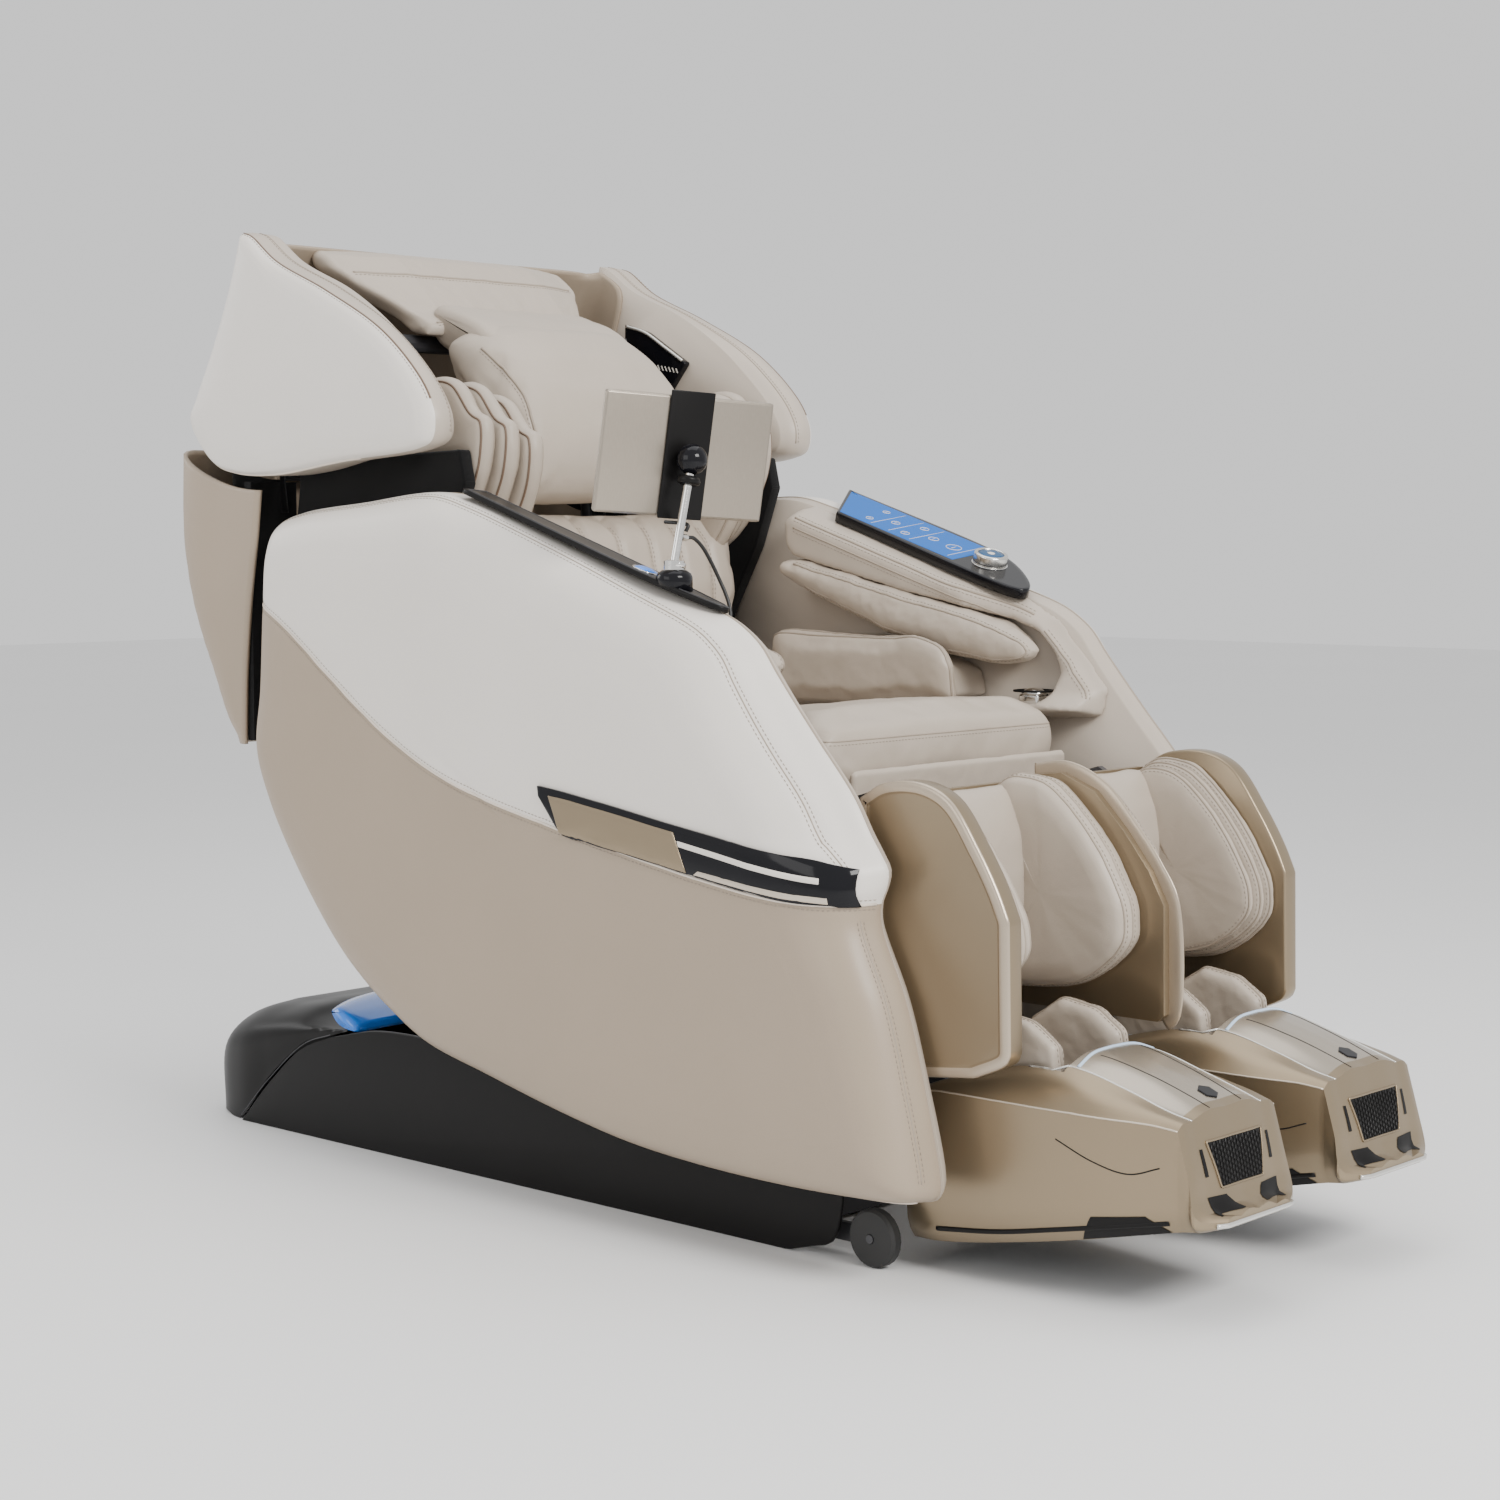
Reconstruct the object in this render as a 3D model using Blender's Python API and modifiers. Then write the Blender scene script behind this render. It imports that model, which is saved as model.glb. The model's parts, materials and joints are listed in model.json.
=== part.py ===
# Massage chair with reclining back, tilting seat, lifting leg rest and a tablet stand.
# Metres, +Z up. The origin is on the floor on the chair's centre plane, and the chair faces -Y.
# +X is the sitter's left. Side outlines are (y, z) points drawn from a datum line DATUM_Y behind the origin.

import math

import bmesh
import bpy
from mathutils import Matrix, Vector
from mathutils.bvhtree import BVHTree

# ---------------------------------------------------------------- driving dimensions
DATUM_Y = 0.2155

PANEL_INNER_X = 0.296      # inner face of a side panel
PANEL_RIM_X = 0.315        # the front rim of a side panel
PANEL_OUTER_X = 0.390      # widest part of a side panel
ARM_INNER_X = 0.240        # inner face of an armrest
ARM_FLARE = 0.035          # how far its front end stands further out
ARM_LEAN = 0.145           # fall of the armrest top towards the sitter
ARM_LEAN_X = 0.305         # where ARM_TOP_AT is measured
ARM_SLOPE = 0.327          # fall of the armrest top towards the front, metres per metre
ARM_TOP_AT = (-0.203, 0.795)
WING_INNER_X = 0.302
WING_OUTER_X = 0.364
PAD_HALF = 0.228           # half width of the pads between the armrests
CALF_HALF = 0.288          # half width of the leg unit
BASE_HALF = 0.2895         # half width of the floor base

TILT_AXIS = (-0.350, 0.200)        # seat on the carriage
RECLINE_AXIS = (0.050, 0.420)      # back on the seat frame
LEG_AXIS = (-0.575, 0.495)         # leg rest on the seat frame
WHEEL_AXIS = (-0.630, 0.033)
WHEEL_R = 0.033
POD_X = 0.144                      # middle of a foot pod
ROD_FOOT = (-0.330, -0.3735, 0.7685)
BALL = (-0.300, -0.3735, 0.893)
BALL_R = 0.018
TABLET_SIZE = (0.220, 0.139, 0.0085)
TABLET_YAW = math.radians(17.5)
TABLET_LEAN = math.radians(8.6)
TABLET_ROLL = math.radians(-3.2)
DIAL = (0.310, -0.330)             # x, y of the dial on the control panel
DIAL_R = 0.0225
RAIL_LOW, RAIL_HIGH = (0.235, 0.600), (0.285, 1.060)   # roller rails inside the back
RAIL_X = 0.150
CARRIAGE_AT = 0.10                 # where the roller carriage rests, from the rail's foot

GAP = 0.0005


# ---------------------------------------------------------------- scene and helpers
for old in list(bpy.data.objects):
    bpy.data.objects.remove(old, do_unlink=True)

CHAIR = bpy.data.collections.new("massage_chair")
CUTTERS = bpy.data.collections.new("cutters")
bpy.context.scene.collection.children.link(CHAIR)
bpy.context.scene.collection.children.link(CUTTERS)


def material(name, rgb, rough, metal=0.0):
    made = bpy.data.materials.new(name)
    made.use_nodes = True
    shader = made.node_tree.nodes["Principled BSDF"]
    shader.inputs["Base Color"].default_value = (*rgb, 1.0)
    shader.inputs["Roughness"].default_value = rough
    shader.inputs["Metallic"].default_value = metal
    return made


PEARL = (0.72, 0.71, 0.69)
TAN = (0.40, 0.33, 0.27)
BEIGE = (0.56, 0.49, 0.41)
CHAMPAGNE = (0.36, 0.29, 0.20)
BLACK = (0.012, 0.012, 0.014)
STEEL = (0.10, 0.10, 0.11)

# An empty on each joint's axis carries the pieces that move with it.
PIVOTS = {}


def pivot(name, at, parent=None):
    empty = bpy.data.objects.new(name, None)
    CHAIR.objects.link(empty)
    where = Matrix.Translation(at)
    if parent:
        empty.parent = PIVOTS[parent][0]
        empty.location = Vector(at) - PIVOTS[parent][1]
    else:
        empty.location = at
    PIVOTS[name] = (empty, Vector(at))
    return where


def datum(y):
    return y + DATUM_Y


def side(points):
    """Outline points moved from the datum to the chair's own frame."""
    return [(datum(y), z) for y, z in points]


def arm_top(y, x=ARM_LEAN_X):
    """Height of the armrest's top plane at datum position y, at a distance x from the centre plane."""
    return ARM_TOP_AT[1] + ARM_SLOPE * (y - ARM_TOP_AT[0]) + ARM_LEAN * (x - ARM_LEAN_X)


def flare(y):
    """How far an armrest's inner face stands outside ARM_INNER_X at datum position y."""
    t = min(1.0, max(0.0, (-0.300 - y) / 0.140))
    return ARM_FLARE * t * t * (3 - 2 * t)


def add(name, mesh, body, rgb, rough=0.5, metal=0.0, cutter=False):
    """Links a mesh given in chair coordinates, with its origin at its own middle, under its pivot."""
    low = Vector([min(v.co[i] for v in mesh.vertices) for i in range(3)])
    high = Vector([max(v.co[i] for v in mesh.vertices) for i in range(3)])
    middle = (low + high) / 2
    mesh.transform(Matrix.Translation(-middle))
    obj = bpy.data.objects.new(name, mesh)
    if cutter:
        CUTTERS.objects.link(obj)
        obj.hide_render = True
        obj.display_type = "WIRE"
        obj.location = middle
        return obj
    CHAIR.objects.link(obj)
    empty, at = PIVOTS[body]
    obj.parent = empty
    obj.location = middle - at
    mesh.materials.append(material(name + "_finish", rgb, rough, metal))
    return obj


def smooth(obj, angle=35):
    obj.data.shade_smooth()
    obj.data.set_sharp_from_angle(angle=math.radians(angle))
    return obj


def bevel(obj, width, segments=2, angle=40):
    made = obj.modifiers.new("rounded_edges", "BEVEL")
    made.width = width
    made.segments = segments
    made.limit_method = "ANGLE"
    made.angle_limit = math.radians(angle)
    made.use_clamp_overlap = True
    return obj


def cut(obj, *cutters):
    for n, other in enumerate(cutters):
        made = obj.modifiers.new(f"cut_{n}", "BOOLEAN")
        made.operation = "DIFFERENCE"
        made.object = other
    return obj


def join(obj, *others):
    for n, other in enumerate(others):
        made = obj.modifiers.new(f"join_{n}", "BOOLEAN")
        made.operation = "UNION"
        made.object = other
    return obj


def box_mesh(low, high):
    bm = bmesh.new()
    size = [high[i] - low[i] for i in range(3)]
    middle = [(high[i] + low[i]) / 2 for i in range(3)]
    bmesh.ops.create_cube(
        bm, size=1.0, matrix=Matrix.Translation(middle) @ Matrix.Diagonal((*size, 1.0))
    )
    return finish(bm)


def rod_mesh(a, b, r, sides=16, r_end=None):
    a, b = Vector(a), Vector(b)
    along = b - a
    bm = bmesh.new()
    turn = along.to_track_quat("Z", "Y").to_matrix().to_4x4()
    bmesh.ops.create_cone(
        bm,
        cap_ends=True,
        segments=sides,
        radius1=r,
        radius2=r if r_end is None else r_end,
        depth=along.length,
        matrix=Matrix.Translation((a + b) / 2) @ turn,
    )
    return finish(bm)


def ball_mesh(at, r, u=14, v=9):
    bm = bmesh.new()
    bmesh.ops.create_uvsphere(
        bm, u_segments=u, v_segments=v, radius=r, matrix=Matrix.Translation(at)
    )
    return finish(bm)


def finish(bm):
    bmesh.ops.recalc_face_normals(bm, faces=bm.faces)
    mesh = bpy.data.meshes.new("shape")
    bm.to_mesh(mesh)
    bm.free()
    return mesh


def evaluated_mesh(obj):
    """The mesh that an object's curve or modifiers make, with its caps welded; the object is removed."""
    bpy.context.view_layer.update()
    graph = bpy.context.evaluated_depsgraph_get()
    mesh = bpy.data.meshes.new_from_object(obj.evaluated_get(graph))
    mesh.transform(obj.matrix_world)
    bm = bmesh.new()
    bm.from_mesh(mesh)
    bmesh.ops.remove_doubles(bm, verts=bm.verts, dist=1e-5)
    bmesh.ops.recalc_face_normals(bm, faces=bm.faces)
    bm.to_mesh(mesh)
    bm.free()
    data = obj.data
    bpy.data.objects.remove(obj, do_unlink=True)
    if isinstance(data, bpy.types.Curve):
        bpy.data.curves.remove(data)
    mesh.materials.clear()
    return mesh


def plate_mesh(outline, x0, x1):
    """A flat plate: a side outline in (y, z), from x0 to x1."""
    curve = bpy.data.curves.new("outline", "CURVE")
    curve.dimensions = "2D"
    curve.fill_mode = "BOTH"
    curve.extrude = abs(x1 - x0) / 2
    line = curve.splines.new("POLY")
    line.points.add(len(outline) - 1)
    for point, (y, z) in zip(line.points, outline):
        point.co = (y, z, 0.0, 1.0)
    line.use_cyclic_u = True
    obj = bpy.data.objects.new("outline", curve)
    bpy.context.scene.collection.objects.link(obj)
    # local x, y, z lie along the chair's Y, Z, X
    obj.matrix_world = Matrix(
        ((0, 0, 1, (x0 + x1) / 2), (1, 0, 0, 0), (0, 1, 0, 0), (0, 0, 0, 1))
    )
    return evaluated_mesh(obj)


def tube_mesh(points, r, resolution=2):
    curve = bpy.data.curves.new("tube", "CURVE")
    curve.dimensions = "3D"
    curve.bevel_depth = r
    curve.bevel_resolution = resolution
    curve.use_fill_caps = True
    line = curve.splines.new("POLY")
    line.points.add(len(points) - 1)
    for point, co in zip(line.points, points):
        point.co = (*co, 1.0)
    obj = bpy.data.objects.new("tube", curve)
    bpy.context.scene.collection.objects.link(obj)
    return evaluated_mesh(obj)


def turned_mesh(profile, at, axis="X", steps=24):
    """A Screw of (radius, height) points, outer side from top to bottom, round an axis through at."""
    mesh = bpy.data.meshes.new("profile")
    points = [(r, 0.0, h) for r, h in profile]
    closed = profile[0][0] > 1e-9
    edges = [(i, i + 1) for i in range(len(points) - 1)]
    if closed:
        edges.append((len(points) - 1, 0))
    mesh.from_pydata(points, edges, [])
    obj = bpy.data.objects.new("profile", mesh)
    bpy.context.scene.collection.objects.link(obj)
    screw = obj.modifiers.new("turn", "SCREW")
    screw.axis = "Z"
    screw.steps = screw.render_steps = steps
    screw.angle = math.tau
    screw.use_merge_vertices = True
    screw.merge_threshold = 0.00001
    turn = {
        "X": Matrix.Rotation(math.pi / 2, 4, "Y"),
        "Y": Matrix.Rotation(-math.pi / 2, 4, "X"),
        "Z": Matrix.Identity(4),
    }[axis]
    obj.matrix_world = Matrix.Translation(at) @ turn
    return evaluated_mesh(obj)


def loft_mesh(rings):
    """A closed skin through rings of equal length, with flat ends."""
    bm = bmesh.new()
    rows = [[bm.verts.new(p) for p in ring] for ring in rings]
    count = len(rows[0])
    for a, b in zip(rows, rows[1:]):
        for i in range(count):
            j = (i + 1) % count
            bm.faces.new((a[i], a[j], b[j], b[i]))
    bm.faces.new(rows[0][::-1])
    bm.faces.new(rows[-1])
    bmesh.ops.triangulate(bm, faces=[f for f in bm.faces if len(f.verts) > 4])
    return finish(bm)


def inset(outline, distance):
    """An outline moved inwards by distance, side by side."""
    area = sum(
        a[0] * b[1] - b[0] * a[1] for a, b in zip(outline, outline[1:] + outline[:1])
    )
    turn = 1.0 if area > 0 else -1.0
    moved = []
    n = len(outline)
    for i, (y, z) in enumerate(outline):
        before, after = Vector(outline[i - 1]), Vector(outline[(i + 1) % n])
        here = Vector((y, z))
        d1, d2 = (here - before).normalized(), (after - here).normalized()
        n1, n2 = Vector((-d1.y, d1.x)) * turn, Vector((-d2.y, d2.x)) * turn
        mid = (n1 + n2).normalized()
        moved.append(tuple(here + mid * (distance / max(0.5, mid.dot(n1)))))
    return moved


def bulged(outline, centre, radii, rings):
    """A side piece with a crowned outer face. Each ring is (x, upper front, lower front, rear, top, bottom inset, top lift)."""
    rows = []
    cy, cz = datum(centre[0]), centre[1]
    for x, front_up, front_low, rear, top, bottom, lift in rings:
        row = []
        for y, z in outline:
            u, v = (y - cy) / radii[0], (z - cz) / radii[1]
            size = math.hypot(u, v)
            u, v = u / size, v / size
            up = min(1.0, max(0.0, (z - cz + 0.06) / 0.06))
            front = front_low + (front_up - front_low) * up
            d = front * min(u, 0.0) ** 2 + rear * max(u, 0.0) ** 2 + top * max(v, 0.0) ** 2 + bottom * min(v, 0.0) ** 2
            away = Vector((cy - y, cz - z))
            away = away / away.length * d
            row.append((x, y + away.x, z + away.y + lift * max(v, 0.0) ** 2))
        rows.append(row)
    return loft_mesh(rows)


def mirrored(mesh):
    other = mesh.copy()
    other.transform(Matrix.Diagonal((-1, 1, 1, 1)))
    other.flip_normals()
    return other


def both(name, mesh, body, rgb, rough=0.5, metal=0.0):
    """The same piece on the left (+X) and, mirrored, on the right."""
    other = mirrored(mesh)
    left = add(name + "_left", mesh, body if isinstance(body, str) else body[0], rgb, rough, metal)
    right = add(name + "_right", other, body if isinstance(body, str) else body[1], rgb, rough, metal)
    return left, right


def at3(x, point):
    return (x, datum(point[0]), point[1])


# ---------------------------------------------------------------- pivots, one per moving body
pivot("base", (0, 0, 0))
pivot("wheel_left_pivot", at3(0.278, WHEEL_AXIS), "base")
pivot("wheel_right_pivot", at3(-0.278, WHEEL_AXIS), "base")
pivot("power_switch_pivot", (0.148, datum(0.592), 0.050), "base")
pivot("carriage", at3(0, (-0.150, 0.090)), "base")
pivot("seat", at3(0, TILT_AXIS), "carriage")
pivot("back", at3(0, RECLINE_AXIS), "seat")
pivot("rollers_carrier", at3(0, RAIL_LOW), "back")
ROLLER_DIR = Vector((0, RAIL_HIGH[0] - RAIL_LOW[0], RAIL_HIGH[1] - RAIL_LOW[1])).normalized()
CARRIER = Vector(at3(0, RAIL_LOW)) + ROLLER_DIR * CARRIAGE_AT
ROLLER_AXIS = CARRIER + Vector((0, -0.064, 0))
pivot("roller_pivot", ROLLER_AXIS, "rollers_carrier")
pivot("leg", at3(0, LEG_AXIS), "seat")
pivot("foot", at3(0, (-0.80, 0.15)), "leg")
pivot("rod_pivot", (ROD_FOOT[0], datum(ROD_FOOT[1]), ROD_FOOT[2]), "seat")
pivot("ball_pivot", (BALL[0], datum(BALL[1]), BALL[2]), "rod_pivot")
pivot("dial_pivot", (DIAL[0], datum(DIAL[1]), arm_top(DIAL[1]) + 0.02), "seat")
pivot("button_left_pivot", (0.267, datum(-0.4375), 0.60), "seat")
pivot("button_right_pivot", (-0.267, datum(-0.4375), 0.60), "seat")
pivot("actuator_rod_pivot", at3(0, (-0.10, 0.345)), "seat")


# ---------------------------------------------------------------- floor base
def base_frame():
    y0, y1 = datum(-0.470), datum(0.440)
    body = box_mesh((-0.215, y0, 0.0), (-0.190, y1, 0.045))
    obj = add("base_frame", body, "base", STEEL, 0.45, 0.9)
    more = [
        box_mesh((0.190, y0, 0.0), (0.215, y1, 0.045)),
        box_mesh((-0.200, -0.030, 0.0), (0.200, 0.030, 0.030)),
        box_mesh((-0.200, y1 - 0.040, 0.002), (0.200, y1 - 0.001, 0.030)),
        box_mesh((-0.268, y0 + 0.001, 0.005), (0.268, y0 + 0.040, 0.040)),
        box_mesh((-0.207, y0 + 0.02, 0.040), (-0.198, y1 - 0.08, 0.064)),
        box_mesh((0.198, y0 + 0.02, 0.040), (0.207, y1 - 0.08, 0.064)),
    ]
    for s in (-1, 1):
        xa, xb = sorted((s * 0.2595, s * 0.2665))
        more.append(box_mesh((xa, datum(-0.645), 0.018), (xb, datum(-0.432), 0.039)))
        more.append(
            rod_mesh(at3(s * 0.2610, WHEEL_AXIS), at3(s * 0.2885, WHEEL_AXIS), 0.005, 12)
        )
    join(obj, *[add(f"frame_piece_{n}", m, "", None, cutter=True) for n, m in enumerate(more)])
    return obj


base_frame()

SKIRT = side(
    [
        (0.497, 0.0), (0.431, 0.065), (0.356, 0.122), (0.263, 0.150), (0.194, 0.162),
        (-0.050, 0.158), (-0.250, 0.142), (-0.450, 0.118), (-0.584, 0.098),
        (-0.588, 0.050), (-0.575, 0.020), (-0.545, 0.010), (-0.510, 0.0),
    ]
)
skirt = plate_mesh(SKIRT, BASE_HALF - 0.006, BASE_HALF)
both("base_side_cover", skirt, "base", BLACK, 0.35)

# (y, half width, bottom, side height, top) of the rear cover from its front edge to its back
HUMP = [
    (0.2680, 0.2895, 0.1522, 0.1532, 0.1542), (0.3060, 0.2895, 0.1415, 0.1500, 0.1555), (0.3530, 0.2895, 0.1285, 0.1450, 0.1630),
    (0.3800, 0.2895, 0.1115, 0.1400, 0.1700), (0.4370, 0.2880, 0.0680, 0.1300, 0.1650), (0.5040, 0.2840, 0.0030, 0.1100, 0.1560),
    (0.5500, 0.2720, 0.0030, 0.0950, 0.1400), (0.5800, 0.2520, 0.0040, 0.0800, 0.1200), (0.5980, 0.2250, 0.0160, 0.0700, 0.0980),
    (0.6060, 0.2000, 0.0260, 0.0600, 0.0800),
]


def hump_mesh(inner):
    rings = []
    for y, w, low, edge, top in HUMP:
        if inner and y < 0.370:
            continue
        w, edge, top = (w - 0.009, edge - 0.006, top - 0.009) if inner else (w, edge, top)
        low = -0.020 if inner else low
        y = min(y, 0.5970) if inner else y
        half = [(w, low), (w, edge), (w - 0.012, edge + (top - edge) * 0.45), (w - 0.045, edge + (top - edge) * 0.85), (w - 0.100, top)]
        rings.append([(x, datum(y), z) for x, z in half + [(-x, z) for x, z in reversed(half)]])
    if inner:
        rings[-1] = [(x * 0.99, y, z) for x, y, z in rings[-1]]
        rings[-2] = [(x, datum(0.585), z) for x, y, z in rings[-2]]
    return loft_mesh(rings)


rear = smooth(add("base_rear_cover", hump_mesh(False), "base", BLACK, 0.3), 40)
cut(
    rear,
    add("rear_hollow", hump_mesh(True), "", None, cutter=True),
    add("inlet_hole", box_mesh((0.074, datum(0.570), 0.034), (0.112, datum(0.62), 0.066)), "", None, cutter=True),
    add("switch_hole", box_mesh((0.135, datum(0.570), 0.036), (0.161, datum(0.62), 0.064)), "", None, cutter=True),
)

lens = plate_mesh(
    side([(0.3785, 0.1773), (0.352, 0.1645), (0.305, 0.1565), (0.250, 0.1545), (0.252, 0.166), (0.300, 0.178), (0.345, 0.1835)]),
    -BASE_HALF, BASE_HALF,
)
add("base_light_lens", lens, "base", (0.05, 0.30, 0.75), 0.2)

inlet = add(
    "power_inlet",
    box_mesh((0.0745, datum(0.575), 0.0345), (0.1115, datum(0.6045), 0.0655)),
    "base", BLACK, 0.4,
)
cut(
    inlet,
    add("inlet_recess", box_mesh((0.080, datum(0.586), 0.040), (0.106, datum(0.62), 0.060)), "", None, cutter=True),
)
bevel(
    add(
        "power_switch",
        box_mesh((0.1375, datum(0.578), 0.039), (0.1585, datum(0.606), 0.061)),
        "power_switch_pivot", BLACK, 0.4,
    ),
    0.0015, 1,
)

WHEEL = [
    (0.0056, 0.0095), (0.024, 0.0095), (0.030, 0.0085), (WHEEL_R, 0.005),
    (WHEEL_R, -0.005), (0.030, -0.0085), (0.024, -0.0095), (0.0056, -0.0095),
]
wheel = turned_mesh(WHEEL, at3(0.2780, WHEEL_AXIS), "X", 24)
for made in both("wheel", wheel, ("wheel_left_pivot", "wheel_right_pivot"), BLACK, 0.6):
    smooth(made)


# ---------------------------------------------------------------- seat carriage on the slide rails
def seat_carriage():
    obj = add(
        "seat_carriage",
        box_mesh((-0.212, datum(-0.430), 0.066), (-0.192, datum(0.120), 0.090)),
        "carriage", STEEL, 0.45, 0.9,
    )
    more = [
        box_mesh((0.192, datum(-0.430), 0.066), (0.212, datum(0.120), 0.090)),
        box_mesh((-0.200, datum(-0.425), 0.068), (0.200, datum(-0.375), 0.086)),
        box_mesh((-0.200, datum(0.060), 0.068), (0.200, datum(0.115), 0.086)),
    ]
    for s in (-1, 1):
        xa, xb = sorted((s * 0.1995, s * 0.2115))
        ear = plate_mesh(
            side([(-0.425, 0.070), (-0.375, 0.212), (-0.360, 0.224), (-0.340, 0.224), (-0.325, 0.212), (-0.275, 0.070)]),
            xa, xb,
        )
        more.append(ear)
        more.append(rod_mesh(at3(s * 0.2050, TILT_AXIS), at3(s * 0.2320, TILT_AXIS), 0.010, 16))
    join(obj, *[add(f"carriage_piece_{n}", m, "", None, cutter=True) for n, m in enumerate(more)])


seat_carriage()


# ---------------------------------------------------------------- seat frame
def seat_frame():
    pan = box_mesh((-0.2250, datum(-0.500), 0.4620), (0.2250, datum(0.030), 0.4760))
    obj = add("seat_frame", pan, "seat", STEEL, 0.45, 0.9)
    arm = side(
        [
            (-0.385, 0.190), (-0.370, 0.172), (-0.330, 0.172), (-0.300, 0.195), (-0.150, 0.285),
            (0.070, 0.392), (0.084, 0.420), (0.070, 0.446), (0.040, 0.456), (0.000, 0.470),
            (-0.490, 0.470), (-0.545, 0.512), (-0.575, 0.521), (-0.592, 0.512), (-0.598, 0.495),
            (-0.592, 0.477), (-0.560, 0.455), (-0.420, 0.330), (-0.390, 0.225),
        ]
    )
    more, holes = [], []
    for s in (-1, 1):
        xa, xb = sorted((s * 0.2160, s * 0.2255))
        more.append(plate_mesh(arm, xa, xb))
        more.append(rod_mesh(at3(s * 0.2170, RECLINE_AXIS), at3(s * 0.2440, RECLINE_AXIS), 0.012, 16))
        more.append(rod_mesh(at3(s * 0.2000, LEG_AXIS), at3(s * 0.2250, LEG_AXIS), 0.008, 16))
        holes.append(rod_mesh(at3(s * 0.1950, TILT_AXIS), at3(s * 0.2500, TILT_AXIS), 0.0112, 16))
    for at in ((-0.400, 0.435), (-0.020, 0.435)):
        more.append(rod_mesh(at3(-0.2953, at), at3(0.2953, at), 0.013, 12))
    join(obj, *[add(f"seat_piece_{n}", m, "", None, cutter=True) for n, m in enumerate(more)])
    cut(obj, *[add(f"seat_hole_{n}", m, "", None, cutter=True) for n, m in enumerate(holes)])


seat_frame()

# Inner works under the seat pan
bevel(add("control_box", box_mesh((0.045, datum(-0.330), 0.375), (0.185, datum(-0.120), 0.4610)), "seat", (0.15, 0.15, 0.16), 0.5), 0.004, 1)


def air_pump():
    obj = add("air_pump", box_mesh((-0.185, datum(-0.330), 0.400), (-0.050, datum(-0.130), 0.4610)), "seat", (0.12, 0.12, 0.13), 0.5)
    more = [
        rod_mesh((-0.150, datum(-0.320), 0.398), (-0.150, datum(-0.150), 0.398), 0.024, 14),
        rod_mesh((-0.088, datum(-0.320), 0.398), (-0.088, datum(-0.150), 0.398), 0.024, 14),
    ]
    join(obj, *[add(f"pump_piece_{n}", m, "", None, cutter=True) for n, m in enumerate(more)])


air_pump()


def recline_actuator():
    z = 0.345
    tube = turned_mesh(
        [(0.0135, 0.085), (0.0200, 0.085), (0.0200, -0.085), (0.0135, -0.085)],
        (0, datum(-0.215), z), "Y", 18,
    )
    obj = add("recline_actuator", tube, "seat", (0.5, 0.5, 0.52), 0.35, 0.9)
    more = [
        rod_mesh((0, datum(-0.340), z), (0, datum(-0.2985), z), 0.021, 14),
        rod_mesh((0, datum(-0.320), z - 0.005), (0, datum(-0.320), z - 0.075), 0.022, 14),
        box_mesh((-0.010, datum(-0.345), z + 0.010), (0.010, datum(-0.325), 0.440)),
    ]
    join(obj, *[add(f"actuator_piece_{n}", m, "", None, cutter=True) for n, m in enumerate(more)])
    rod = add(
        "recline_rod",
        rod_mesh((0, datum(-0.200), z), (0, datum(0.000), z), 0.0120, 16),
        "actuator_rod_pivot", (0.7, 0.7, 0.72), 0.2, 1.0,
    )
    smooth(rod)


recline_actuator()

# ---------------------------------------------------------------- seat cushion and flap
def cushion_mesh(sections, half, roundness=0.018):
    """A pad from (y, bottom, top) sections with rounded sides and a slightly crowned top."""
    rings = []
    for y, low, high, w in sections:
        r = min(roundness, (high - low) * 0.45)
        ring = []
        for x, z in (
            (-w + r, low), (w - r, low), (w, low + r), (w, high - r), (w - r, high),
            (w * 0.5, high + 0.004), (0.0, high + 0.006), (-w * 0.5, high + 0.004),
            (-w + r, high), (-w, high - r), (-w, low + r),
        ):
            ring.append((x, datum(y), z))
        rings.append(ring)
    return loft_mesh(rings)


seat_pad = cushion_mesh(
    [
        (-0.516, 0.548, 0.577, 0.218), (-0.508, 0.520, 0.590, 0.226), (-0.480, 0.4775, 0.597, PAD_HALF),
        (-0.360, 0.4775, 0.588, PAD_HALF), (-0.200, 0.4775, 0.570, PAD_HALF), (-0.050, 0.4775, 0.560, PAD_HALF),
        (0.005, 0.4775, 0.556, PAD_HALF), (0.022, 0.495, 0.540, 0.222),
    ],
    PAD_HALF,
)
smooth(add("seat_cushion", seat_pad, "seat", BEIGE, 0.5))
bevel(add("front_flap", box_mesh((-0.205, datum(-0.536), 0.440), (0.205, datum(-0.524), 0.540)), "seat", BEIGE, 0.55), 0.004, 1)

# ---------------------------------------------------------------- side panels
PANEL = side(
    [
        (0.355, 0.532), (0.346, 0.610), (0.338, 0.722), (0.330, 0.790), (0.313, 0.820), (0.268, 0.834),
        (0.150, 0.846), (0.009, 0.857), (-0.057, 0.8427), (-0.203, 0.795), (-0.327, 0.7545), (-0.439, 0.7190),
        (-0.466, 0.706), (-0.494, 0.685), (-0.517, 0.656), (-0.543, 0.625), (-0.577, 0.586), (-0.630, 0.526),
        (-0.655, 0.486), (-0.672, 0.462), (-0.679, 0.450), (-0.677, 0.433), (-0.669, 0.414), (-0.669, 0.390),
        (-0.705, 0.306), (-0.730, 0.218), (-0.752, 0.120), (-0.750, 0.106), (-0.735, 0.099), (-0.645, 0.092), (-0.550, 0.0900),
        (-0.440, 0.0925), (-0.330, 0.101), (-0.213, 0.120), (-0.085, 0.147), (0.025, 0.173), (0.088, 0.204),
        (0.133, 0.232), (0.193, 0.281), (0.273, 0.375), (0.329, 0.462),
    ]
)
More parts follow.
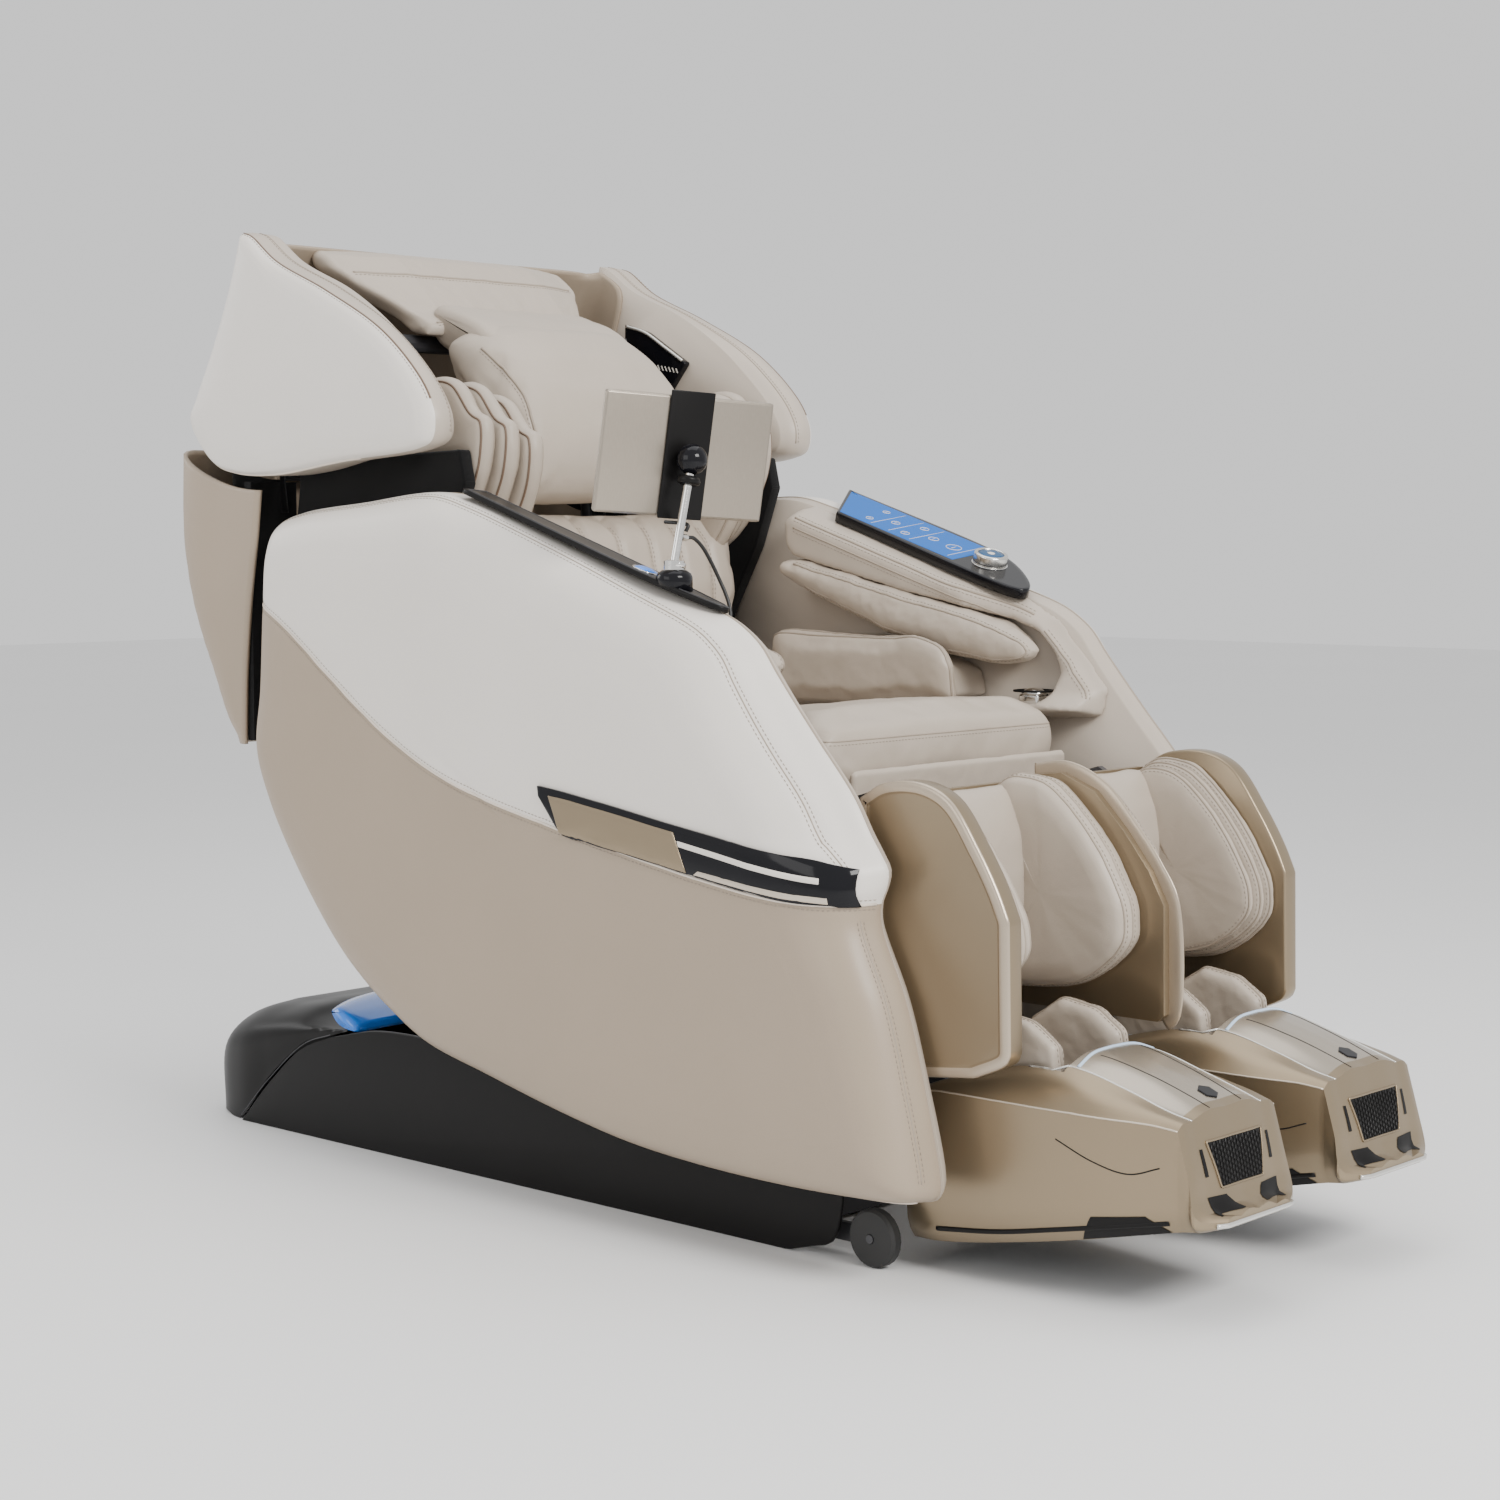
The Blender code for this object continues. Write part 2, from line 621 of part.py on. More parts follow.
panel = bulged(
    PANEL, (-0.160, 0.480), (0.55, 0.37),
    [
        (PANEL_INNER_X, 0.014, 0.016, 0.004, 0.002, 0.004, -0.0020), (PANEL_RIM_X, 0.0, 0.0, 0.0, 0.0, 0.0, 0.0),
        (0.338, 0.020, 0.004, 0.0020, 0.0012, 0.0020, 0.0030), (0.356, 0.037, 0.012, 0.0055, 0.0055, 0.0055, 0.0040),
        (0.368, 0.052, 0.024, 0.0110, 0.013, 0.0120, 0.0), (0.379, 0.074, 0.046, 0.0220, 0.029, 0.0240, 0.0),
        (0.386, 0.102, 0.076, 0.042, 0.056, 0.046, 0.0), (PANEL_OUTER_X, 0.150, 0.125, 0.080, 0.100, 0.088, 0.0),
    ],
)
for made in both("side_panel", panel.copy(), "seat", PEARL, 0.45):
    smooth(made, 60)

# The trim follows the panel's face: (y, lower z, upper z) from its rear end forwards
TRIM = [
    (-0.212, 0.508, 0.517), (-0.249, 0.463, 0.513), (-0.300, 0.455, 0.506), (-0.350, 0.448, 0.499), (-0.400, 0.441, 0.491),
    (-0.450, 0.434, 0.484), (-0.500, 0.427, 0.477), (-0.550, 0.420, 0.469), (-0.585, 0.416, 0.465), (-0.610, 0.414, 0.462),
    (-0.630, 0.413, 0.460), (-0.645, 0.412, 0.457), (-0.656, 0.412, 0.454), (-0.664, 0.412, 0.450),
]


def trim_mesh():
    bm = bmesh.new()
    bm.from_mesh(panel)
    tree = BVHTree.FromBMesh(bm)
    inner, outer = [], []
    for y, low, high in TRIM:
        for k in range(4):
            z = low + (high - low) * k / 3
            hit = tree.ray_cast(Vector((1.0, datum(y), z)), Vector((-1, 0, 0)))
            lift = hit[1] if hit[1].x > 0 else -hit[1]
            inner.append(hit[0] + lift * 0.0027)
            outer.append(hit[0] + lift * 0.0051)
    bm.free()
    out = bmesh.new()
    vi = [out.verts.new(p) for p in inner]
    vo = [out.verts.new(p) for p in outer]
    rows = len(TRIM)
    for n in range(rows - 1):
        for k in range(3):
            a, b, c, d = n * 4 + k, n * 4 + k + 1, n * 4 + k + 5, n * 4 + k + 4
            out.faces.new((vo[a], vo[b], vo[c], vo[d]))
            out.faces.new((vi[d], vi[c], vi[b], vi[a]))
    edge = [k for k in range(4)] + [n * 4 + 3 for n in range(1, rows)] + [(rows - 1) * 4 + k for k in (2, 1, 0)] + [n * 4 for n in range(rows - 2, 0, -1)]
    for a, b in zip(edge, edge[1:] + edge[:1]):
        out.faces.new((vi[a], vi[b], vo[b], vo[a]))
    return finish(out)


both("side_trim", trim_mesh(), "seat", CHAMPAGNE, 0.3, 0.8)

# ---------------------------------------------------------------- armrests
# (y, z, y, z) of the inner face and of the outer face; a height of None is the sloping top
ARM = [
    (-0.030, -0.010, -0.030, -0.010), (-0.045, None, -0.045, None), (-0.150, None, -0.150, None), (-0.250, None, -0.250, None),
    (-0.330, None, -0.340, None), (-0.395, None, -0.412, None), (-0.440, 0.6920, -0.460, 0.7000), (-0.466, 0.6660, -0.486, 0.6720),
    (-0.492, 0.6400, -0.508, 0.6480), (-0.522, 0.6060, -0.538, 0.6120), (-0.512, 0.5840, -0.530, 0.5760), (-0.440, 0.5780, -0.440, 0.5680),
    (-0.364, 0.5760, -0.364, 0.5680), (-0.364, 0.5920, -0.364, 0.5920), (-0.458, 0.5920, -0.458, 0.5920), (-0.470, 0.6060, -0.470, 0.6060),
    (-0.472, 0.6300, -0.472, 0.6300), (-0.464, 0.6540, -0.464, 0.6540), (-0.437, 0.6830, -0.437, 0.6830), (-0.402, 0.6970, -0.402, 0.6970),
    (-0.339, 0.7120, -0.339, 0.7120), (-0.238, 0.7320, -0.238, 0.7320), (-0.140, 0.7550, -0.140, 0.7550), (-0.046, 0.7770, -0.046, 0.7770),
    (-0.034, 0.7900, -0.034, 0.7900),
]


def arm_ring(x, share, drop, inset_by=0.0):
    """One outline of the armrest; share is 0 at its inner face and 1 at its outer face."""
    row = []
    for ya, za, yb, zb in ARM:
        y = ya + (yb - ya) * share
        out = flare(y)
        if za is not None and 0.0 < za < 0.600:
            out = 0.010 if y < -0.480 else 0.0
        elif za is not None and 0.600 < za < 0.608 and y > -0.480:
            out *= 0.6
        where = x + out * (1 - share)
        if za is None:
            z = arm_top(y, where) - drop
        elif za < 0:
            z = arm_top(y, where) - drop + za
        else:
            z = za + (zb - za) * share
        row.append((where, datum(y), z))
    if inset_by:
        flat = inset([(y, z) for _, y, z in row], inset_by)
        row = [(x, y, z) for (x, _, _), (y, z) in zip(row, flat)]
    return row


arm_rings = (
    [
        arm_ring(ARM_INNER_X, 0.0, 0.0120, 0.0015), arm_ring(ARM_INNER_X + 0.003, 0.0, 0.0090),
        arm_ring(ARM_INNER_X + 0.012, 0.15, 0.0045), arm_ring(0.268, 0.45, 0.0), arm_ring(PANEL_INNER_X - GAP, 1.0, 0.0),
    ]
)


def arm_mesh():
    """Both ends of the armrest's outline are concave, so each is closed by strips of faces from the outer edge to the slot's edge."""
    bm = bmesh.new()
    bm.from_mesh(loft_mesh(arm_rings))
    bm.verts.ensure_lookup_table()
    last = len(ARM) - 1
    ends = [list(bm.verts)[: len(ARM)], list(bm.verts)[-len(ARM) :]]
    for ring in ends:
        bmesh.ops.delete(bm, geom=[f for f in bm.faces if set(f.verts) <= set(ring)], context="FACES_ONLY")
    for ring in ends:
        for n in range(10):
            bm.faces.new((ring[n], ring[n + 1], ring[last - n - 1], ring[last - n]))
        bm.faces.new((ring[10], ring[11], ring[13], ring[14]))
        bm.faces.new((ring[11], ring[12], ring[13]))
    bmesh.ops.triangulate(bm, faces=bm.faces)
    return finish(bm)


arm = arm_mesh()
hole = box_mesh((0.2540, datum(-0.4540), 0.560), (0.2840, datum(-0.4210), 0.620))
arms = both("armrest", arm.copy(), "seat", BEIGE, 0.5)
for obj, mesh in zip(arms, (hole, mirrored(hole))):
    cut(obj, add(obj.name + "_button_hole", mesh, "", None, cutter=True))

button = box_mesh((0.2550, datum(-0.4530), 0.5790), (0.2830, datum(-0.4220), 0.6030))
for made in both("hand_button", button, ("button_left_pivot", "button_right_pivot"), (0.7, 0.7, 0.72), 0.15, 1.0):
    bevel(made, 0.003, 2)

WEDGE_IN = side(
    [(-0.040, 0.7740), (-0.028, 0.766), (-0.032, 0.754), (-0.0805, 0.732), (-0.2215, 0.680), (-0.322, 0.655), (-0.400, 0.6440),
     (-0.450, 0.6480), (-0.462, 0.6600), (-0.450, 0.6730), (-0.400, 0.6910), (-0.339, 0.7070), (-0.238, 0.7280), (-0.060, 0.7700)]
)
WEDGE_OUT = side(
    [(-0.040, 0.7740), (-0.028, 0.766), (-0.032, 0.754), (-0.0805, 0.732), (-0.2215, 0.680), (-0.322, 0.655), (-0.385, 0.6460),
     (-0.420, 0.6490), (-0.432, 0.6590), (-0.425, 0.6720), (-0.395, 0.6900), (-0.339, 0.7060), (-0.238, 0.7260), (-0.060, 0.7690)]
)
wedge = loft_mesh(
    [[(x, y, z) for y, z in inset(WEDGE_IN, d)] for x, d in ((0.2225, 0.0065), (0.2275, 0.0030), (0.2400, 0.0), (0.2550, 0.0))]
    + [[(x, y, z) for y, z in WEDGE_OUT] for x in (0.2600, 0.2948)]
)
for made in both("arm_pad", wedge, "seat", BEIGE, 0.5):
    smooth(made, 60)

HIP_INNER = side([(-0.035, 0.5765), (-0.035, 0.672), (-0.050, 0.678), (-0.300, 0.676), (-0.335, 0.664), (-0.352, 0.640), (-0.355, 0.5925), (-0.200, 0.5765)])
HIP_OUTER = side([(-0.035, 0.5765), (-0.035, 0.668), (-0.050, 0.674), (-0.220, 0.672), (-0.300, 0.652), (-0.340, 0.635), (-0.355, 0.5925), (-0.200, 0.5765)])
hip = loft_mesh(
    [[(0.2030, y, z) for y, z in inset(HIP_INNER, 0.014)]]
    + [[(x, y, z) for y, z in inset(HIP_INNER, d)] for x, d in ((0.2070, 0.005), (0.2130, 0.0), (0.2185, 0.0))]
    + [[(x, y, z) for y, z in inset(HIP_OUTER, d)] for x, d in ((0.2212, 0.004), (0.2948, 0.004))]
)
for made in both("hip_pad", hip, "seat", BEIGE, 0.5):
    smooth(made, 60)

# ---------------------------------------------------------------- armrest tops
SLOPE = math.atan(ARM_SLOPE)
LEAN = math.atan(ARM_LEAN * math.cos(math.atan(ARM_SLOPE)))
SLOPE_AT = -0.240


def on_arm(mesh, hand=1):
    """Places a mesh drawn flat on the armrest's sloping top, on the left (hand 1) or the right (hand -1)."""
    mesh.transform(
        Matrix.Translation((hand * ARM_LEAN_X, datum(SLOPE_AT), arm_top(SLOPE_AT)))
        @ Matrix.Rotation(SLOPE, 4, "X")
        @ Matrix.Rotation(-hand * LEAN, 4, "Y")
        @ Matrix.Translation((-hand * ARM_LEAN_X, 0, 0))
    )
    return mesh


def flat_mesh(outline, low, high, hand=1):
    """A plate from (x, s) points, s along the slope, between two heights over the armrest's top."""
    bm = bmesh.new()
    bottom = [bm.verts.new((x, s, low)) for x, s in outline]
    face = bm.faces.new(bottom)
    grown = bmesh.ops.extrude_face_region(bm, geom=[face])
    top = [v for v in grown["geom"] if isinstance(v, bmesh.types.BMVert)]
    bmesh.ops.translate(bm, verts=top, vec=(0, 0, high - low))
    return on_arm(finish(bm), hand)


CONTROL = [
    (0.266, 0.143), (0.362, 0.208), (0.362, -0.050), (0.350, -0.100), (0.322, -0.148),
    (0.294, -0.178), (0.277, -0.184), (0.266, -0.172),
]
bevel(add("control_panel", flat_mesh(CONTROL, 0.0015, 0.0150), "seat", BLACK, 0.2), 0.002, 1)

TRAY = [
    (-0.302, 0.228), (-0.350, 0.218), (-0.352, -0.120), (-0.342, -0.170), (-0.325, -0.210), (-0.312, -0.210), (-0.302, -0.165),
]
tray = add("arm_tray", flat_mesh(TRAY, 0.0015, 0.0080, -1), "seat", BLACK, 0.2)
foot_at = (ROD_FOOT[0], datum(ROD_FOOT[1]))
foot_ring = [(math.cos(math.tau * n / 20), math.sin(math.tau * n / 20)) for n in range(20)]
foot_cone = loft_mesh(
    [
        [
            (
                foot_at[0] + r * c,
                foot_at[1] + r * q,
                arm_top(ROD_FOOT[1] + r * q, -foot_at[0] - r * c) + 0.0045 if flat is None else flat,
            )
            for c, q in foot_ring
        ]
        for r, flat in ((0.0215, None), (0.0205, 0.7610), (0.014, 0.7680))
    ]
)
join(tray, add("stand_foot_piece", foot_cone, "", None, cutter=True))

slope_normal = (Matrix.Rotation(SLOPE, 3, "X") @ Matrix.Rotation(-LEAN, 3, "Y")) @ Vector((0, 0, 1))
dial_at = Vector((DIAL[0], datum(DIAL[1]), arm_top(DIAL[1], DIAL[0])))
dial = rod_mesh(dial_at + slope_normal * 0.0156, dial_at + slope_normal * 0.0300, DIAL_R, 24)
smooth(bevel(add("dial_knob", dial, "dial_pivot", (0.75, 0.75, 0.77), 0.2, 1.0), 0.0015, 1))

# ---------------------------------------------------------------- tablet stand
def stand_rod():
    foot = (ROD_FOOT[0], datum(ROD_FOOT[1]), ROD_FOOT[2])
    ball = (BALL[0], datum(BALL[1]), BALL[2])
    obj = add("stand_rod", rod_mesh(foot, (foot[0], foot[1], foot[2] + 0.010), 0.012, 18), "rod_pivot", (0.75, 0.75, 0.77), 0.15, 1.0)
    more = [
        rod_mesh((foot[0], foot[1], foot[2] + 0.006), ball, 0.0048, 12),
        ball_mesh(ball, BALL_R),
        tube_mesh([(foot[0] + 0.022, foot[1] + 0.002, foot[2] + 0.036), (foot[0] + 0.006, foot[1], foot[2] + 0.036)], 0.004, 2),
    ]
    join(obj, *[add(f"rod_piece_{n}", m, "", None, cutter=True) for n, m in enumerate(more)])
    smooth(obj)


stand_rod()

BACK_NORMAL = Vector(
    (-math.sin(TABLET_YAW) * math.cos(TABLET_LEAN), -math.cos(TABLET_YAW) * math.cos(TABLET_LEAN), -math.sin(TABLET_LEAN))
)
ball_point = Vector((BALL[0], datum(BALL[1]), BALL[2]))
width_dir = BACK_NORMAL.cross(Vector((0, 0, 1))).normalized() * -1
height_dir = width_dir.cross(BACK_NORMAL)
if height_dir.z < 0:
    height_dir = -height_dir
rolled_w = width_dir * math.cos(TABLET_ROLL) + height_dir * math.sin(TABLET_ROLL)
rolled_h = height_dir * math.cos(TABLET_ROLL) - width_dir * math.sin(TABLET_ROLL)


def tablet_frame(offset):
    """A matrix whose X runs along the tablet's width, Y along its height and Z out of its back."""
    origin = ball_point - BACK_NORMAL * offset + rolled_w * 0.004
    w, h = rolled_w, rolled_h
    if w.cross(h).dot(BACK_NORMAL) < 0:
        w = -w
    return Matrix(
        (
            (w.x, h.x, BACK_NORMAL.x, origin.x),
            (w.y, h.y, BACK_NORMAL.y, origin.y),
            (w.z, h.z, BACK_NORMAL.z, origin.z),
            (0, 0, 0, 1),
        )
    )


clip = box_mesh((-0.0285, -TABLET_SIZE[1] / 2 - 0.002, -0.0015), (0.0285, TABLET_SIZE[1] / 2 + 0.006, 0.0015))
clip.transform(tablet_frame(BALL_R + 0.0035))
add("tablet_clamp", clip, "ball_pivot", BLACK, 0.4)
slab = box_mesh(
    (-TABLET_SIZE[0] / 2, -TABLET_SIZE[1] / 2, -TABLET_SIZE[2] / 2), (TABLET_SIZE[0] / 2, TABLET_SIZE[1] / 2, TABLET_SIZE[2] / 2)
)
slab.transform(tablet_frame(BALL_R + 0.0035 + 0.0015 + GAP + TABLET_SIZE[2] / 2))
bevel(add("tablet", slab, "ball_pivot", (0.48, 0.46, 0.43), 0.3, 0.9), 0.0025, 1)


# ---------------------------------------------------------------- tablet lead
def smooth_route(points, count):
    """Points evenly spread along a smooth curve through the route's own points."""
    pts = [Vector(p) for p in points]
    pts = [2 * pts[0] - pts[1]] + pts + [2 * pts[-1] - pts[-2]]
    fine = []
    for i in range(1, len(pts) - 2):
        p0, p1, p2, p3 = pts[i - 1 : i + 3]
        for k in range(24):
            t = k / 24
            fine.append(
                0.5
                * (
                    2 * p1
                    + (p2 - p0) * t
                    + (2 * p0 - 5 * p1 + 4 * p2 - p3) * t * t
                    + (3 * p1 - p0 - 3 * p2 + p3) * t * t * t
                )
            )
    fine.append(pts[-2])
    lengths = [0.0]
    for a, b in zip(fine, fine[1:]):
        lengths.append(lengths[-1] + (b - a).length)
    out, j = [], 0
    for n in range(count):
        want = lengths[-1] * n / (count - 1)
        while j < len(fine) - 2 and lengths[j + 1] < want:
            j += 1
        span = max(lengths[j + 1] - lengths[j], 1e-9)
        out.append(fine[j].lerp(fine[j + 1], (want - lengths[j]) / span))
    return out


LEAD_D = 0.0045
rod_clip = Vector((ROD_FOOT[0] + 0.0235, datum(ROD_FOOT[1]) + 0.002, ROD_FOOT[2] + 0.036))


def lead_end(y, z):
    """Where the lead meets the inner face of the armrest."""
    bm = bmesh.new()
    bm.from_mesh(arm)
    hit = BVHTree.FromBMesh(bm).ray_cast(Vector((0.0, datum(y), z)), Vector((1, 0, 0)))
    bm.free()
    return (-hit[0].x + 0.0009, datum(y), z)


LEAD = [
    rod_clip + Vector((0.0004, 0, 0)),
    rod_clip + Vector((0.012, 0.0005, -0.001)),
    (-0.2790, datum(-0.3705), 0.7925),
    (-0.2650, datum(-0.3715), 0.7740),
    (-0.2560, datum(-0.3740), 0.7570),
    (-0.2515, datum(-0.3790), 0.7420),
    (-0.2500, datum(-0.3840), 0.7280),
    (-0.2510, datum(-0.3875), 0.7160),
    (-0.2550, datum(-0.3888), 0.7095),
    lead_end(-0.3890, 0.7080),
]
lead = tube_mesh([tuple(p) for p in smooth_route(LEAD, 26)], LEAD_D / 2, 2)
smooth(add("tablet_lead", lead, "seat", BLACK, 0.5))
port = tablet_frame(BALL_R + 0.0055 + TABLET_SIZE[2] / 2) @ Vector((-0.012, -TABLET_SIZE[1] / 2 - 0.0012, 0))
down = tablet_frame(0).to_3x3() @ Vector((0, -1, 0))
LEAD_TOP = [
    port,
    port + down * 0.008,
    rod_clip + Vector((0.0010, 0.0015, 0.0150)),
    rod_clip + Vector((-0.0020, 0.0, 0.0068)),
]
lead_top = tube_mesh([tuple(p) for p in smooth_route(LEAD_TOP, 10)], LEAD_D / 2, 2)
smooth(add("tablet_lead_top", lead_top, "rod_pivot", BLACK, 0.5))

# ---------------------------------------------------------------- backrest
def back_frame():
    outline = side(
        [
            (0.020, 0.432), (0.020, 0.400), (0.042, 0.386), (0.070, 0.390), (0.110, 0.470), (0.185, 0.580),
            (0.235, 0.640), (0.262, 0.900), (0.300, 1.075), (0.268, 1.085), (0.228, 0.920), (0.198, 0.660),
            (0.150, 0.590), (0.085, 0.500),
        ]
    )
    first = plate_mesh(outline, 0.2300, 0.2390)
    obj = add("back_frame", first, "back", STEEL, 0.45, 0.9)
    more = [mirrored(plate_mesh(outline, 0.2300, 0.2390))]
    for at in ((0.120, 0.510), RAIL_LOW, RAIL_HIGH):
        more.append(rod_mesh(at3(-0.2350, at), at3(0.2350, at), 0.012, 12))
    for s in (-1, 1):
        more.append(rod_mesh(at3(s * RAIL_X, RAIL_LOW), at3(s * RAIL_X, RAIL_HIGH), 0.0075, 14))
    join(obj, *[add(f"back_piece_{n}", m, "", None, cutter=True) for n, m in enumerate(more)])
    holes = [
        rod_mesh(at3(s * 0.2200, RECLINE_AXIS), at3(s * 0.2500, RECLINE_AXIS), 0.0132, 16) for s in (-1, 1)
    ]
    cut(obj, *[add(f"back_hole_{n}", m, "", None, cutter=True) for n, m in enumerate(holes)])


back_frame()


def back_shell():
    # rows of (front z, rear z, half width, front y, rear y) from the bottom to the top
    rows = [
        (0.530, 0.530, 0.3530, 0.392, 0.415), (0.560, 0.560, 0.3530, 0.391, 0.440), (0.625, 0.625, 0.3530, 0.388, 0.470),
        (0.720, 0.720, 0.3530, 0.377, 0.512), (0.800, 0.810, 0.3530, 0.363, 0.530), (0.864, 0.920, 0.3530, 0.354, 0.528),
        (0.878, 0.945, 0.3000, 0.378, 0.512), (0.960, 0.985, 0.3000, 0.385, 0.492), (1.030, 1.050, 0.2990, 0.375, 0.468),
        (1.100, 1.110, 0.2980, 0.352, 0.437), (1.160, 1.160, 0.2970, 0.340, 0.410), (1.190, 1.188, 0.2960, 0.3800, 0.395),
    ]
    bm = bmesh.new()
    grid = []
    for low, high, w, front, rear in rows:
        rear += 0.010 * min(1.0, (rear - front) / 0.10)
        r = min(0.030, (rear - front) * 0.8)
        path = [(-w, front), (-w, (front + rear - r) / 2), (-w, rear - r), (-w + r * 0.30, rear - r * 0.30), (-w + r, rear), (-w * 0.4, rear + 0.006)]
        path = path + [(-x, y) for x, y in reversed(path)]
        grid.append(
            [
                bm.verts.new((x, datum(y), low + (high - low) * min(1.0, (y - front) / (rear - front)) ** 2))
                for x, y in path
            ]
        )
    for a, b in zip(grid, grid[1:]):
        for i in range(len(a) - 1):
            bm.faces.new((a[i], b[i], b[i + 1], a[i + 1]))
    mesh = bpy.data.meshes.new("back_shell")
    bmesh.ops.recalc_face_normals(bm, faces=bm.faces)
    bm.to_mesh(mesh)
    bm.free()
    obj = add("back_shell", mesh, "back", TAN, 0.5)
    made = obj.modifiers.new("wall", "SOLIDIFY")
    made.thickness = 0.006
    made.offset = -1.0
    made.use_even_offset = False
    smooth(obj, 50)
    return obj


back_shell()

WING = side(
    [
        (0.386, 1.199), (0.408, 1.140), (0.450, 1.049), (0.486, 0.984), (0.499, 0.958), (0.456, 0.902),
        (0.410, 0.887), (0.325, 0.883), (0.187, 0.898), (0.040, 0.912), (0.016, 0.922), (0.010, 0.948),
        (0.020, 0.976), (0.045, 1.008), (0.110, 1.062), (0.218, 1.117), (0.320, 1.160), (0.370, 1.194),
    ]
)
wing = bulged(
    WING, (0.260, 0.990), (0.24, 0.15),
    [
        (WING_INNER_X, 0.026, 0.022, 0.004, 0.0, 0.0, 0.0), (0.334, 0.0, 0.0, 0.0, 0.0, 0.0, 0.0),
        (0.346, 0.002, 0.002, 0.0, 0.002, 0.001, 0.0), (0.355, 0.009, 0.008, 0.003, 0.007, 0.006, 0.0),
        (0.361, 0.024, 0.022, 0.012, 0.018, 0.016, 0.0), (WING_OUTER_X, 0.052, 0.048, 0.034, 0.036, 0.034, 0.0),
    ],
)
for made in both("wing", wing, "back", PEARL, 0.45):
    smooth(made, 60)


def back_liner():
    outline = side(
        [
            (0.030, 0.912), (0.020, 0.870), (0.050, 0.790), (0.120, 0.665), (0.200, 0.575), (0.372, 0.556),
            (0.384, 0.600), (0.370, 0.720), (0.356, 0.800), (0.3450, 0.868), (0.345, 0.900), (0.200, 0.906),
        ]
    )
    obj = add("back_liner", plate_mesh(outline, 0.2740, 0.2945), "back", BLACK, 0.7)
    more = [
        mirrored(plate_mesh(outline, 0.2740, 0.2945)),
        plate_mesh(side([(0.355, 0.600), (0.370, 0.600), (0.350, 0.800), (0.335, 0.800)]), -0.2800, 0.2800),
    ]
    join(obj, *[add(f"liner_piece_{n}", m, "", None, cutter=True) for n, m in enumerate(more)])


back_liner()


def pad_mesh(outline, half, edge=0.020):
    """A pad across the chair from a side outline, drawn in towards both ends."""
    points = side(outline)
    steps = ((-half, edge), (-half + edge * 0.5, edge * 0.3), (-half + edge * 1.3, 0.0),
             (half - edge * 1.3, 0.0), (half - edge * 0.5, edge * 0.3), (half, edge))
    return loft_mesh([[(x, y, z) for y, z in inset(points, d)] for x, d in steps])


smooth(
    add(
        "back_pad",
        pad_mesh(
            [(0.090, 0.836), (0.050, 0.810), (0.034, 0.740), (0.032, 0.640), (0.048, 0.585), (0.075, 0.573),
             (0.105, 0.580), (0.112, 0.640), (0.112, 0.740), (0.122, 0.836)],
            PAD_HALF - 0.001, 0.014,
        ),
        "back", BEIGE, 0.5,
    ), 60,
)
smooth(
    add(
        "pillow",
        pad_mesh(
            [(0.165, 1.060), (0.122, 1.046), (0.078, 1.012), (0.044, 0.966), (0.032, 0.922), (0.036, 0.870), (0.062, 0.846),
             (0.110, 0.842), (0.145, 0.870), (0.180, 1.000), (0.196, 1.050), (0.186, 1.060)],
            PAD_HALF, 0.010,
        ),
        "back", BEIGE, 0.5,
    ), 60,
)
smooth(
    add(
        "head_flap",
        pad_mesh(
            [(0.335, 1.190), (0.300, 1.180), (0.260, 1.150), (0.215, 1.104), (0.180, 1.084), (0.182, 1.068), (0.215, 1.072),
             (0.262, 1.104), (0.300, 1.140), (0.335, 1.168)],
            0.2560, 0.008,
        ),
        "back", BEIGE, 0.5,
    ), 60,
)

SHOULDER = side(
    [(0.030, 0.985), (0.070, 1.025), (0.120, 1.035), (0.200, 1.005), (0.250, 0.940), (0.245, 0.860),
     (0.190, 0.800), (0.130, 0.775), (0.075, 0.800), (0.035, 0.850), (0.014, 0.900), (0.014, 0.950)]
)
shoulder = loft_mesh(
    [[(x, y, z) for y, z in inset(SHOULDER, d)] for x, d in ((0.2400, 0.016), (0.2440, 0.005), (0.2520, 0.0), (0.2725, 0.0))]
)
for made in both("shoulder_pad", shoulder, "back", BEIGE, 0.5):
    smooth(made, 60)

SPEAKER = side([(0.440, 1.118), (0.384, 1.128), (0.280, 1.098), (0.200, 1.050), (0.236, 1.008), (0.326, 1.016)])
speaker = plate_mesh(SPEAKER, 0.2900, WING_INNER_X - GAP)
# the rear corner of the speaker stays in front of the rear shell
speaker_cut = box_mesh((0.25, datum(0.322), 0.95), (0.32, datum(0.50), 1.20))
for obj, mesh in zip(both("speaker", speaker, "back", BLACK, 0.3), (speaker_cut, mirrored(speaker_cut))):
    cut(obj, add(obj.name + "_trim", mesh, "", None, cutter=True))


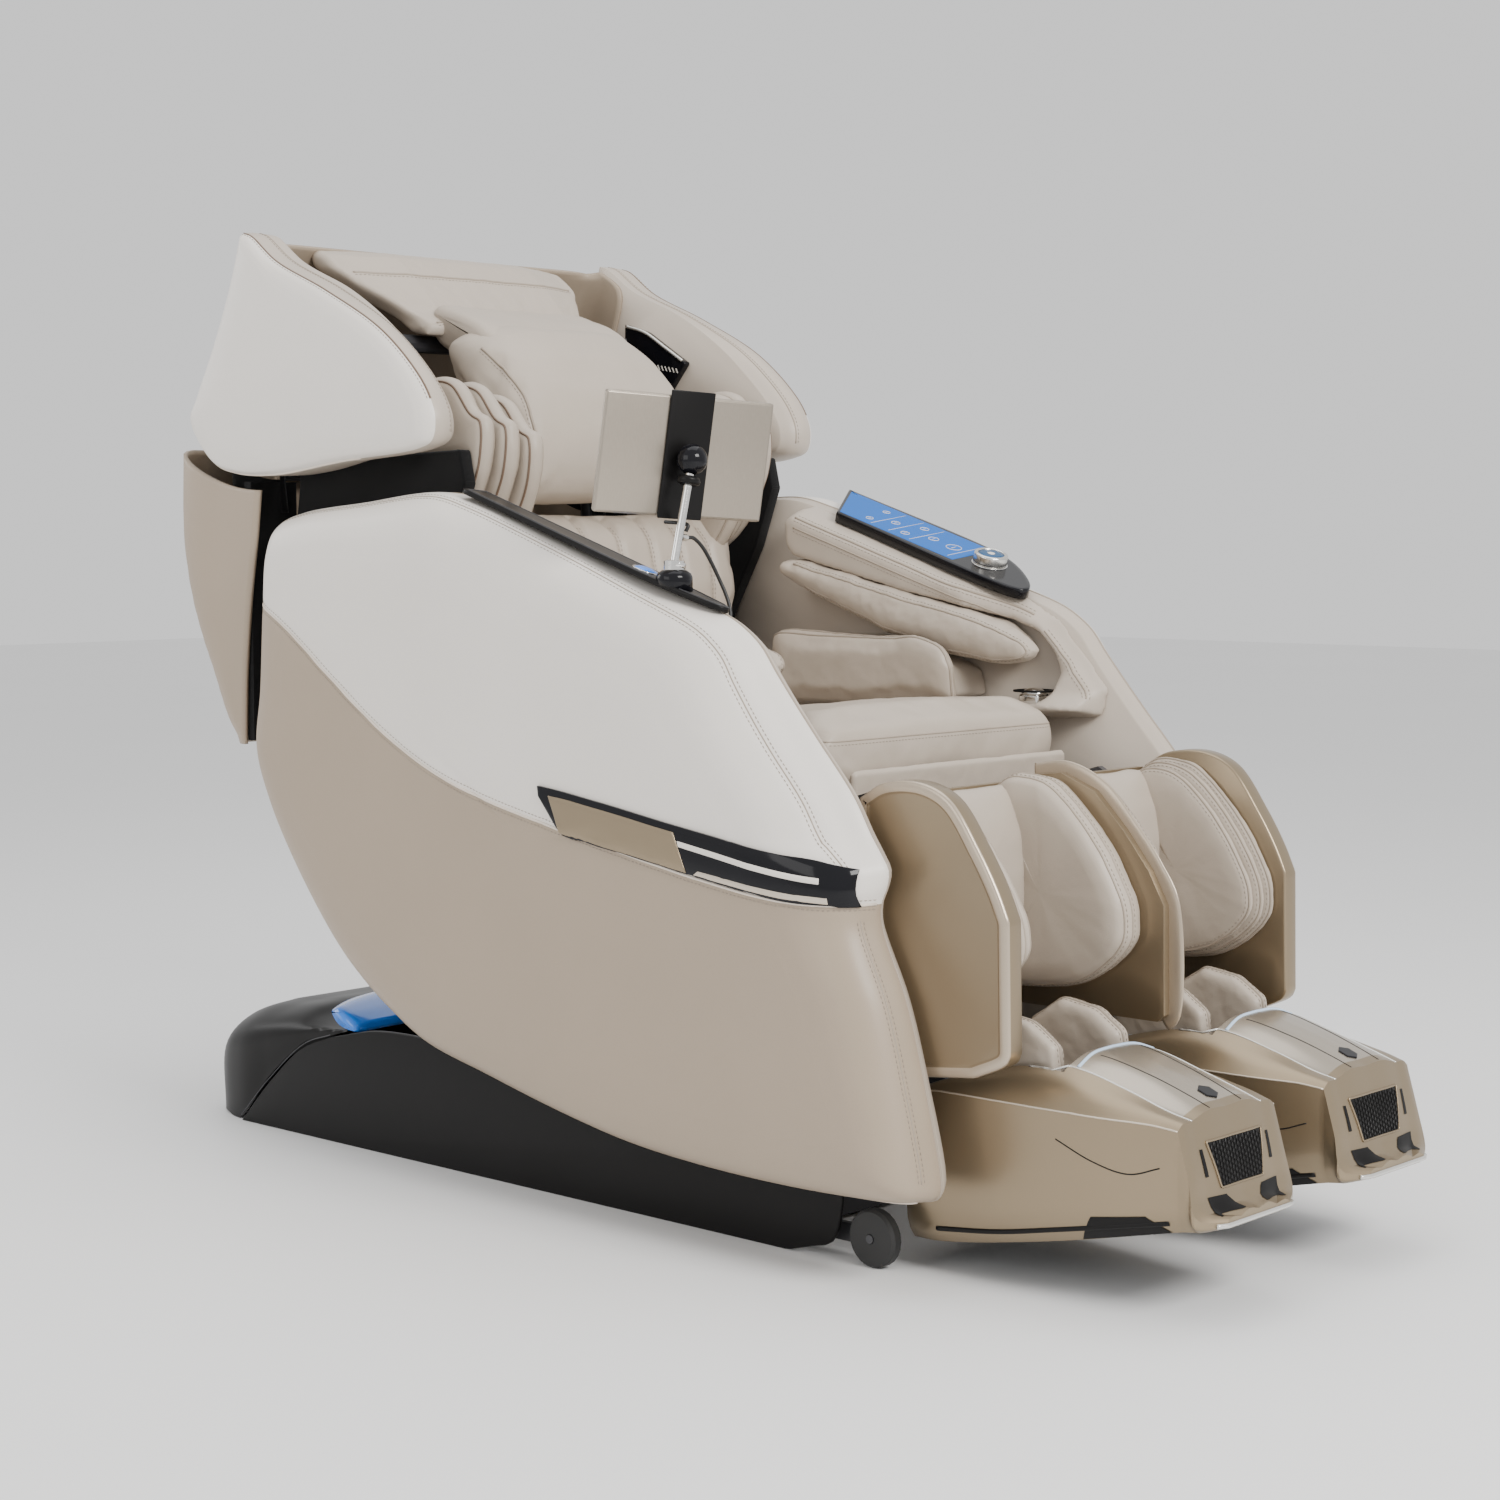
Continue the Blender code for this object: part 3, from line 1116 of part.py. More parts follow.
# ---------------------------------------------------------------- roller carriage
def roller_carriage():
    c = CARRIER
    turn = Matrix.Rotation(-math.atan2(ROLLER_DIR.y, ROLLER_DIR.z), 4, "X")

    def placed(mesh):
        mesh.transform(Matrix.Translation(c) @ turn)
        return mesh

    obj = add("roller_carriage", placed(box_mesh((-0.175, -0.016, -0.030), (0.175, 0.016, 0.030))), "rollers_carrier", (0.2, 0.2, 0.21), 0.5, 0.6)
    more = []
    for s in (-1, 1):
        xa, xb = sorted((s * 0.072, s * 0.080))
        more.append(placed(box_mesh((xa, -0.078, -0.016), (xb, -0.010, 0.016))))
    more.append(placed(rod_mesh((0.0, 0.030, -0.022), (0.0, 0.030, 0.022), 0.020, 14)))
    join(obj, *[add(f"carrier_piece_{n}", m, "", None, cutter=True) for n, m in enumerate(more)])
    holes = [placed(rod_mesh((s * RAIL_X, 0, -0.05), (s * RAIL_X, 0, 0.05), 0.0085, 14)) for s in (-1, 1)]
    r = ROLLER_AXIS
    holes.append(rod_mesh((-0.1, r.y, r.z), (0.1, r.y, r.z), 0.0068, 14))
    cut(obj, *[add(f"carrier_hole_{n}", m, "", None, cutter=True) for n, m in enumerate(holes)])
    profile = [
        (0.0, 0.120), (0.020, 0.119), (0.027, 0.112), (0.028, 0.103), (0.027, 0.094), (0.020, 0.087), (0.006, 0.085),
        (0.006, 0.067), (0.020, 0.065), (0.027, 0.058), (0.028, 0.049), (0.027, 0.040), (0.020, 0.033), (0.006, 0.031),
    ]
    profile = profile + [(rr, -h) for rr, h in reversed(profile)]
    mesh = turned_mesh(profile, (r.x, r.y, r.z), "X", 16)
    smooth(add("massage_rollers", mesh, "roller_pivot", (0.35, 0.33, 0.30), 0.5))


roller_carriage()


# ---------------------------------------------------------------- leg rest
def leg_frame():
    back = plate_mesh(side([(-0.6035, 0.520), (-0.6035, 0.262), (-0.612, 0.262), (-0.612, 0.520)]), -0.2605, 0.2605)
    obj = add("leg_frame", back, "leg", CHAMPAGNE, 0.35, 0.7)
    divider = plate_mesh(
        side([(-0.608, 0.514), (-0.640, 0.530), (-0.684, 0.535), (-0.730, 0.517), (-0.772, 0.474), (-0.806, 0.432),
              (-0.827, 0.394), (-0.829, 0.270), (-0.820, 0.262), (-0.608, 0.262)]),
        -0.0130, 0.0130,
    )
    more = [divider]
    holes = []
    for s in (-1, 1):
        xa, xb = sorted((s * 0.2040, s * 0.2145))
        more.append(
            plate_mesh(side([(-0.606, 0.470), (-0.575, 0.4735), (-0.5595, 0.480), (-0.5540, 0.495), (-0.5595, 0.510), (-0.575, 0.5165), (-0.606, 0.518)]), xa, xb)
        )
        holes.append(rod_mesh(at3(s * 0.1950, LEG_AXIS), at3(s * 0.2200, LEG_AXIS), 0.0092, 16))
        more.append(rod_mesh((s * 0.100, datum(-0.6320), 0.275), (s * 0.100, datum(-0.6320), 0.030), 0.007, 12))
        xa, xb = sorted((s * 0.090, s * 0.110))
        more.append(box_mesh((xa, datum(-0.645), 0.2625), (xb, datum(-0.605), 0.2830)))
    join(obj, *[add(f"leg_piece_{n}", m, "", None, cutter=True) for n, m in enumerate(more)])
    cut(obj, *[add(f"leg_hole_{n}", m, "", None, cutter=True) for n, m in enumerate(holes)])


leg_frame()

CALF_SHELL = side(
    [(-0.612, 0.522), (-0.646, 0.540), (-0.698, 0.543), (-0.737, 0.527), (-0.776, 0.477), (-0.801, 0.436),
     (-0.816, 0.404), (-0.819, 0.262), (-0.814, 0.252), (-0.772, 0.232), (-0.703, 0.224), (-0.612, 0.224)]
)
shell = loft_mesh(
    [[(x, y, z) for y, z in inset(CALF_SHELL, d)] for x, d in ((0.2620, 0.0), (0.2820, 0.0), (CALF_HALF, 0.005))]
)
for made in both("calf_shell", shell, "leg", CHAMPAGNE, 0.35, 0.7):
    smooth(made, 50)


def calf_pads():
    """Each pad lines a calf channel: two cheeks joined across the back, open at the front."""
    cheek = side(
        [(-0.6125, 0.514), (-0.642, 0.533), (-0.690, 0.529), (-0.740, 0.490), (-0.786, 0.428), (-0.804, 0.385),
         (-0.800, 0.350), (-0.740, 0.302), (-0.6125, 0.285)]
    )
    back = side([(-0.6125, 0.513), (-0.636, 0.520), (-0.660, 0.480), (-0.668, 0.390), (-0.655, 0.290), (-0.6125, 0.286)])
    outer = loft_mesh([[(x, y, z) for y, z in inset(cheek, d)] for x, d in ((0.2140, 0.012), (0.2190, 0.003), (0.2610, 0.0))])
    inner = loft_mesh([[(x, y, z) for y, z in inset(cheek, d)] for x, d in ((0.0135, 0.0), (0.0560, 0.003), (0.0620, 0.012))])
    across = plate_mesh(back, 0.0300, 0.2450)
    for name, s in (("calf_pad_left", 1), ("calf_pad_right", -1)):
        meshes = [m.copy() for m in (outer, inner, across)]
        if s < 0:
            meshes = [mirrored(m) for m in meshes]
        obj = add(name, meshes[0], "leg", BEIGE, 0.5)
        join(obj, *[add(f"{name}_piece_{n}", m, "", None, cutter=True) for n, m in enumerate(meshes[1:])])
        smooth(obj, 50)


calf_pads()

# ---------------------------------------------------------------- foot pods
# (y, half width, bottom z, side crease z, hood edge half width, hood edge z, top z)
POD = [
    (-0.650, 0.104, 0.030, 0.175, 0.080, 0.176, 0.177),
    (-0.690, 0.117, 0.034, 0.204, 0.090, 0.212, 0.214),
    (-0.740, 0.118, 0.041, 0.206, 0.080, 0.228, 0.236),
    (-0.800, 0.118, 0.052, 0.206, 0.074, 0.245, 0.254),
    (-0.860, 0.116, 0.064, 0.206, 0.072, 0.244, 0.256),
    (-0.920, 0.110, 0.077, 0.205, 0.070, 0.229, 0.243),
    (-0.970, 0.099, 0.088, 0.204, 0.070, 0.214, 0.225),
    (-0.996, 0.0925, 0.093, 0.200, 0.066, 0.207, 0.213),
    (-1.010, 0.0925, 0.095, 0.152, 0.066, 0.158, 0.163),
    (-1.021, 0.0925, 0.097, 0.112, 0.060, 0.116, 0.119),
    (-1.037, 0.060, 0.100, 0.107, 0.034, 0.109, 0.111),
]


def foot_pods():
    rings = []
    for y, w, low, crease, hood_w, hood_z, top in POD:
        half = [(0.0, top), (hood_w * 0.55, (top + hood_z) / 2 + 0.004), (hood_w, hood_z), (w, crease), (w, low + (crease - low) * 0.5), (w * 0.97, low + min(0.018, (crease - low) * 0.25)), (w * 0.86, low)]
        ring = half + [(-x, z) for x, z in reversed(half[1:])]
        rings.append([(POD_X + x, datum(y), z) for x, z in ring])
    body = loft_mesh(rings)
    # the room for a foot, from the heel to under the hood, open upwards at the ankle
    room = loft_mesh(
        [
            [(POD_X + x, datum(y), z + dz) for x, z in ((-w, low), (w, low), (w, high), (-w, high))]
            for y, w, low, high, dz in ((-0.672, 0.068, 0.075, 0.30, 0), (-0.700, 0.080, 0.072, 0.30, 0), (-0.845, 0.082, 0.082, 0.30, 0), (-0.8452, 0.074, 0.083, 0.212, 0), (-0.940, 0.068, 0.098, 0.196, 0), (-0.965, 0.050, 0.106, 0.180, 0))
        ]
    )
    bore = rod_mesh((0.100, datum(-0.6320), 0.020), (0.100, datum(-0.6320), 0.330), 0.0085, 12)
    lug = box_mesh((0.086, datum(-0.6520), 0.118), (0.114, datum(-0.6200), 0.160))
    for name, s in (("foot_pod_left", 1), ("foot_pod_right", -1)):
        meshes = [m.copy() for m in (body, room, lug, bore)]
        if s < 0:
            meshes = [mirrored(m) for m in meshes]
        obj = add(name, meshes[0], "foot", CHAMPAGNE, 0.3, 0.7)
        cut(obj, add(name + "_room", meshes[1], "", None, cutter=True))
        made = obj.modifiers.new("lug", "BOOLEAN")
        made.operation = "UNION"
        made.object = add(name + "_lug", meshes[2], "", None, cutter=True)
        made = obj.modifiers.new("bore", "BOOLEAN")
        made.operation = "DIFFERENCE"
        made.object = add(name + "_bore", meshes[3], "", None, cutter=True)
        smooth(obj, 30)


foot_pods()


def ankle_pads():
    """A heel pad in each pod's rear, and its two cheeks beside the ankle."""
    heel = plate_mesh(side([(-0.6740, 0.1530), (-0.6740, 0.250), (-0.690, 0.262), (-0.709, 0.250), (-0.7090, 0.1530)]), POD_X - 0.0610, POD_X + 0.0610)
    cheek = side([(-0.700, 0.150), (-0.700, 0.262), (-0.745, 0.292), (-0.790, 0.285), (-0.825, 0.262), (-0.8280, 0.232), (-0.815, 0.150)])
    outer = loft_mesh([[(x, y, z) for y, z in inset(cheek, d)] for x, d in ((POD_X + 0.0450, 0.010), (POD_X + 0.0500, 0.002), (POD_X + 0.0660, 0.0), (POD_X + 0.0735, 0.004))])
    inner = loft_mesh([[(x, y, z) for y, z in inset(cheek, d)] for x, d in ((POD_X - 0.0735, 0.004), (POD_X - 0.0660, 0.0), (POD_X - 0.0500, 0.002), (POD_X - 0.0450, 0.010))])
    for name, s in (("ankle_pad_left", 1), ("ankle_pad_right", -1)):
        meshes = [m.copy() for m in (heel, outer, inner)]
        if s < 0:
            meshes = [mirrored(m) for m in meshes]
        obj = add(name, meshes[0], "foot", BEIGE, 0.5)
        join(obj, *[add(f"{name}_piece_{n}", m, "", None, cutter=True) for n, m in enumerate(meshes[1:])])
        smooth(obj, 50)


ankle_pads()

bpy.context.view_layer.update()
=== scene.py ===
import json
import math

import bmesh
import bpy
import numpy as np
from mathutils import Matrix, Vector, noise
from mathutils.bvhtree import BVHTree

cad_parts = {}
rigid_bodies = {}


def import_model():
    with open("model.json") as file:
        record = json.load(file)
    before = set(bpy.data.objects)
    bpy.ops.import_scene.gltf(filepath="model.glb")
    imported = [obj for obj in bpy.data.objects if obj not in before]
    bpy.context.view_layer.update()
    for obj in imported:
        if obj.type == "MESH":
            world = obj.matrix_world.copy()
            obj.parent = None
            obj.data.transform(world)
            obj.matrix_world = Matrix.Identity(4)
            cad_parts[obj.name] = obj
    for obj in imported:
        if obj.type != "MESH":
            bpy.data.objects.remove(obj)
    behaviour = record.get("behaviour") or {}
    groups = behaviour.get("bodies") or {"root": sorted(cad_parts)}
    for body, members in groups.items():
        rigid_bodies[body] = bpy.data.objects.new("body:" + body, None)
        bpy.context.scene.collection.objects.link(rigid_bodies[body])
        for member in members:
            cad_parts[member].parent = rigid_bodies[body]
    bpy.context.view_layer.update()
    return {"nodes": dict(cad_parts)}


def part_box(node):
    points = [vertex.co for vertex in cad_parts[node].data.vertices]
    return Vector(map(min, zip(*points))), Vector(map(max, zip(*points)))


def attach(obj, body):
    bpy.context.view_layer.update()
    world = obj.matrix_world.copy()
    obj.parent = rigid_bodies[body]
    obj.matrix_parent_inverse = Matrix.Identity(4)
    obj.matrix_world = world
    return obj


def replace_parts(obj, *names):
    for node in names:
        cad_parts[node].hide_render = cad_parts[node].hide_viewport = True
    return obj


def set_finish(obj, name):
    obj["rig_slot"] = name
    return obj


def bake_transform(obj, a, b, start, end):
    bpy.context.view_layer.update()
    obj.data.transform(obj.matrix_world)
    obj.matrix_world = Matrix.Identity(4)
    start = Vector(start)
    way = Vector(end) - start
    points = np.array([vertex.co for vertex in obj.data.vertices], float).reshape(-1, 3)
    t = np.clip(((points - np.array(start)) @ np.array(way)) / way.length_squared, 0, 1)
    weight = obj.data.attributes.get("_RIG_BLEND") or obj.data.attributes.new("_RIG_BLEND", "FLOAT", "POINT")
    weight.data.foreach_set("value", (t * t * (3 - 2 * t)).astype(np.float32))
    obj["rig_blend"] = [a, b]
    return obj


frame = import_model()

SHIFT = 0.2155  # side profiles are drawn from this datum, as the frame's are
SCENE = bpy.context.scene


def D(y):
    return y + SHIFT


# ---------------------------------------------------------------- camera
camera_data = bpy.data.cameras.new("camera")
camera_data.lens = 65.676
camera_data.sensor_width = 36.0
camera_data.clip_start = 0.05
camera = bpy.data.objects.new("camera", camera_data)
SCENE.collection.objects.link(camera)
camera.location = (-2.56959, -2.52911 + SHIFT, 0.81908)
camera.rotation_euler = (math.radians(85.294), 0.0, math.radians(-47.679))
SCENE.camera = camera
CAM = Matrix.Translation(camera.location) @ camera.rotation_euler.to_matrix().to_4x4()


def ray(px, py):
    """The line of sight through a point of the 1500 x 1500 photograph."""
    d = Vector(((px - 750.0) / 2736.51, -(py - 750.0) / 2736.51, -1.0))
    return CAM.translation.copy(), (CAM.to_3x3() @ d).normalized()


# ---------------------------------------------------------------- curves and meshes
def spline(points, count, closed=False, sharp=()):
    """Evenly spaced points on a smooth curve through points."""
    pts = [np.array(p, float) for p in points]
    n = len(pts)
    fine = []
    for i in range(n if closed else n - 1):
        p1, p2 = pts[i], pts[(i + 1) % n]
        p0 = pts[(i - 1) % n] if closed or i > 0 else p1 * 2 - p2
        p3 = pts[(i + 2) % n] if closed or i + 2 < n else p2 * 2 - p1
        if i in sharp:
            p0 = p1 * 2 - p2
        if (i + 1) % n in sharp:
            p3 = p2 * 2 - p1
        d0, d1, d2 = (max(np.linalg.norm(b - a), 1e-6) ** 0.5 for a, b in ((p0, p1), (p1, p2), (p2, p3)))
        m1 = ((p1 - p0) / d0 - (p2 - p0) / (d0 + d1) + (p2 - p1) / d1) * d1
        m2 = ((p2 - p1) / d1 - (p3 - p1) / (d1 + d2) + (p3 - p2) / d2) * d1
        for k in range(16):
            t = k / 16
            fine.append(
                p1 * (2 * t**3 - 3 * t**2 + 1) + m1 * (t**3 - 2 * t**2 + t) + p2 * (-2 * t**3 + 3 * t**2) + m2 * (t**3 - t**2)
            )
    fine.append(pts[0] if closed else pts[-1])
    fine = np.array(fine)
    lengths = np.concatenate([[0.0], np.cumsum(np.linalg.norm(np.diff(fine, axis=0), axis=1))])
    want = np.linspace(0, lengths[-1], count + (1 if closed else 0))[:count]
    out = np.stack([np.interp(want, lengths, fine[:, k]) for k in range(fine.shape[1])], axis=1)
    return [tuple(float(v) for v in p) for p in out]


def inset(outline, distance):
    area = sum(a[0] * b[1] - b[0] * a[1] for a, b in zip(outline, outline[1:] + outline[:1]))
    turn = 1.0 if area > 0 else -1.0
    moved = []
    n = len(outline)
    for i, (y, z) in enumerate(outline):
        before, after, here = Vector(outline[i - 1]), Vector(outline[(i + 1) % n]), Vector((y, z))
        d1, d2 = (here - before), (after - here)
        d1, d2 = d1 / max(d1.length, 1e-9), d2 / max(d2.length, 1e-9)
        n1, n2 = Vector((-d1.y, d1.x)) * turn, Vector((-d2.y, d2.x)) * turn
        mid = (n1 + n2).normalized()
        moved.append(tuple(here + mid * (distance / max(0.5, mid.dot(n1)))))
    return moved


def new_object(name, verts, faces, material, body=None, smooth=True):
    mesh = bpy.data.meshes.new(name)
    mesh.from_pydata([tuple(v) for v in verts], [], faces)
    bm = bmesh.new()
    bm.from_mesh(mesh)
    bmesh.ops.recalc_face_normals(bm, faces=bm.faces)
    bm.to_mesh(mesh)
    bm.free()
    if smooth:
        mesh.shade_smooth()
    if material:
        mesh.materials.append(material)
    obj = bpy.data.objects.new(name, mesh)
    SCENE.collection.objects.link(obj)
    if body:
        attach(obj, body)
    return obj


def loft_data(rings, caps=(True, True), closed=True):
    verts, faces = [], []
    count = len(rings[0])
    for ring in rings:
        verts.extend(ring)
    for r in range(len(rings) - 1):
        for i in range(count if closed else count - 1):
            j = (i + 1) % count
            faces.append((r * count + i, r * count + j, (r + 1) * count + j, (r + 1) * count + i))
    if caps[0]:
        faces.append(tuple(range(count))[::-1])
    if caps[1]:
        faces.append(tuple((len(rings) - 1) * count + i for i in range(count)))
    return verts, faces


def loft(name, rings, material, body=None, caps=(True, True), closed=True, smooth=True):
    return new_object(name, *loft_data(rings, caps, closed), material, body, smooth)


def coords(obj):
    out = np.empty(len(obj.data.vertices) * 3, np.float64)
    obj.data.vertices.foreach_get("co", out)
    return out.reshape(-1, 3)


def put_coords(obj, co):
    obj.data.vertices.foreach_set("co", np.asarray(co, np.float32).ravel())
    obj.data.update()


def normals(obj):
    out = np.empty(len(obj.data.vertices) * 3, np.float64)
    obj.data.vertices.foreach_get("normal", out)
    return out.reshape(-1, 3)


def attribute(obj, name, values):
    made = obj.data.attributes.get(name) or obj.data.attributes.new(name, "FLOAT", "POINT")
    made.data.foreach_set("value", np.asarray(values, np.float32))


def apply_modifiers(obj):
    bpy.context.view_layer.update()
    graph = bpy.context.evaluated_depsgraph_get()
    mesh = bpy.data.meshes.new_from_object(obj.evaluated_get(graph), depsgraph=graph)
    old = obj.data
    obj.modifiers.clear()
    obj.data = mesh
    mesh.name = obj.name
    if old.users == 0:
        bpy.data.meshes.remove(old)
    return obj


def modifier(obj, kind, **settings):
    made = obj.modifiers.new(kind.lower(), kind)
    for key, value in settings.items():
        setattr(made, key, value)
    return made


def bevelled(obj, width, segments=3, angle=30):
    modifier(obj, "BEVEL", width=width, segments=segments, limit_method="ANGLE", angle_limit=math.radians(angle), harden_normals=False)
    apply_modifiers(obj)
    return obj


def mirror(obj, name, body=None):
    """A copy on the other side of the chair's middle plane."""
    other = obj.copy()
    other.data = obj.data.copy()
    other.name = name
    other.data.name = name
    SCENE.collection.objects.link(other)
    other.parent = None
    other.matrix_world = Matrix.Identity(4)
    co = coords(other)
    co[:, 0] *= -1
    put_coords(other, co)
    other.data.flip_normals()
    if body:
        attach(other, body)
    return other


def pair(obj, base, body, nodes=()):
    """obj is the left one; makes the right one and lets both ride. body is one name or (left, right)."""
    bodies = (body, body) if isinstance(body, str) else body
    obj.name = base + "_l"
    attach(obj, bodies[0])
    other = mirror(obj, base + "_r", bodies[1])
    for node in nodes:
        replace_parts(obj, node + "_left")
        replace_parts(other, node + "_right")
    return obj, other


def tree_of(*objs):
    bm = bmesh.new()
    for obj in objs:
        bm.from_mesh(obj.data)
    tree = BVHTree.FromBMesh(bm)
    bm.free()
    return tree


def join_data(parts):
    verts, faces = [], []
    for v, f in parts:
        base = len(verts)
        verts.extend(v)
        faces.extend(tuple(i + base for i in face) for face in f)
    return verts, faces


def tube_data(points, r, sides=8, closed=False, flat=1.0, up=None):
    """A tube along points; flat squeezes it along the direction up."""
    pts = [Vector(p) for p in points]
    n = len(pts)
    verts, faces = [], []
    ref = Vector(up) if up is not None else Vector((0.31, 0.17, 0.93))
    last = None
    for i, p in enumerate(pts):
        a = pts[(i - 1) % n] if closed or i > 0 else p
        b = pts[(i + 1) % n] if closed or i < n - 1 else p
        t = (b - a).normalized()
        if last is None:
            side = t.cross(ref)
            side = side.normalized() if side.length > 1e-6 else t.orthogonal().normalized()
        else:
            side = last - t * last.dot(t)
            side = side.normalized() if side.length > 1e-6 else t.orthogonal().normalized()
        if up is not None:
            side = t.cross(ref).normalized()
        last = side
        other = t.cross(side).normalized()
        radius = r(i / (n - 1)) if callable(r) else r
        for k in range(sides):
            w = math.tau * k / sides
            verts.append(tuple(p + side * (radius * math.cos(w)) + other * (radius * flat * math.sin(w))))
    rows = n if closed else n - 1
    for i in range(rows):
        for k in range(sides):
            j, l = (i + 1) % n, (k + 1) % sides
            faces.append((i * sides + k, i * sides + l, j * sides + l, j * sides + k))
    if not closed:
        faces.append(tuple(range(sides))[::-1])
        faces.append(tuple((n - 1) * sides + k for k in range(sides)))
    return verts, faces


def tube(name, points, r, material, body=None, sides=8, closed=False, flat=1.0, up=None):
    return new_object(name, *tube_data(points, r, sides, closed, flat, up), material, body)


def stitches_data(points, ups, pitch=0.0062, length=0.0042, r=0.00055, lift=0.0002):
    """Short threads lying along a path, each one a six-sided spindle."""
    pts = [Vector(p) for p in points]
    run = np.concatenate([[0.0], np.cumsum([(b - a).length for a, b in zip(pts, pts[1:])])])
    co = np.array([tuple(p) for p in pts])
    up = np.array([tuple(u) for u in ups])
    total = run[-1]
    verts, faces = [], []
    count = max(1, int(total / pitch))
    for s in range(count):
        mid = (s + 0.5) * total / count
        at = [np.array([np.interp(mid + d, run, co[:, k]) for k in range(3)]) for d in (-length / 2, 0.0, length / 2)]
        nrm = Vector([np.interp(mid, run, up[:, k]) for k in range(3)]).normalized()
        t = Vector(at[2] - at[0])
        if t.length < 1e-7:
            continue
        t.normalize()
        side = t.cross(nrm).normalized()
        base = len(verts)
        for q, (p, rad, up_by) in enumerate(((at[0], 0.35, -0.3), (at[1], 1.0, 0.5), (at[2], 0.35, -0.3))):
            c = Vector(p) + nrm * (lift + r * up_by)
            for k in range(5):
                w = math.tau * k / 5
                verts.append(tuple(c + side * (r * rad * math.cos(w)) + nrm * (r * rad * 0.8 * math.sin(w))))
        for q in range(2):
            for k in range(5):
                l = (k + 1) % 5
                faces.append((base + q * 5 + k, base + q * 5 + l, base + q * 5 + 5 + l, base + q * 5 + 5 + k))
        faces.append(tuple(base + k for k in range(5))[::-1])
        faces.append(tuple(base + 10 + k for k in range(5)))
    return verts, faces


def on_surface(tree, points, directions=None, far=0.6):
    """Each point moved to the nearest place on a surface, with the surface's normal there."""
    found, ups = [], []
    for i, p in enumerate(points):
        hit = tree.find_nearest(Vector(p))
        found.append(hit[0])
        ups.append(hit[1])
    return found, ups


def photo_points(tree, pixels, count=None):
    """Points of a surface that lie behind pixels of the photograph."""
    px = spline(pixels, count) if count else pixels
    out, ups = [], []
    for p in px:
        origin, direction = ray(*p[:2])
        hit = tree.ray_cast(origin, direction)
        if hit[0] is None:
            continue
        out.append(hit[0])
        ups.append(hit[1])
    return out, ups


def facing(ups, direction):
    d = Vector(direction)
    return [u if u.dot(d) > 0 else -u for u in ups]


def smoothstep(x):
    x = np.clip(x, 0, 1)
    return x * x * (3 - 2 * x)


def wrinkles(obj, depth, scale, stretch=(1, 1, 1), seed=0.0):
    co, nr = coords(obj), normals(obj)
    amount = np.array([noise.fractal(Vector((c[0] * scale * stretch[0] + seed, c[1] * scale * stretch[1], c[2] * scale * stretch[2])), 1.0, 2.0, 3) for c in co])
    put_coords(obj, co + nr * (amount * depth)[:, None])


def inflate(obj, voxel=0.006, pressure=4.0, cap=0.006, pins=None, frames=16, stiffness=12.0):
    """Blows a closed skin up a little as cloth under pressure; pins(co) is true where a seam holds it."""
    modifier(obj, "REMESH", mode="VOXEL", voxel_size=voxel, use_smooth_shade=True)
    apply_modifiers(obj)
    rest = coords(obj)
    cloth = modifier(obj, "CLOTH")
    s = cloth.settings
    s.quality = 4
    s.mass = 0.25
    s.use_pressure = True
    s.uniform_pressure_force = pressure
    s.tension_stiffness = s.compression_stiffness = stiffness
    s.shear_stiffness = 4.0
    s.bending_stiffness = 0.3
    s.effector_weights.gravity = 0.0
    cloth.collision_settings.use_collision = False
    if pins is not None:
        held = np.nonzero(pins(rest))[0]
        group = obj.vertex_groups.new(name="held")
        group.add([int(i) for i in held], 1.0, "REPLACE")
        s.vertex_group_mass = "held"
    for f in range(1, frames + 1):
        SCENE.frame_set(f)
    graph = bpy.context.evaluated_depsgraph_get()
    shell = obj.evaluated_get(graph).to_mesh()
    moved = np.empty(len(shell.vertices) * 3, np.float64)
    shell.vertices.foreach_get("co", moved)
    moved = moved.reshape(-1, 3)
    obj.evaluated_get(graph).to_mesh_clear()
    obj.modifiers.clear()
    obj.vertex_groups.clear()
    SCENE.frame_set(1)
    step = moved - rest
    size = np.linalg.norm(step, axis=1, keepdims=True)
    step *= np.minimum(1.0, cap / np.maximum(size, 1e-9))
    put_coords(obj, rest + step)
    modifier(obj, "SMOOTH", factor=0.5, iterations=2)
    modifier(obj, "SUBSURF", levels=1, render_levels=1)
    apply_modifiers(obj)
    obj.data.shade_smooth()
    return obj


# ---------------------------------------------------------------- materials
def make(name, rgb, rough=0.5, metal=0.0, spec=0.5, coat=0.0, coat_rough=0.1, sheen=0.0):
    m = bpy.data.materials.new(name)
    m.use_nodes = True
    b = m.node_tree.nodes["Principled BSDF"]
    b.inputs["Base Color"].default_value = (*rgb, 1.0)
    b.inputs["Roughness"].default_value = rough
    b.inputs["Metallic"].default_value = metal
    b.inputs["Specular IOR Level"].default_value = spec
    b.inputs["Coat Weight"].default_value = coat
    b.inputs["Coat Roughness"].default_value = coat_rough
    b.inputs["Sheen Weight"].default_value = sheen
    return m


def add_node(m, kind, **inputs):
    n = m.node_tree.nodes.new(kind)
    for key, value in inputs.items():
        if hasattr(n, key) and key not in [i.name for i in n.inputs]:
            setattr(n, key, value)
        else:
            n.inputs[key.replace("_", " ")].default_value = value
    return n


def link(m, a, b):
    m.node_tree.links.new(a, b)


def place(m, scale=(1, 1, 1)):
    tc = add_node(m, "ShaderNodeTexCoord")
    mp = add_node(m, "ShaderNodeMapping")
    mp.inputs["Scale"].default_value = scale
    link(m, tc.outputs["Object"], mp.inputs["Vector"])
    return mp.outputs["Vector"]


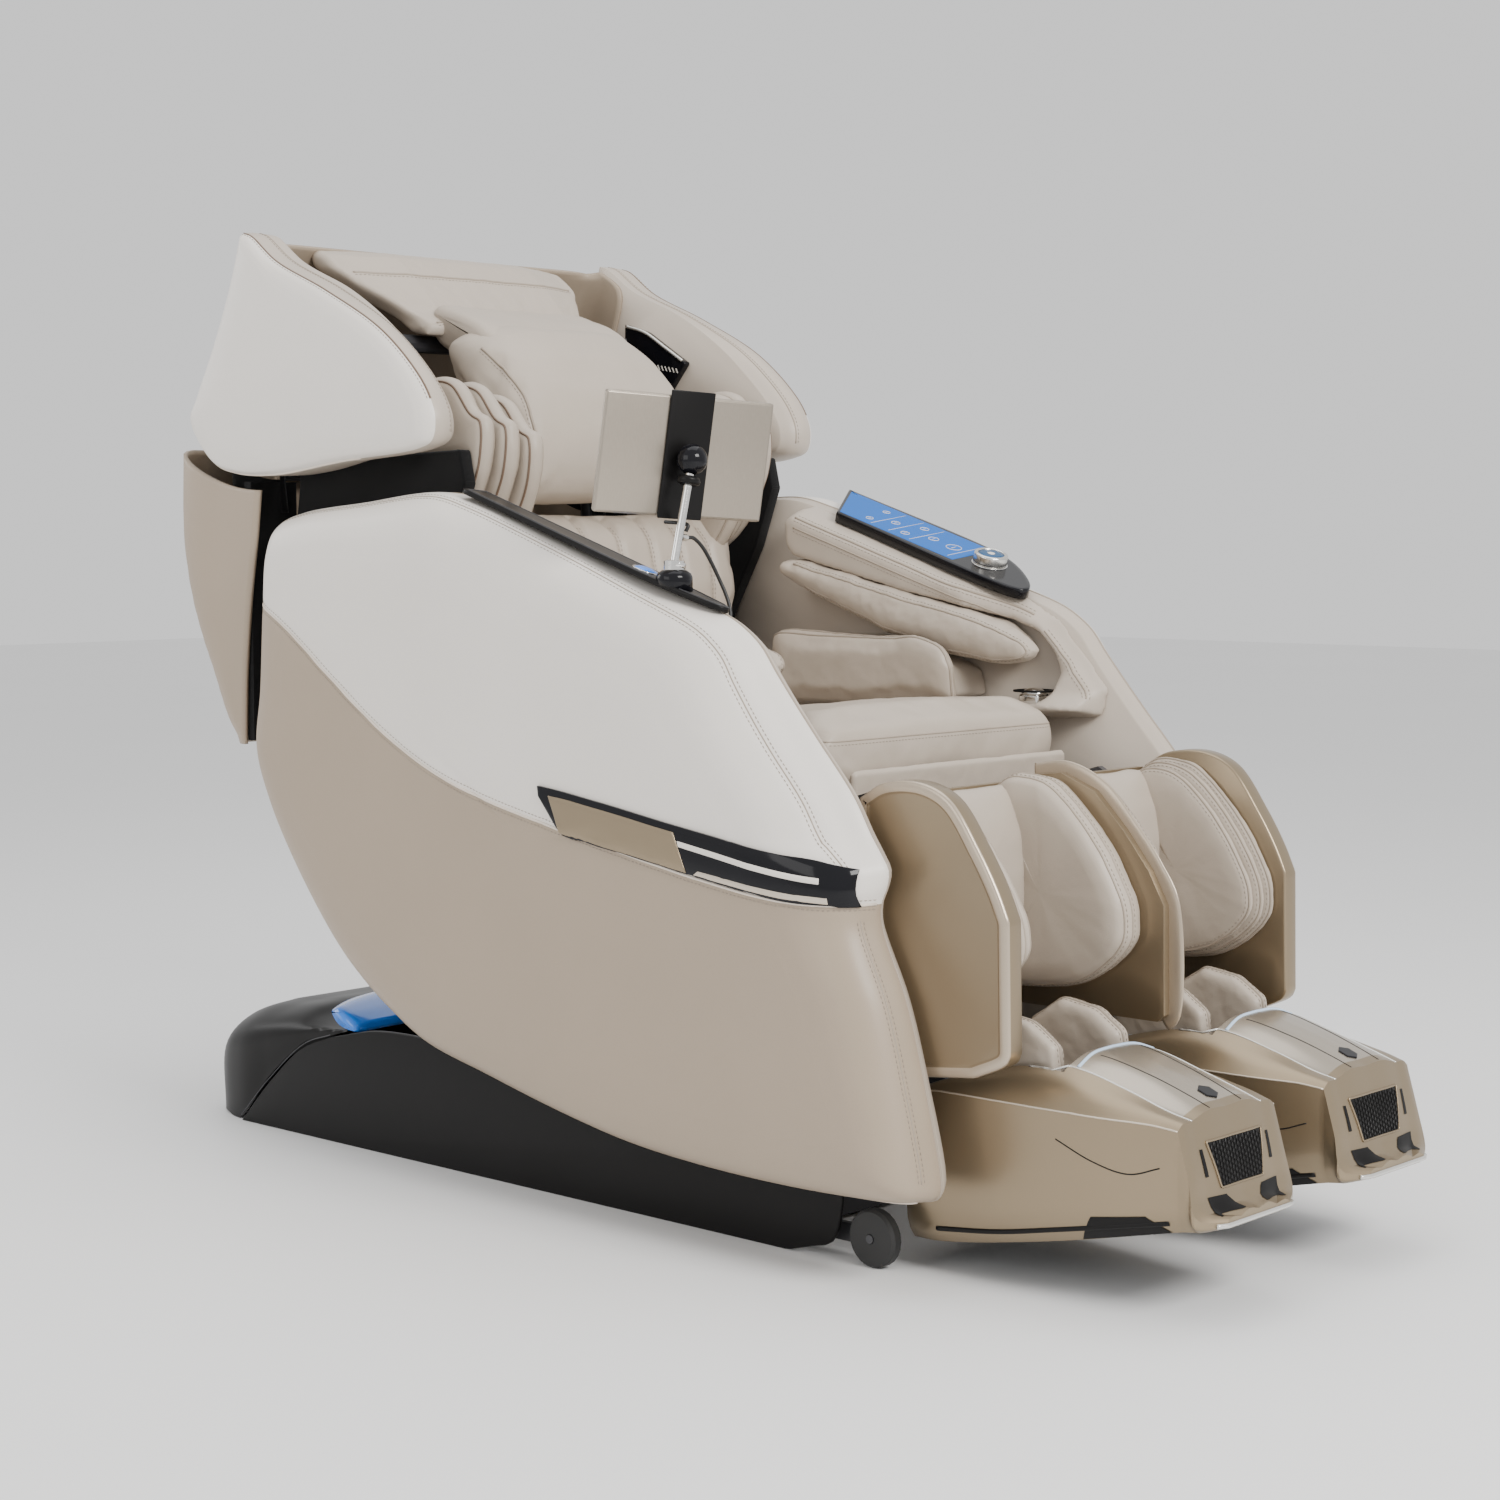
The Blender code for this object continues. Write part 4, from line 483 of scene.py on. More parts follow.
def math_node(m, op, a, b=None):
    n = m.node_tree.nodes.new("ShaderNodeMath")
    n.operation = op
    for i, v in enumerate((a, b)):
        if v is None:
            continue
        if isinstance(v, (int, float)):
            n.inputs[i].default_value = v
        else:
            link(m, v, n.inputs[i])
    return n.outputs[0]


def mix_colour(m, factor, a, b):
    n = m.node_tree.nodes.new("ShaderNodeMix")
    n.data_type = "RGBA"
    link(m, factor, n.inputs[0])
    for v, socket in ((a, n.inputs[6]), (b, n.inputs[7])):
        if isinstance(v, tuple):
            socket.default_value = (*v, 1.0)
        else:
            link(m, v, socket)
    return n.outputs[2]


def shade(rgb, k):
    return tuple(min(1.0, c * k) for c in rgb)


def mottled(m, vec, rgb, scale, low=0.93, high=1.05, detail=3.0):
    n = add_node(m, "ShaderNodeTexNoise", Scale=scale, Detail=detail)
    link(m, vec, n.inputs["Vector"])
    return mix_colour(m, n.outputs["Fac"], shade(rgb, low), shade(rgb, high))


def leather(name, rgb, rough=0.44, second=None, attr="seam", grain=0.22, bump_m=0.00028, wide=0.0, third=None):
    """Fine pebbled artificial leather. second is the colour where the named attribute is negative."""
    m = make(name, rgb, rough, spec=0.45, coat=0.06, coat_rough=0.35)
    b = m.node_tree.nodes["Principled BSDF"]
    vec = place(m)
    colour = mottled(m, vec, rgb, 7.0, 0.955, 1.03)
    if second:
        a = add_node(m, "ShaderNodeAttribute")
        a.attribute_name = attr
        is_low = math_node(m, "LESS_THAN", a.outputs["Fac"], 0.0)
        colour = mix_colour(m, is_low, colour, mottled(m, vec, second, 6.0, 0.95, 1.04))
    if third:
        a = add_node(m, "ShaderNodeAttribute")
        a.attribute_name = "lining"
        colour = mix_colour(m, math_node(m, "LESS_THAN", a.outputs["Fac"], 0.0), colour, mottled(m, vec, third, 6.0, 0.95, 1.04))
    fine = add_node(m, "ShaderNodeTexVoronoi", Scale=760.0, Randomness=1.0)
    link(m, vec, fine.inputs["Vector"])
    crease = add_node(m, "ShaderNodeTexNoise", Scale=240.0, Detail=4.0, Roughness=0.6)
    link(m, vec, crease.inputs["Vector"])
    soft = add_node(m, "ShaderNodeTexNoise", Scale=26.0, Detail=3.0)
    link(m, vec, soft.inputs["Vector"])
    dark = math_node(m, "MULTIPLY", fine.outputs["Distance"], 0.10)
    n = m.node_tree.nodes.new("ShaderNodeMix")
    n.data_type = "RGBA"
    n.blend_type = "MULTIPLY"
    link(m, dark, n.inputs[0])
    link(m, colour, n.inputs[6])
    n.inputs[7].default_value = (0.55, 0.5, 0.45, 1.0)
    link(m, n.outputs[2], b.inputs["Base Color"])
    r = math_node(m, "MULTIPLY_ADD", soft.outputs["Fac"], 0.10)
    r.node.inputs[2].default_value = rough - 0.05
    link(m, r, b.inputs["Roughness"])
    height = math_node(m, "ADD", math_node(m, "MULTIPLY", fine.outputs["Distance"], -0.7), math_node(m, "MULTIPLY", crease.outputs["Fac"], 0.8))
    bump = add_node(m, "ShaderNodeBump", Strength=grain, Distance=bump_m)
    link(m, height, bump.inputs["Height"])
    last = bump
    if wide:
        # soft crumples of the cover
        w = add_node(m, "ShaderNodeTexNoise", Scale=34.0, Detail=2.0, Distortion=0.6)
        link(m, vec, w.inputs["Vector"])
        b2 = add_node(m, "ShaderNodeBump", Strength=wide, Distance=0.004)
        link(m, w.outputs["Fac"], b2.inputs["Height"])
        link(m, bump.outputs["Normal"], b2.inputs["Normal"])
        last = b2
    link(m, last.outputs["Normal"], b.inputs["Normal"])
    return m


def painted(name, rgb, rough=0.34, metal=0.7, flakes=0.08, coat=0.15, bump=0.05):
    """Moulded plastic with satin metallic paint."""
    m = make(name, rgb, rough, metal, coat=coat, coat_rough=0.25)
    b = m.node_tree.nodes["Principled BSDF"]
    vec = place(m)
    f = add_node(m, "ShaderNodeTexNoise", Scale=1400.0, Detail=2.0, Roughness=0.8)
    link(m, vec, f.inputs["Vector"])
    wide = add_node(m, "ShaderNodeTexNoise", Scale=5.0, Detail=2.0)
    link(m, vec, wide.inputs["Vector"])
    base = mix_colour(m, wide.outputs["Fac"], shade(rgb, 0.95), shade(rgb, 1.05))
    colour = mix_colour(m, f.outputs["Fac"], base, shade(rgb, 1.0 + flakes * 2))
    link(m, colour, b.inputs["Base Color"])
    r = math_node(m, "MULTIPLY_ADD", f.outputs["Fac"], 0.12)
    r.node.inputs[2].default_value = rough - 0.06
    link(m, r, b.inputs["Roughness"])
    bp = add_node(m, "ShaderNodeBump", Strength=bump, Distance=0.0002)
    link(m, f.outputs["Fac"], bp.inputs["Height"])
    link(m, bp.outputs["Normal"], b.inputs["Normal"])
    return m


def plastic(name, rgb, rough=0.35, bump=0.08, scale=900.0, coat=0.0):
    """Fine spark-eroded plastic."""
    m = make(name, rgb, rough, coat=coat, coat_rough=0.08)
    b = m.node_tree.nodes["Principled BSDF"]
    vec = place(m)
    f = add_node(m, "ShaderNodeTexNoise", Scale=scale, Detail=3.0, Roughness=0.7)
    link(m, vec, f.inputs["Vector"])
    wide = add_node(m, "ShaderNodeTexNoise", Scale=9.0, Detail=3.0)
    link(m, vec, wide.inputs["Vector"])
    link(m, mix_colour(m, wide.outputs["Fac"], shade(rgb, 0.85), shade(rgb, 1.2)), b.inputs["Base Color"])
    r = math_node(m, "MULTIPLY_ADD", wide.outputs["Fac"], 0.08)
    r.node.inputs[2].default_value = max(0.02, rough - 0.04)
    link(m, r, b.inputs["Roughness"])
    bp = add_node(m, "ShaderNodeBump", Strength=bump, Distance=0.0002)
    link(m, f.outputs["Fac"], bp.inputs["Height"])
    link(m, bp.outputs["Normal"], b.inputs["Normal"])
    return m


def brushed(name, rgb, rough=0.25, along=(1, 60, 60), strength=0.06, metal=1.0):
    m = make(name, rgb, rough, metal)
    b = m.node_tree.nodes["Principled BSDF"]
    vec = place(m, along)
    f = add_node(m, "ShaderNodeTexNoise", Scale=14.0, Detail=5.0, Roughness=0.7)
    link(m, vec, f.inputs["Vector"])
    link(m, mix_colour(m, f.outputs["Fac"], shade(rgb, 0.86), shade(rgb, 1.1)), b.inputs["Base Color"])
    r = math_node(m, "MULTIPLY_ADD", f.outputs["Fac"], 0.16)
    r.node.inputs[2].default_value = max(0.02, rough - 0.08)
    link(m, r, b.inputs["Roughness"])
    bp = add_node(m, "ShaderNodeBump", Strength=strength, Distance=0.0003)
    link(m, f.outputs["Fac"], bp.inputs["Height"])
    link(m, bp.outputs["Normal"], b.inputs["Normal"])
    return m


def woven(name, rgb, scale=520.0, rough=0.8):
    m = make(name, rgb, rough, sheen=0.15)
    b = m.node_tree.nodes["Principled BSDF"]
    vec = place(m)
    w1 = add_node(m, "ShaderNodeTexWave", Scale=scale)
    w1.wave_type, w1.bands_direction = "BANDS", "Z"
    w2 = add_node(m, "ShaderNodeTexWave", Scale=scale)
    w2.wave_type, w2.bands_direction = "BANDS", "Y"
    link(m, vec, w1.inputs["Vector"])
    link(m, vec, w2.inputs["Vector"])
    h = math_node(m, "MULTIPLY", w1.outputs["Fac"], w2.outputs["Fac"])
    link(m, mix_colour(m, h, shade(rgb, 0.6), shade(rgb, 1.6)), b.inputs["Base Color"])
    bp = add_node(m, "ShaderNodeBump", Strength=0.35, Distance=0.0006)
    link(m, h, bp.inputs["Height"])
    link(m, bp.outputs["Normal"], b.inputs["Normal"])
    return m


WHITE = (0.80, 0.755, 0.70)
TAN = (0.37, 0.295, 0.22)
BEIGE = (0.46, 0.395, 0.325)
CREAM = (0.72, 0.64, 0.55)

M_PANEL = leather("panel leather", WHITE, 0.40, second=TAN, grain=0.14, third=(0.50, 0.435, 0.365))
M_WING = leather("wing leather", WHITE, 0.42, second=(0.50, 0.435, 0.365), grain=0.14)
M_TAN = leather("tan leather", TAN, 0.44)
M_BEIGE = leather("beige leather", BEIGE, 0.46, grain=0.25, wide=0.05)
M_SOFT = leather("soft leather", (0.47, 0.405, 0.335), 0.45, grain=0.3, wide=0.16)
M_ARM = leather("armrest leather", (0.50, 0.435, 0.365), 0.45, grain=0.18)
M_PIPING = leather("piping", CREAM, 0.4)
M_EDGE = leather("edge piping", (0.36, 0.30, 0.24), 0.42)
M_THREAD = plastic("thread", (0.30, 0.25, 0.20), 0.6)
M_CHAMPAGNE = painted("champagne paint", (0.27, 0.21, 0.137), 0.33, 0.75)
M_CHAMPAGNE_LIGHT = painted("light champagne paint", (0.56, 0.49, 0.40), 0.32, 0.6)
M_HOOD = painted("pale satin paint", (0.38, 0.335, 0.275), 0.24, 0.65)
M_BLACK = plastic("black plastic", (0.007, 0.0065, 0.0065), 0.34, 0.05)
M_GLOSS = plastic("black gloss", (0.006, 0.006, 0.008), 0.12, 0.0, coat=0.15)
M_LINER = woven("dark liner", (0.006, 0.006, 0.0065), 900.0, 0.75)
M_STEEL = painted("frame paint", (0.05, 0.05, 0.055), 0.4, 0.3)
M_CHROME = brushed("polished chrome", (0.78, 0.77, 0.75), 0.12, (1, 1, 40), 0.01)
M_RING = brushed("turned ring", (0.74, 0.72, 0.68), 0.2, (1, 1, 60), 0.03)
M_TABLET = brushed("tablet metal", (0.36, 0.315, 0.26), 0.36, (60, 60, 1), 0.015, 0.75)
M_SCREEN = plastic("screen glass", (0.006, 0.007, 0.010), 0.06, 0.0, coat=1.0)
# painted blue reflection: the blue of the touch panel's face stands for blue surroundings mirrored in the black glass
M_PAINTED_BLUE_REFLECTION = brushed("painted blue reflection panel", (0.006, 0.13, 0.50), 0.42, (4, 40, 40), 0.02, 0.0)
# painted reflection: dark blue standing for blue surroundings mirrored in the dial's dark top
M_PAINTED_DARK_BLUE_REFLECTION = brushed("painted dark blue reflection", (0.02, 0.10, 0.24), 0.2, (4, 30, 30), 0.02, 0.4)
# painted reflection: the saturated blue of the lenses stands for blue surroundings mirrored in them
M_LENS_PAINTED_BLUE_REFLECTION = plastic("lens with painted blue reflection", (0.01, 0.20, 0.80), 0.12, 0.0, coat=0.6)
# painted highlight: pale blue-white standing for blue surroundings reflected on the pod hoods
M_PAINTED_PALE_BLUE_HIGHLIGHT = plastic("painted pale blue highlight band", (0.52, 0.66, 0.84), 0.2, 0.02, coat=0.4)
M_SILVER = painted("silver strip", (0.62, 0.61, 0.58), 0.22, 0.7)
M_LIGHT = plastic("light strip", (0.78, 0.73, 0.66), 0.25, 0.02, coat=0.3)
for dark in (M_BLACK, M_GLOSS, M_PAINTED_BLUE_REFLECTION, M_PAINTED_DARK_BLUE_REFLECTION, M_SCREEN):
    dark.node_tree.nodes["Principled BSDF"].inputs["Specular IOR Level"].default_value = 0.16
M_LINER.node_tree.nodes["Principled BSDF"].inputs["Specular IOR Level"].default_value = 0.05
M_RUBBER = plastic("rubber", (0.018, 0.018, 0.018), 0.6, 0.3, 300.0)
M_WORKS = plastic("works plastic", (0.035, 0.035, 0.038), 0.45)
M_RIM = painted("pale rim", (0.44, 0.365, 0.28), 0.3, 0.6)


# ---------------------------------------------------------------- helpers that know the chair
NODES = frame["nodes"]


def copy_node(node, material, name=None, bevel=0.0, smooth=True, levels=0, angle=30):
    mesh = NODES[node].data.copy()
    mesh.transform(NODES[node].matrix_world)
    obj = bpy.data.objects.new(name or "look_" + node, mesh)
    mesh.name = obj.name
    SCENE.collection.objects.link(obj)
    mesh.materials.clear()
    mesh.materials.append(material)
    mesh.polygons.foreach_set("material_index", [0] * len(mesh.polygons))
    bm = bmesh.new()
    bm.from_mesh(mesh)
    bmesh.ops.remove_doubles(bm, verts=bm.verts, dist=1e-6)
    bmesh.ops.dissolve_limit(bm, angle_limit=0.002, verts=bm.verts, edges=bm.edges)
    bmesh.ops.recalc_face_normals(bm, faces=bm.faces)
    bm.to_mesh(mesh)
    bm.free()
    for a in [a.name for a in mesh.attributes if a.name == "custom_normal"]:
        mesh.attributes.remove(mesh.attributes[a])
    mesh.shade_flat()
    if bevel:
        bevelled(obj, bevel, 3, angle)
    if smooth:
        obj.data.shade_smooth()
        obj.data.set_sharp_from_angle(angle=math.radians(angle))
    return obj


def soft_copy(node, material, voxel=0.006, rounds=6, puff=None, folds=0.0, fold_scale=22.0, levels=1, seed=0.0, cap=0.006, pins=None, name=None):
    """A cushion grown from its frame piece: remeshed, rounded, blown up a little and crumpled."""
    obj = copy_node(node, material, name, smooth=False)
    modifier(obj, "REMESH", mode="VOXEL", voxel_size=voxel, use_smooth_shade=True)
    modifier(obj, "SMOOTH", factor=0.5, iterations=rounds)
    apply_modifiers(obj)
    if puff:
        inflate(obj, voxel, puff, cap, pins)
    elif levels:
        modifier(obj, "SUBSURF", levels=levels, render_levels=levels)
        apply_modifiers(obj)
    obj.data.materials.clear()
    obj.data.materials.append(material)
    if folds:
        wrinkles(obj, folds, fold_scale, seed=seed)
    obj.data.shade_smooth()
    return obj


def seam_line(name, surface, points, body, r=0.0016, material=None, rows=(), pitch=0.006, sink=0.3, closed=False, thread=None):
    """Piping or a seam along a path on a surface, with stitch rows beside it. Returns its objects."""
    tree = surface if isinstance(surface, BVHTree) else tree_of(surface)
    found, ups = on_surface(tree, points)
    pts = [p - u * (r * sink) for p, u in zip(found, ups)]
    made = []
    if r:
        made.append(tube(name, pts, r, material or M_PIPING, body, 8, closed))
    parts = []
    for off in rows:
        row, row_up = [], []
        for i, (p, u) in enumerate(zip(found, ups)):
            t = (found[min(i + 1, len(found) - 1)] - found[max(i - 1, 0)])
            side = t.cross(u)
            if side.length < 1e-9:
                continue
            hit = tree.find_nearest(p + side.normalized() * off)
            row.append(hit[0])
            row_up.append(hit[1])
        if len(row) > 3:
            parts.append(stitches_data(row, row_up, pitch))
    if parts:
        made.append(new_object(name + "_thread", *join_data(parts), thread or M_THREAD, body))
    return made


def two(objs, base, bodies, nodes=()):
    """Left pieces that are final: lets them ride and makes their mirror images."""
    bodies = (bodies, bodies) if isinstance(bodies, str) else bodies
    for i, obj in enumerate(objs):
        if obj.parent is not None:
            obj.parent = None
        pair(obj, base if i == 0 else f"{base}_{obj.name}", bodies, nodes if i == 0 else ())


def extrude(name, outline, x0, x1, material, round_by=0.0015, steps=3, body=None):
    """A flat side piece with rounded edges, from (y, z) points in the scene's frame."""
    rows = []
    for k in range(steps + 1):
        a = math.pi / 2 * k / steps
        rows.append((x0 + round_by * (1 - math.sin(a)), round_by * (1 - math.cos(a))))
    prof = [(x0 + round_by * (1 - math.cos(math.pi / 2 * k / steps)), round_by * (1 - math.sin(math.pi / 2 * k / steps))) for k in range(steps + 1)]
    prof += [(x1 - round_by * (1 - math.sin(math.pi / 2 * k / steps)), round_by * (1 - math.cos(math.pi / 2 * k / steps))) for k in range(steps + 1)]
    rings = [[(x, y, z) for y, z in inset(outline, d)] for x, d in prof]
    return loft(name, rings, material, body)


def side2(points):
    return [(D(y), z) for y, z in points]


# ---------------------------------------------------------------- big side panels and wings
PANEL = [
    (0.355, 0.532), (0.346, 0.610), (0.338, 0.722), (0.330, 0.790), (0.313, 0.820), (0.268, 0.834), (0.150, 0.846), (0.009, 0.857),
    (-0.057, 0.8427), (-0.203, 0.795), (-0.327, 0.7545), (-0.439, 0.7190), (-0.466, 0.706), (-0.494, 0.685), (-0.517, 0.656),
    (-0.543, 0.625), (-0.577, 0.586), (-0.630, 0.526), (-0.655, 0.486), (-0.672, 0.462), (-0.679, 0.450), (-0.677, 0.433),
    (-0.669, 0.414), (-0.669, 0.390), (-0.705, 0.306), (-0.730, 0.218), (-0.752, 0.120), (-0.750, 0.106), (-0.735, 0.099),
    (-0.645, 0.092), (-0.550, 0.0900), (-0.440, 0.0925), (-0.330, 0.101), (-0.213, 0.120), (-0.085, 0.147), (0.025, 0.173),
    (0.088, 0.204), (0.133, 0.232), (0.193, 0.281), (0.273, 0.375), (0.329, 0.462),
]
PANEL_RINGS = [
    (0.296, 0.014, 0.016, 0.004, 0.002, 0.004, -0.002), (0.315, 0, 0, 0, 0, 0, 0), (0.338, 0.020, 0.004, 0.002, 0.0012, 0.002, 0.003),
    (0.356, 0.037, 0.012, 0.0055, 0.0055, 0.0055, 0.004), (0.368, 0.052, 0.024, 0.011, 0.013, 0.012, 0),
    (0.379, 0.074, 0.046, 0.022, 0.029, 0.024, 0), (0.386, 0.102, 0.076, 0.042, 0.056, 0.046, 0), (0.390, 0.150, 0.125, 0.080, 0.100, 0.088, 0),
]
PANEL_SEAM = [
    (0.338, 0.724), (0.263, 0.691), (0.168, 0.628), (0.072, 0.567), (-0.020, 0.523), (-0.110, 0.496), (-0.213, 0.474),
    (-0.313, 0.455), (-0.470, 0.428), (-0.579, 0.415), (-0.681, 0.413),
]
WING = [
    (0.386, 1.199), (0.408, 1.140), (0.450, 1.049), (0.486, 0.984), (0.499, 0.958), (0.456, 0.902), (0.410, 0.887), (0.325, 0.883),
    (0.187, 0.898), (0.040, 0.912), (0.016, 0.922), (0.010, 0.948), (0.020, 0.976), (0.045, 1.008), (0.110, 1.062), (0.218, 1.117),
    (0.320, 1.160), (0.370, 1.194),
]
WING_RINGS = [
    (0.302, 0.026, 0.022, 0.004, 0, 0, 0), (0.318, 0.008, 0.006, 0.001, 0, 0, 0), (0.334, 0, 0, 0, 0, 0, 0), (0.346, 0.002, 0.002, 0, 0.002, 0.001, 0),
    (0.355, 0.009, 0.008, 0.003, 0.007, 0.006, 0), (0.361, 0.024, 0.022, 0.012, 0.018, 0.016, 0), (0.364, 0.052, 0.048, 0.034, 0.036, 0.034, 0),
]


class Crowned:
    """A side piece with a crowned outer face, in many fine rings."""

    def __init__(self, outline, centre, radii, rings, count, fine, sharp=()):
        self.c = np.array([D(centre[0]), centre[1]])
        self.radii = radii
        self.outline = np.array(spline(side2(outline), count, closed=True, sharp=sharp))
        self.rings = np.array(spline([(r[0] * 1.0, *r[1:]) for r in rings], fine))
        self.rings = self.rings[np.argsort(self.rings[:, 0], kind="stable")]

    def ring(self, x, pull=0.0):
        r = [np.interp(x, self.rings[:, 0], self.rings[:, k]) for k in range(1, 7)]
        fu, fl, rear, top, bottom, lift = r
        P = self.outline
        d = P - self.c
        u, v = d[:, 0] / self.radii[0], d[:, 1] / self.radii[1]
        s = np.hypot(u, v)
        u, v = u / s, v / s
        up = np.clip((P[:, 1] - self.c[1] + 0.06) / 0.06, 0, 1)
        front = fl + (fu - fl) * up
        um, uM, vm, vM = np.minimum(u, 0) ** 2, np.maximum(u, 0) ** 2, np.minimum(v, 0) ** 2, np.maximum(v, 0) ** 2
        move = front * um + rear * uM + top * vM + bottom * vm + pull
        out = P - d / np.linalg.norm(d, axis=1, keepdims=True) * move[:, None]
        out[:, 1] += lift * vM
        return [(float(x), float(a), float(b)) for a, b in out]

    def mesh(self, name, material, dome=0.0015, groove=None, groove_at=()):
        rings = [self.ring(r[0]) for r in self.rings]
        last = np.array(rings[-1])
        mid = last.mean(axis=0)
        for s in (0.9, 0.78, 0.64, 0.48, 0.32, 0.16, 0.03):
            p = mid + (last - mid) * s
            p[:, 0] = last[0][0] + dome * (1 - s * s)
            rings.append([tuple(float(v) for v in q) for q in p])
        return loft(name, rings, material)


def grooves(obj, lines, depth, width):
    """Presses soft grooves into a side piece's outer face along (y, z) lines."""
    co, nr = coords(obj), normals(obj)
    total = np.zeros(len(co))
    for line in lines:
        pts = np.array(spline(line, 240))
        for start in range(0, len(co), 4000):
            part = co[start : start + 4000, 1:3]
            dist = np.sqrt(((part[:, None, :] - pts[None, :, :]) ** 2).sum(axis=2)).min(axis=1)
            total[start : start + 4000] += np.exp(-((dist / width) ** 2))
    total = np.minimum(total, 1) * (nr[:, 0] > 0.2)
    put_coords(obj, co - nr * (total * depth)[:, None])


def between(path, y0, y1, low=None, high=None):
    """The longest run of a closed path whose y is between y0 and y1 and whose z is between low and high."""
    ok = [y0 <= p[1] <= y1 and (low is None or p[2] >= low) and (high is None or p[2] <= high) for p in path]
    n = len(path)
    if all(ok):
        return list(path)
    start = next(i for i in range(n) if not ok[i])
    best, run = [], []
    for k in range(1, n + 1):
        i = (start + k) % n
        if ok[i]:
            run.append(path[i])
        else:
            best, run = max(best, run, key=len), []
    return max(best, run, key=len)


def build_panels():
    shape = Crowned(PANEL, (-0.160, 0.480), (0.55, 0.37), PANEL_RINGS, 440, 60)
    obj = shape.mesh("panel", M_PANEL, 0.0015)
    seam = spline(side2(PANEL_SEAM), 260)
    co = coords(obj)
    zs = np.interp(co[:, 1], [p[0] for p in seam], [p[1] for p in seam]) if seam[0][0] < seam[-1][0] else np.interp(
        co[:, 1], [p[0] for p in seam[::-1]], [p[1] for p in seam[::-1]]
    )
    attribute(obj, "seam", co[:, 2] - zs)
    attribute(obj, "lining", co[:, 0] - 0.3165)
    rim = shape.ring(0.3585)
    upper = between(rim, D(-0.66), D(0.33), low=0.45)
    grooves(obj, [seam[::4], [(p[1], p[2]) for p in upper[::6]]], 0.0016, 0.0045)
    tree = tree_of(obj)
    line, ups = [], []
    for y, z in seam:
        hit = tree.ray_cast(Vector((0.6, y, z)), Vector((-1, 0, 0)))
        if hit[0] is not None:
            line.append(hit[0])
    pieces = [obj]
    pieces += seam_line("panel_seam", tree, line, None, 0.0017, M_PIPING, rows=(0.0055, -0.0055), pitch=0.0058, sink=0.1)
    pieces += seam_line("panel_rim_seam", tree, upper, None, 0.0008, M_EDGE, rows=(0.0045, -0.0045), pitch=0.0058, sink=0.2)
    front = between(shape.ring(0.344), D(-0.80), D(-0.60), low=0.12, high=0.40)
    pieces += seam_line("panel_front_seam", tree, front, None, 0.0008, M_EDGE, rows=(0.004, -0.004), pitch=0.0058, sink=0.2)
    low = between(shape.ring(0.3385), D(-0.74), D(0.33), high=0.50)
    pieces += seam_line("panel_low_piping", tree, low, None, 0.0019, M_PIPING, sink=0.15)
    inner = shape.ring(0.3155)
    pieces += seam_line("panel_edge_piping", tree, inner, None, 0.0016, M_EDGE, sink=0.15, closed=True)
    two(pieces, "side_panel", "seat", ["side_panel"])
    return tree


def build_wings():
    shape = Crowned(WING, (0.260, 0.990), (0.24, 0.15), WING_RINGS, 300, 50, sharp=(0,))
    obj = shape.mesh("wing", M_WING, 0.0015)
    co = coords(obj)
    attribute(obj, "seam", co[:, 0] - 0.3475)
    tree = tree_of(obj)
    ring = shape.ring(0.3478)
    pieces = [obj]
    top = between(ring, D(0.02), D(0.40), low=0.955)
    pieces += seam_line("wing_top_piping", tree, top, None, 0.0014, M_DARK_PIPING, rows=(0.004,), pitch=0.0056, sink=0.2)
    rear = between(ring, D(0.15), D(0.52), high=1.15)
    pieces += seam_line("wing_low_piping", tree, rear, None, 0.0017, M_PIPING, sink=0.1)
    inner = between(shape.ring(0.320), D(0.0), D(0.40), low=0.93)
    pieces += seam_line("wing_inner_seam", tree, inner, None, 0.0010, M_EDGE, rows=(0.0035,), pitch=0.0056, sink=0.2)
    two(pieces, "wing", "back", ["wing"])


M_DARK_PIPING = leather("dark piping", (0.16, 0.105, 0.07), 0.4)
PANEL_TREE = build_panels()
build_wings()


# ---------------------------------------------------------------- trim on the outer faces
def patch_on(name, tree, low, high, lift, thick, material, rows=6, count=70, soft=0.0008):
    """A thin plate on the panel between two (y, z) lines."""
    a, b = np.array(spline(side2(low), count)), np.array(spline(side2(high), count))
    grid = []
    for k in range(rows + 1):
        t = k / rows
        line = []
        for p in a + (b - a) * t:
            hit = tree.ray_cast(Vector((0.6, float(p[0]), float(p[1]))), Vector((-1, 0, 0)))
            line.append(hit[0] + hit[1] * (lift + thick))
        grid.append(line)
    # rounded edges: the bevel below rounds them
    verts, faces = [], []
    for k in range(rows + 1):
        for i in range(count):
            verts.append(tuple(grid[k][i]))
    for k in range(rows):
        for i in range(count - 1):
            faces.append((k * count + i, k * count + i + 1, (k + 1) * count + i + 1, (k + 1) * count + i))
    obj = new_object(name, verts, faces, material)
    modifier(obj, "SOLIDIFY", thickness=thick + 0.001, offset=-1.0)
    modifier(obj, "BEVEL", width=soft, segments=2, limit_method="ANGLE", angle_limit=math.radians(50))
    apply_modifiers(obj)
    co = coords(obj)
    if normals(obj)[:, 0].mean() < -0.5:
        obj.data.flip_normals()
    obj.data.shade_smooth()
    obj.data.set_sharp_from_angle(angle=math.radians(50))
    return obj


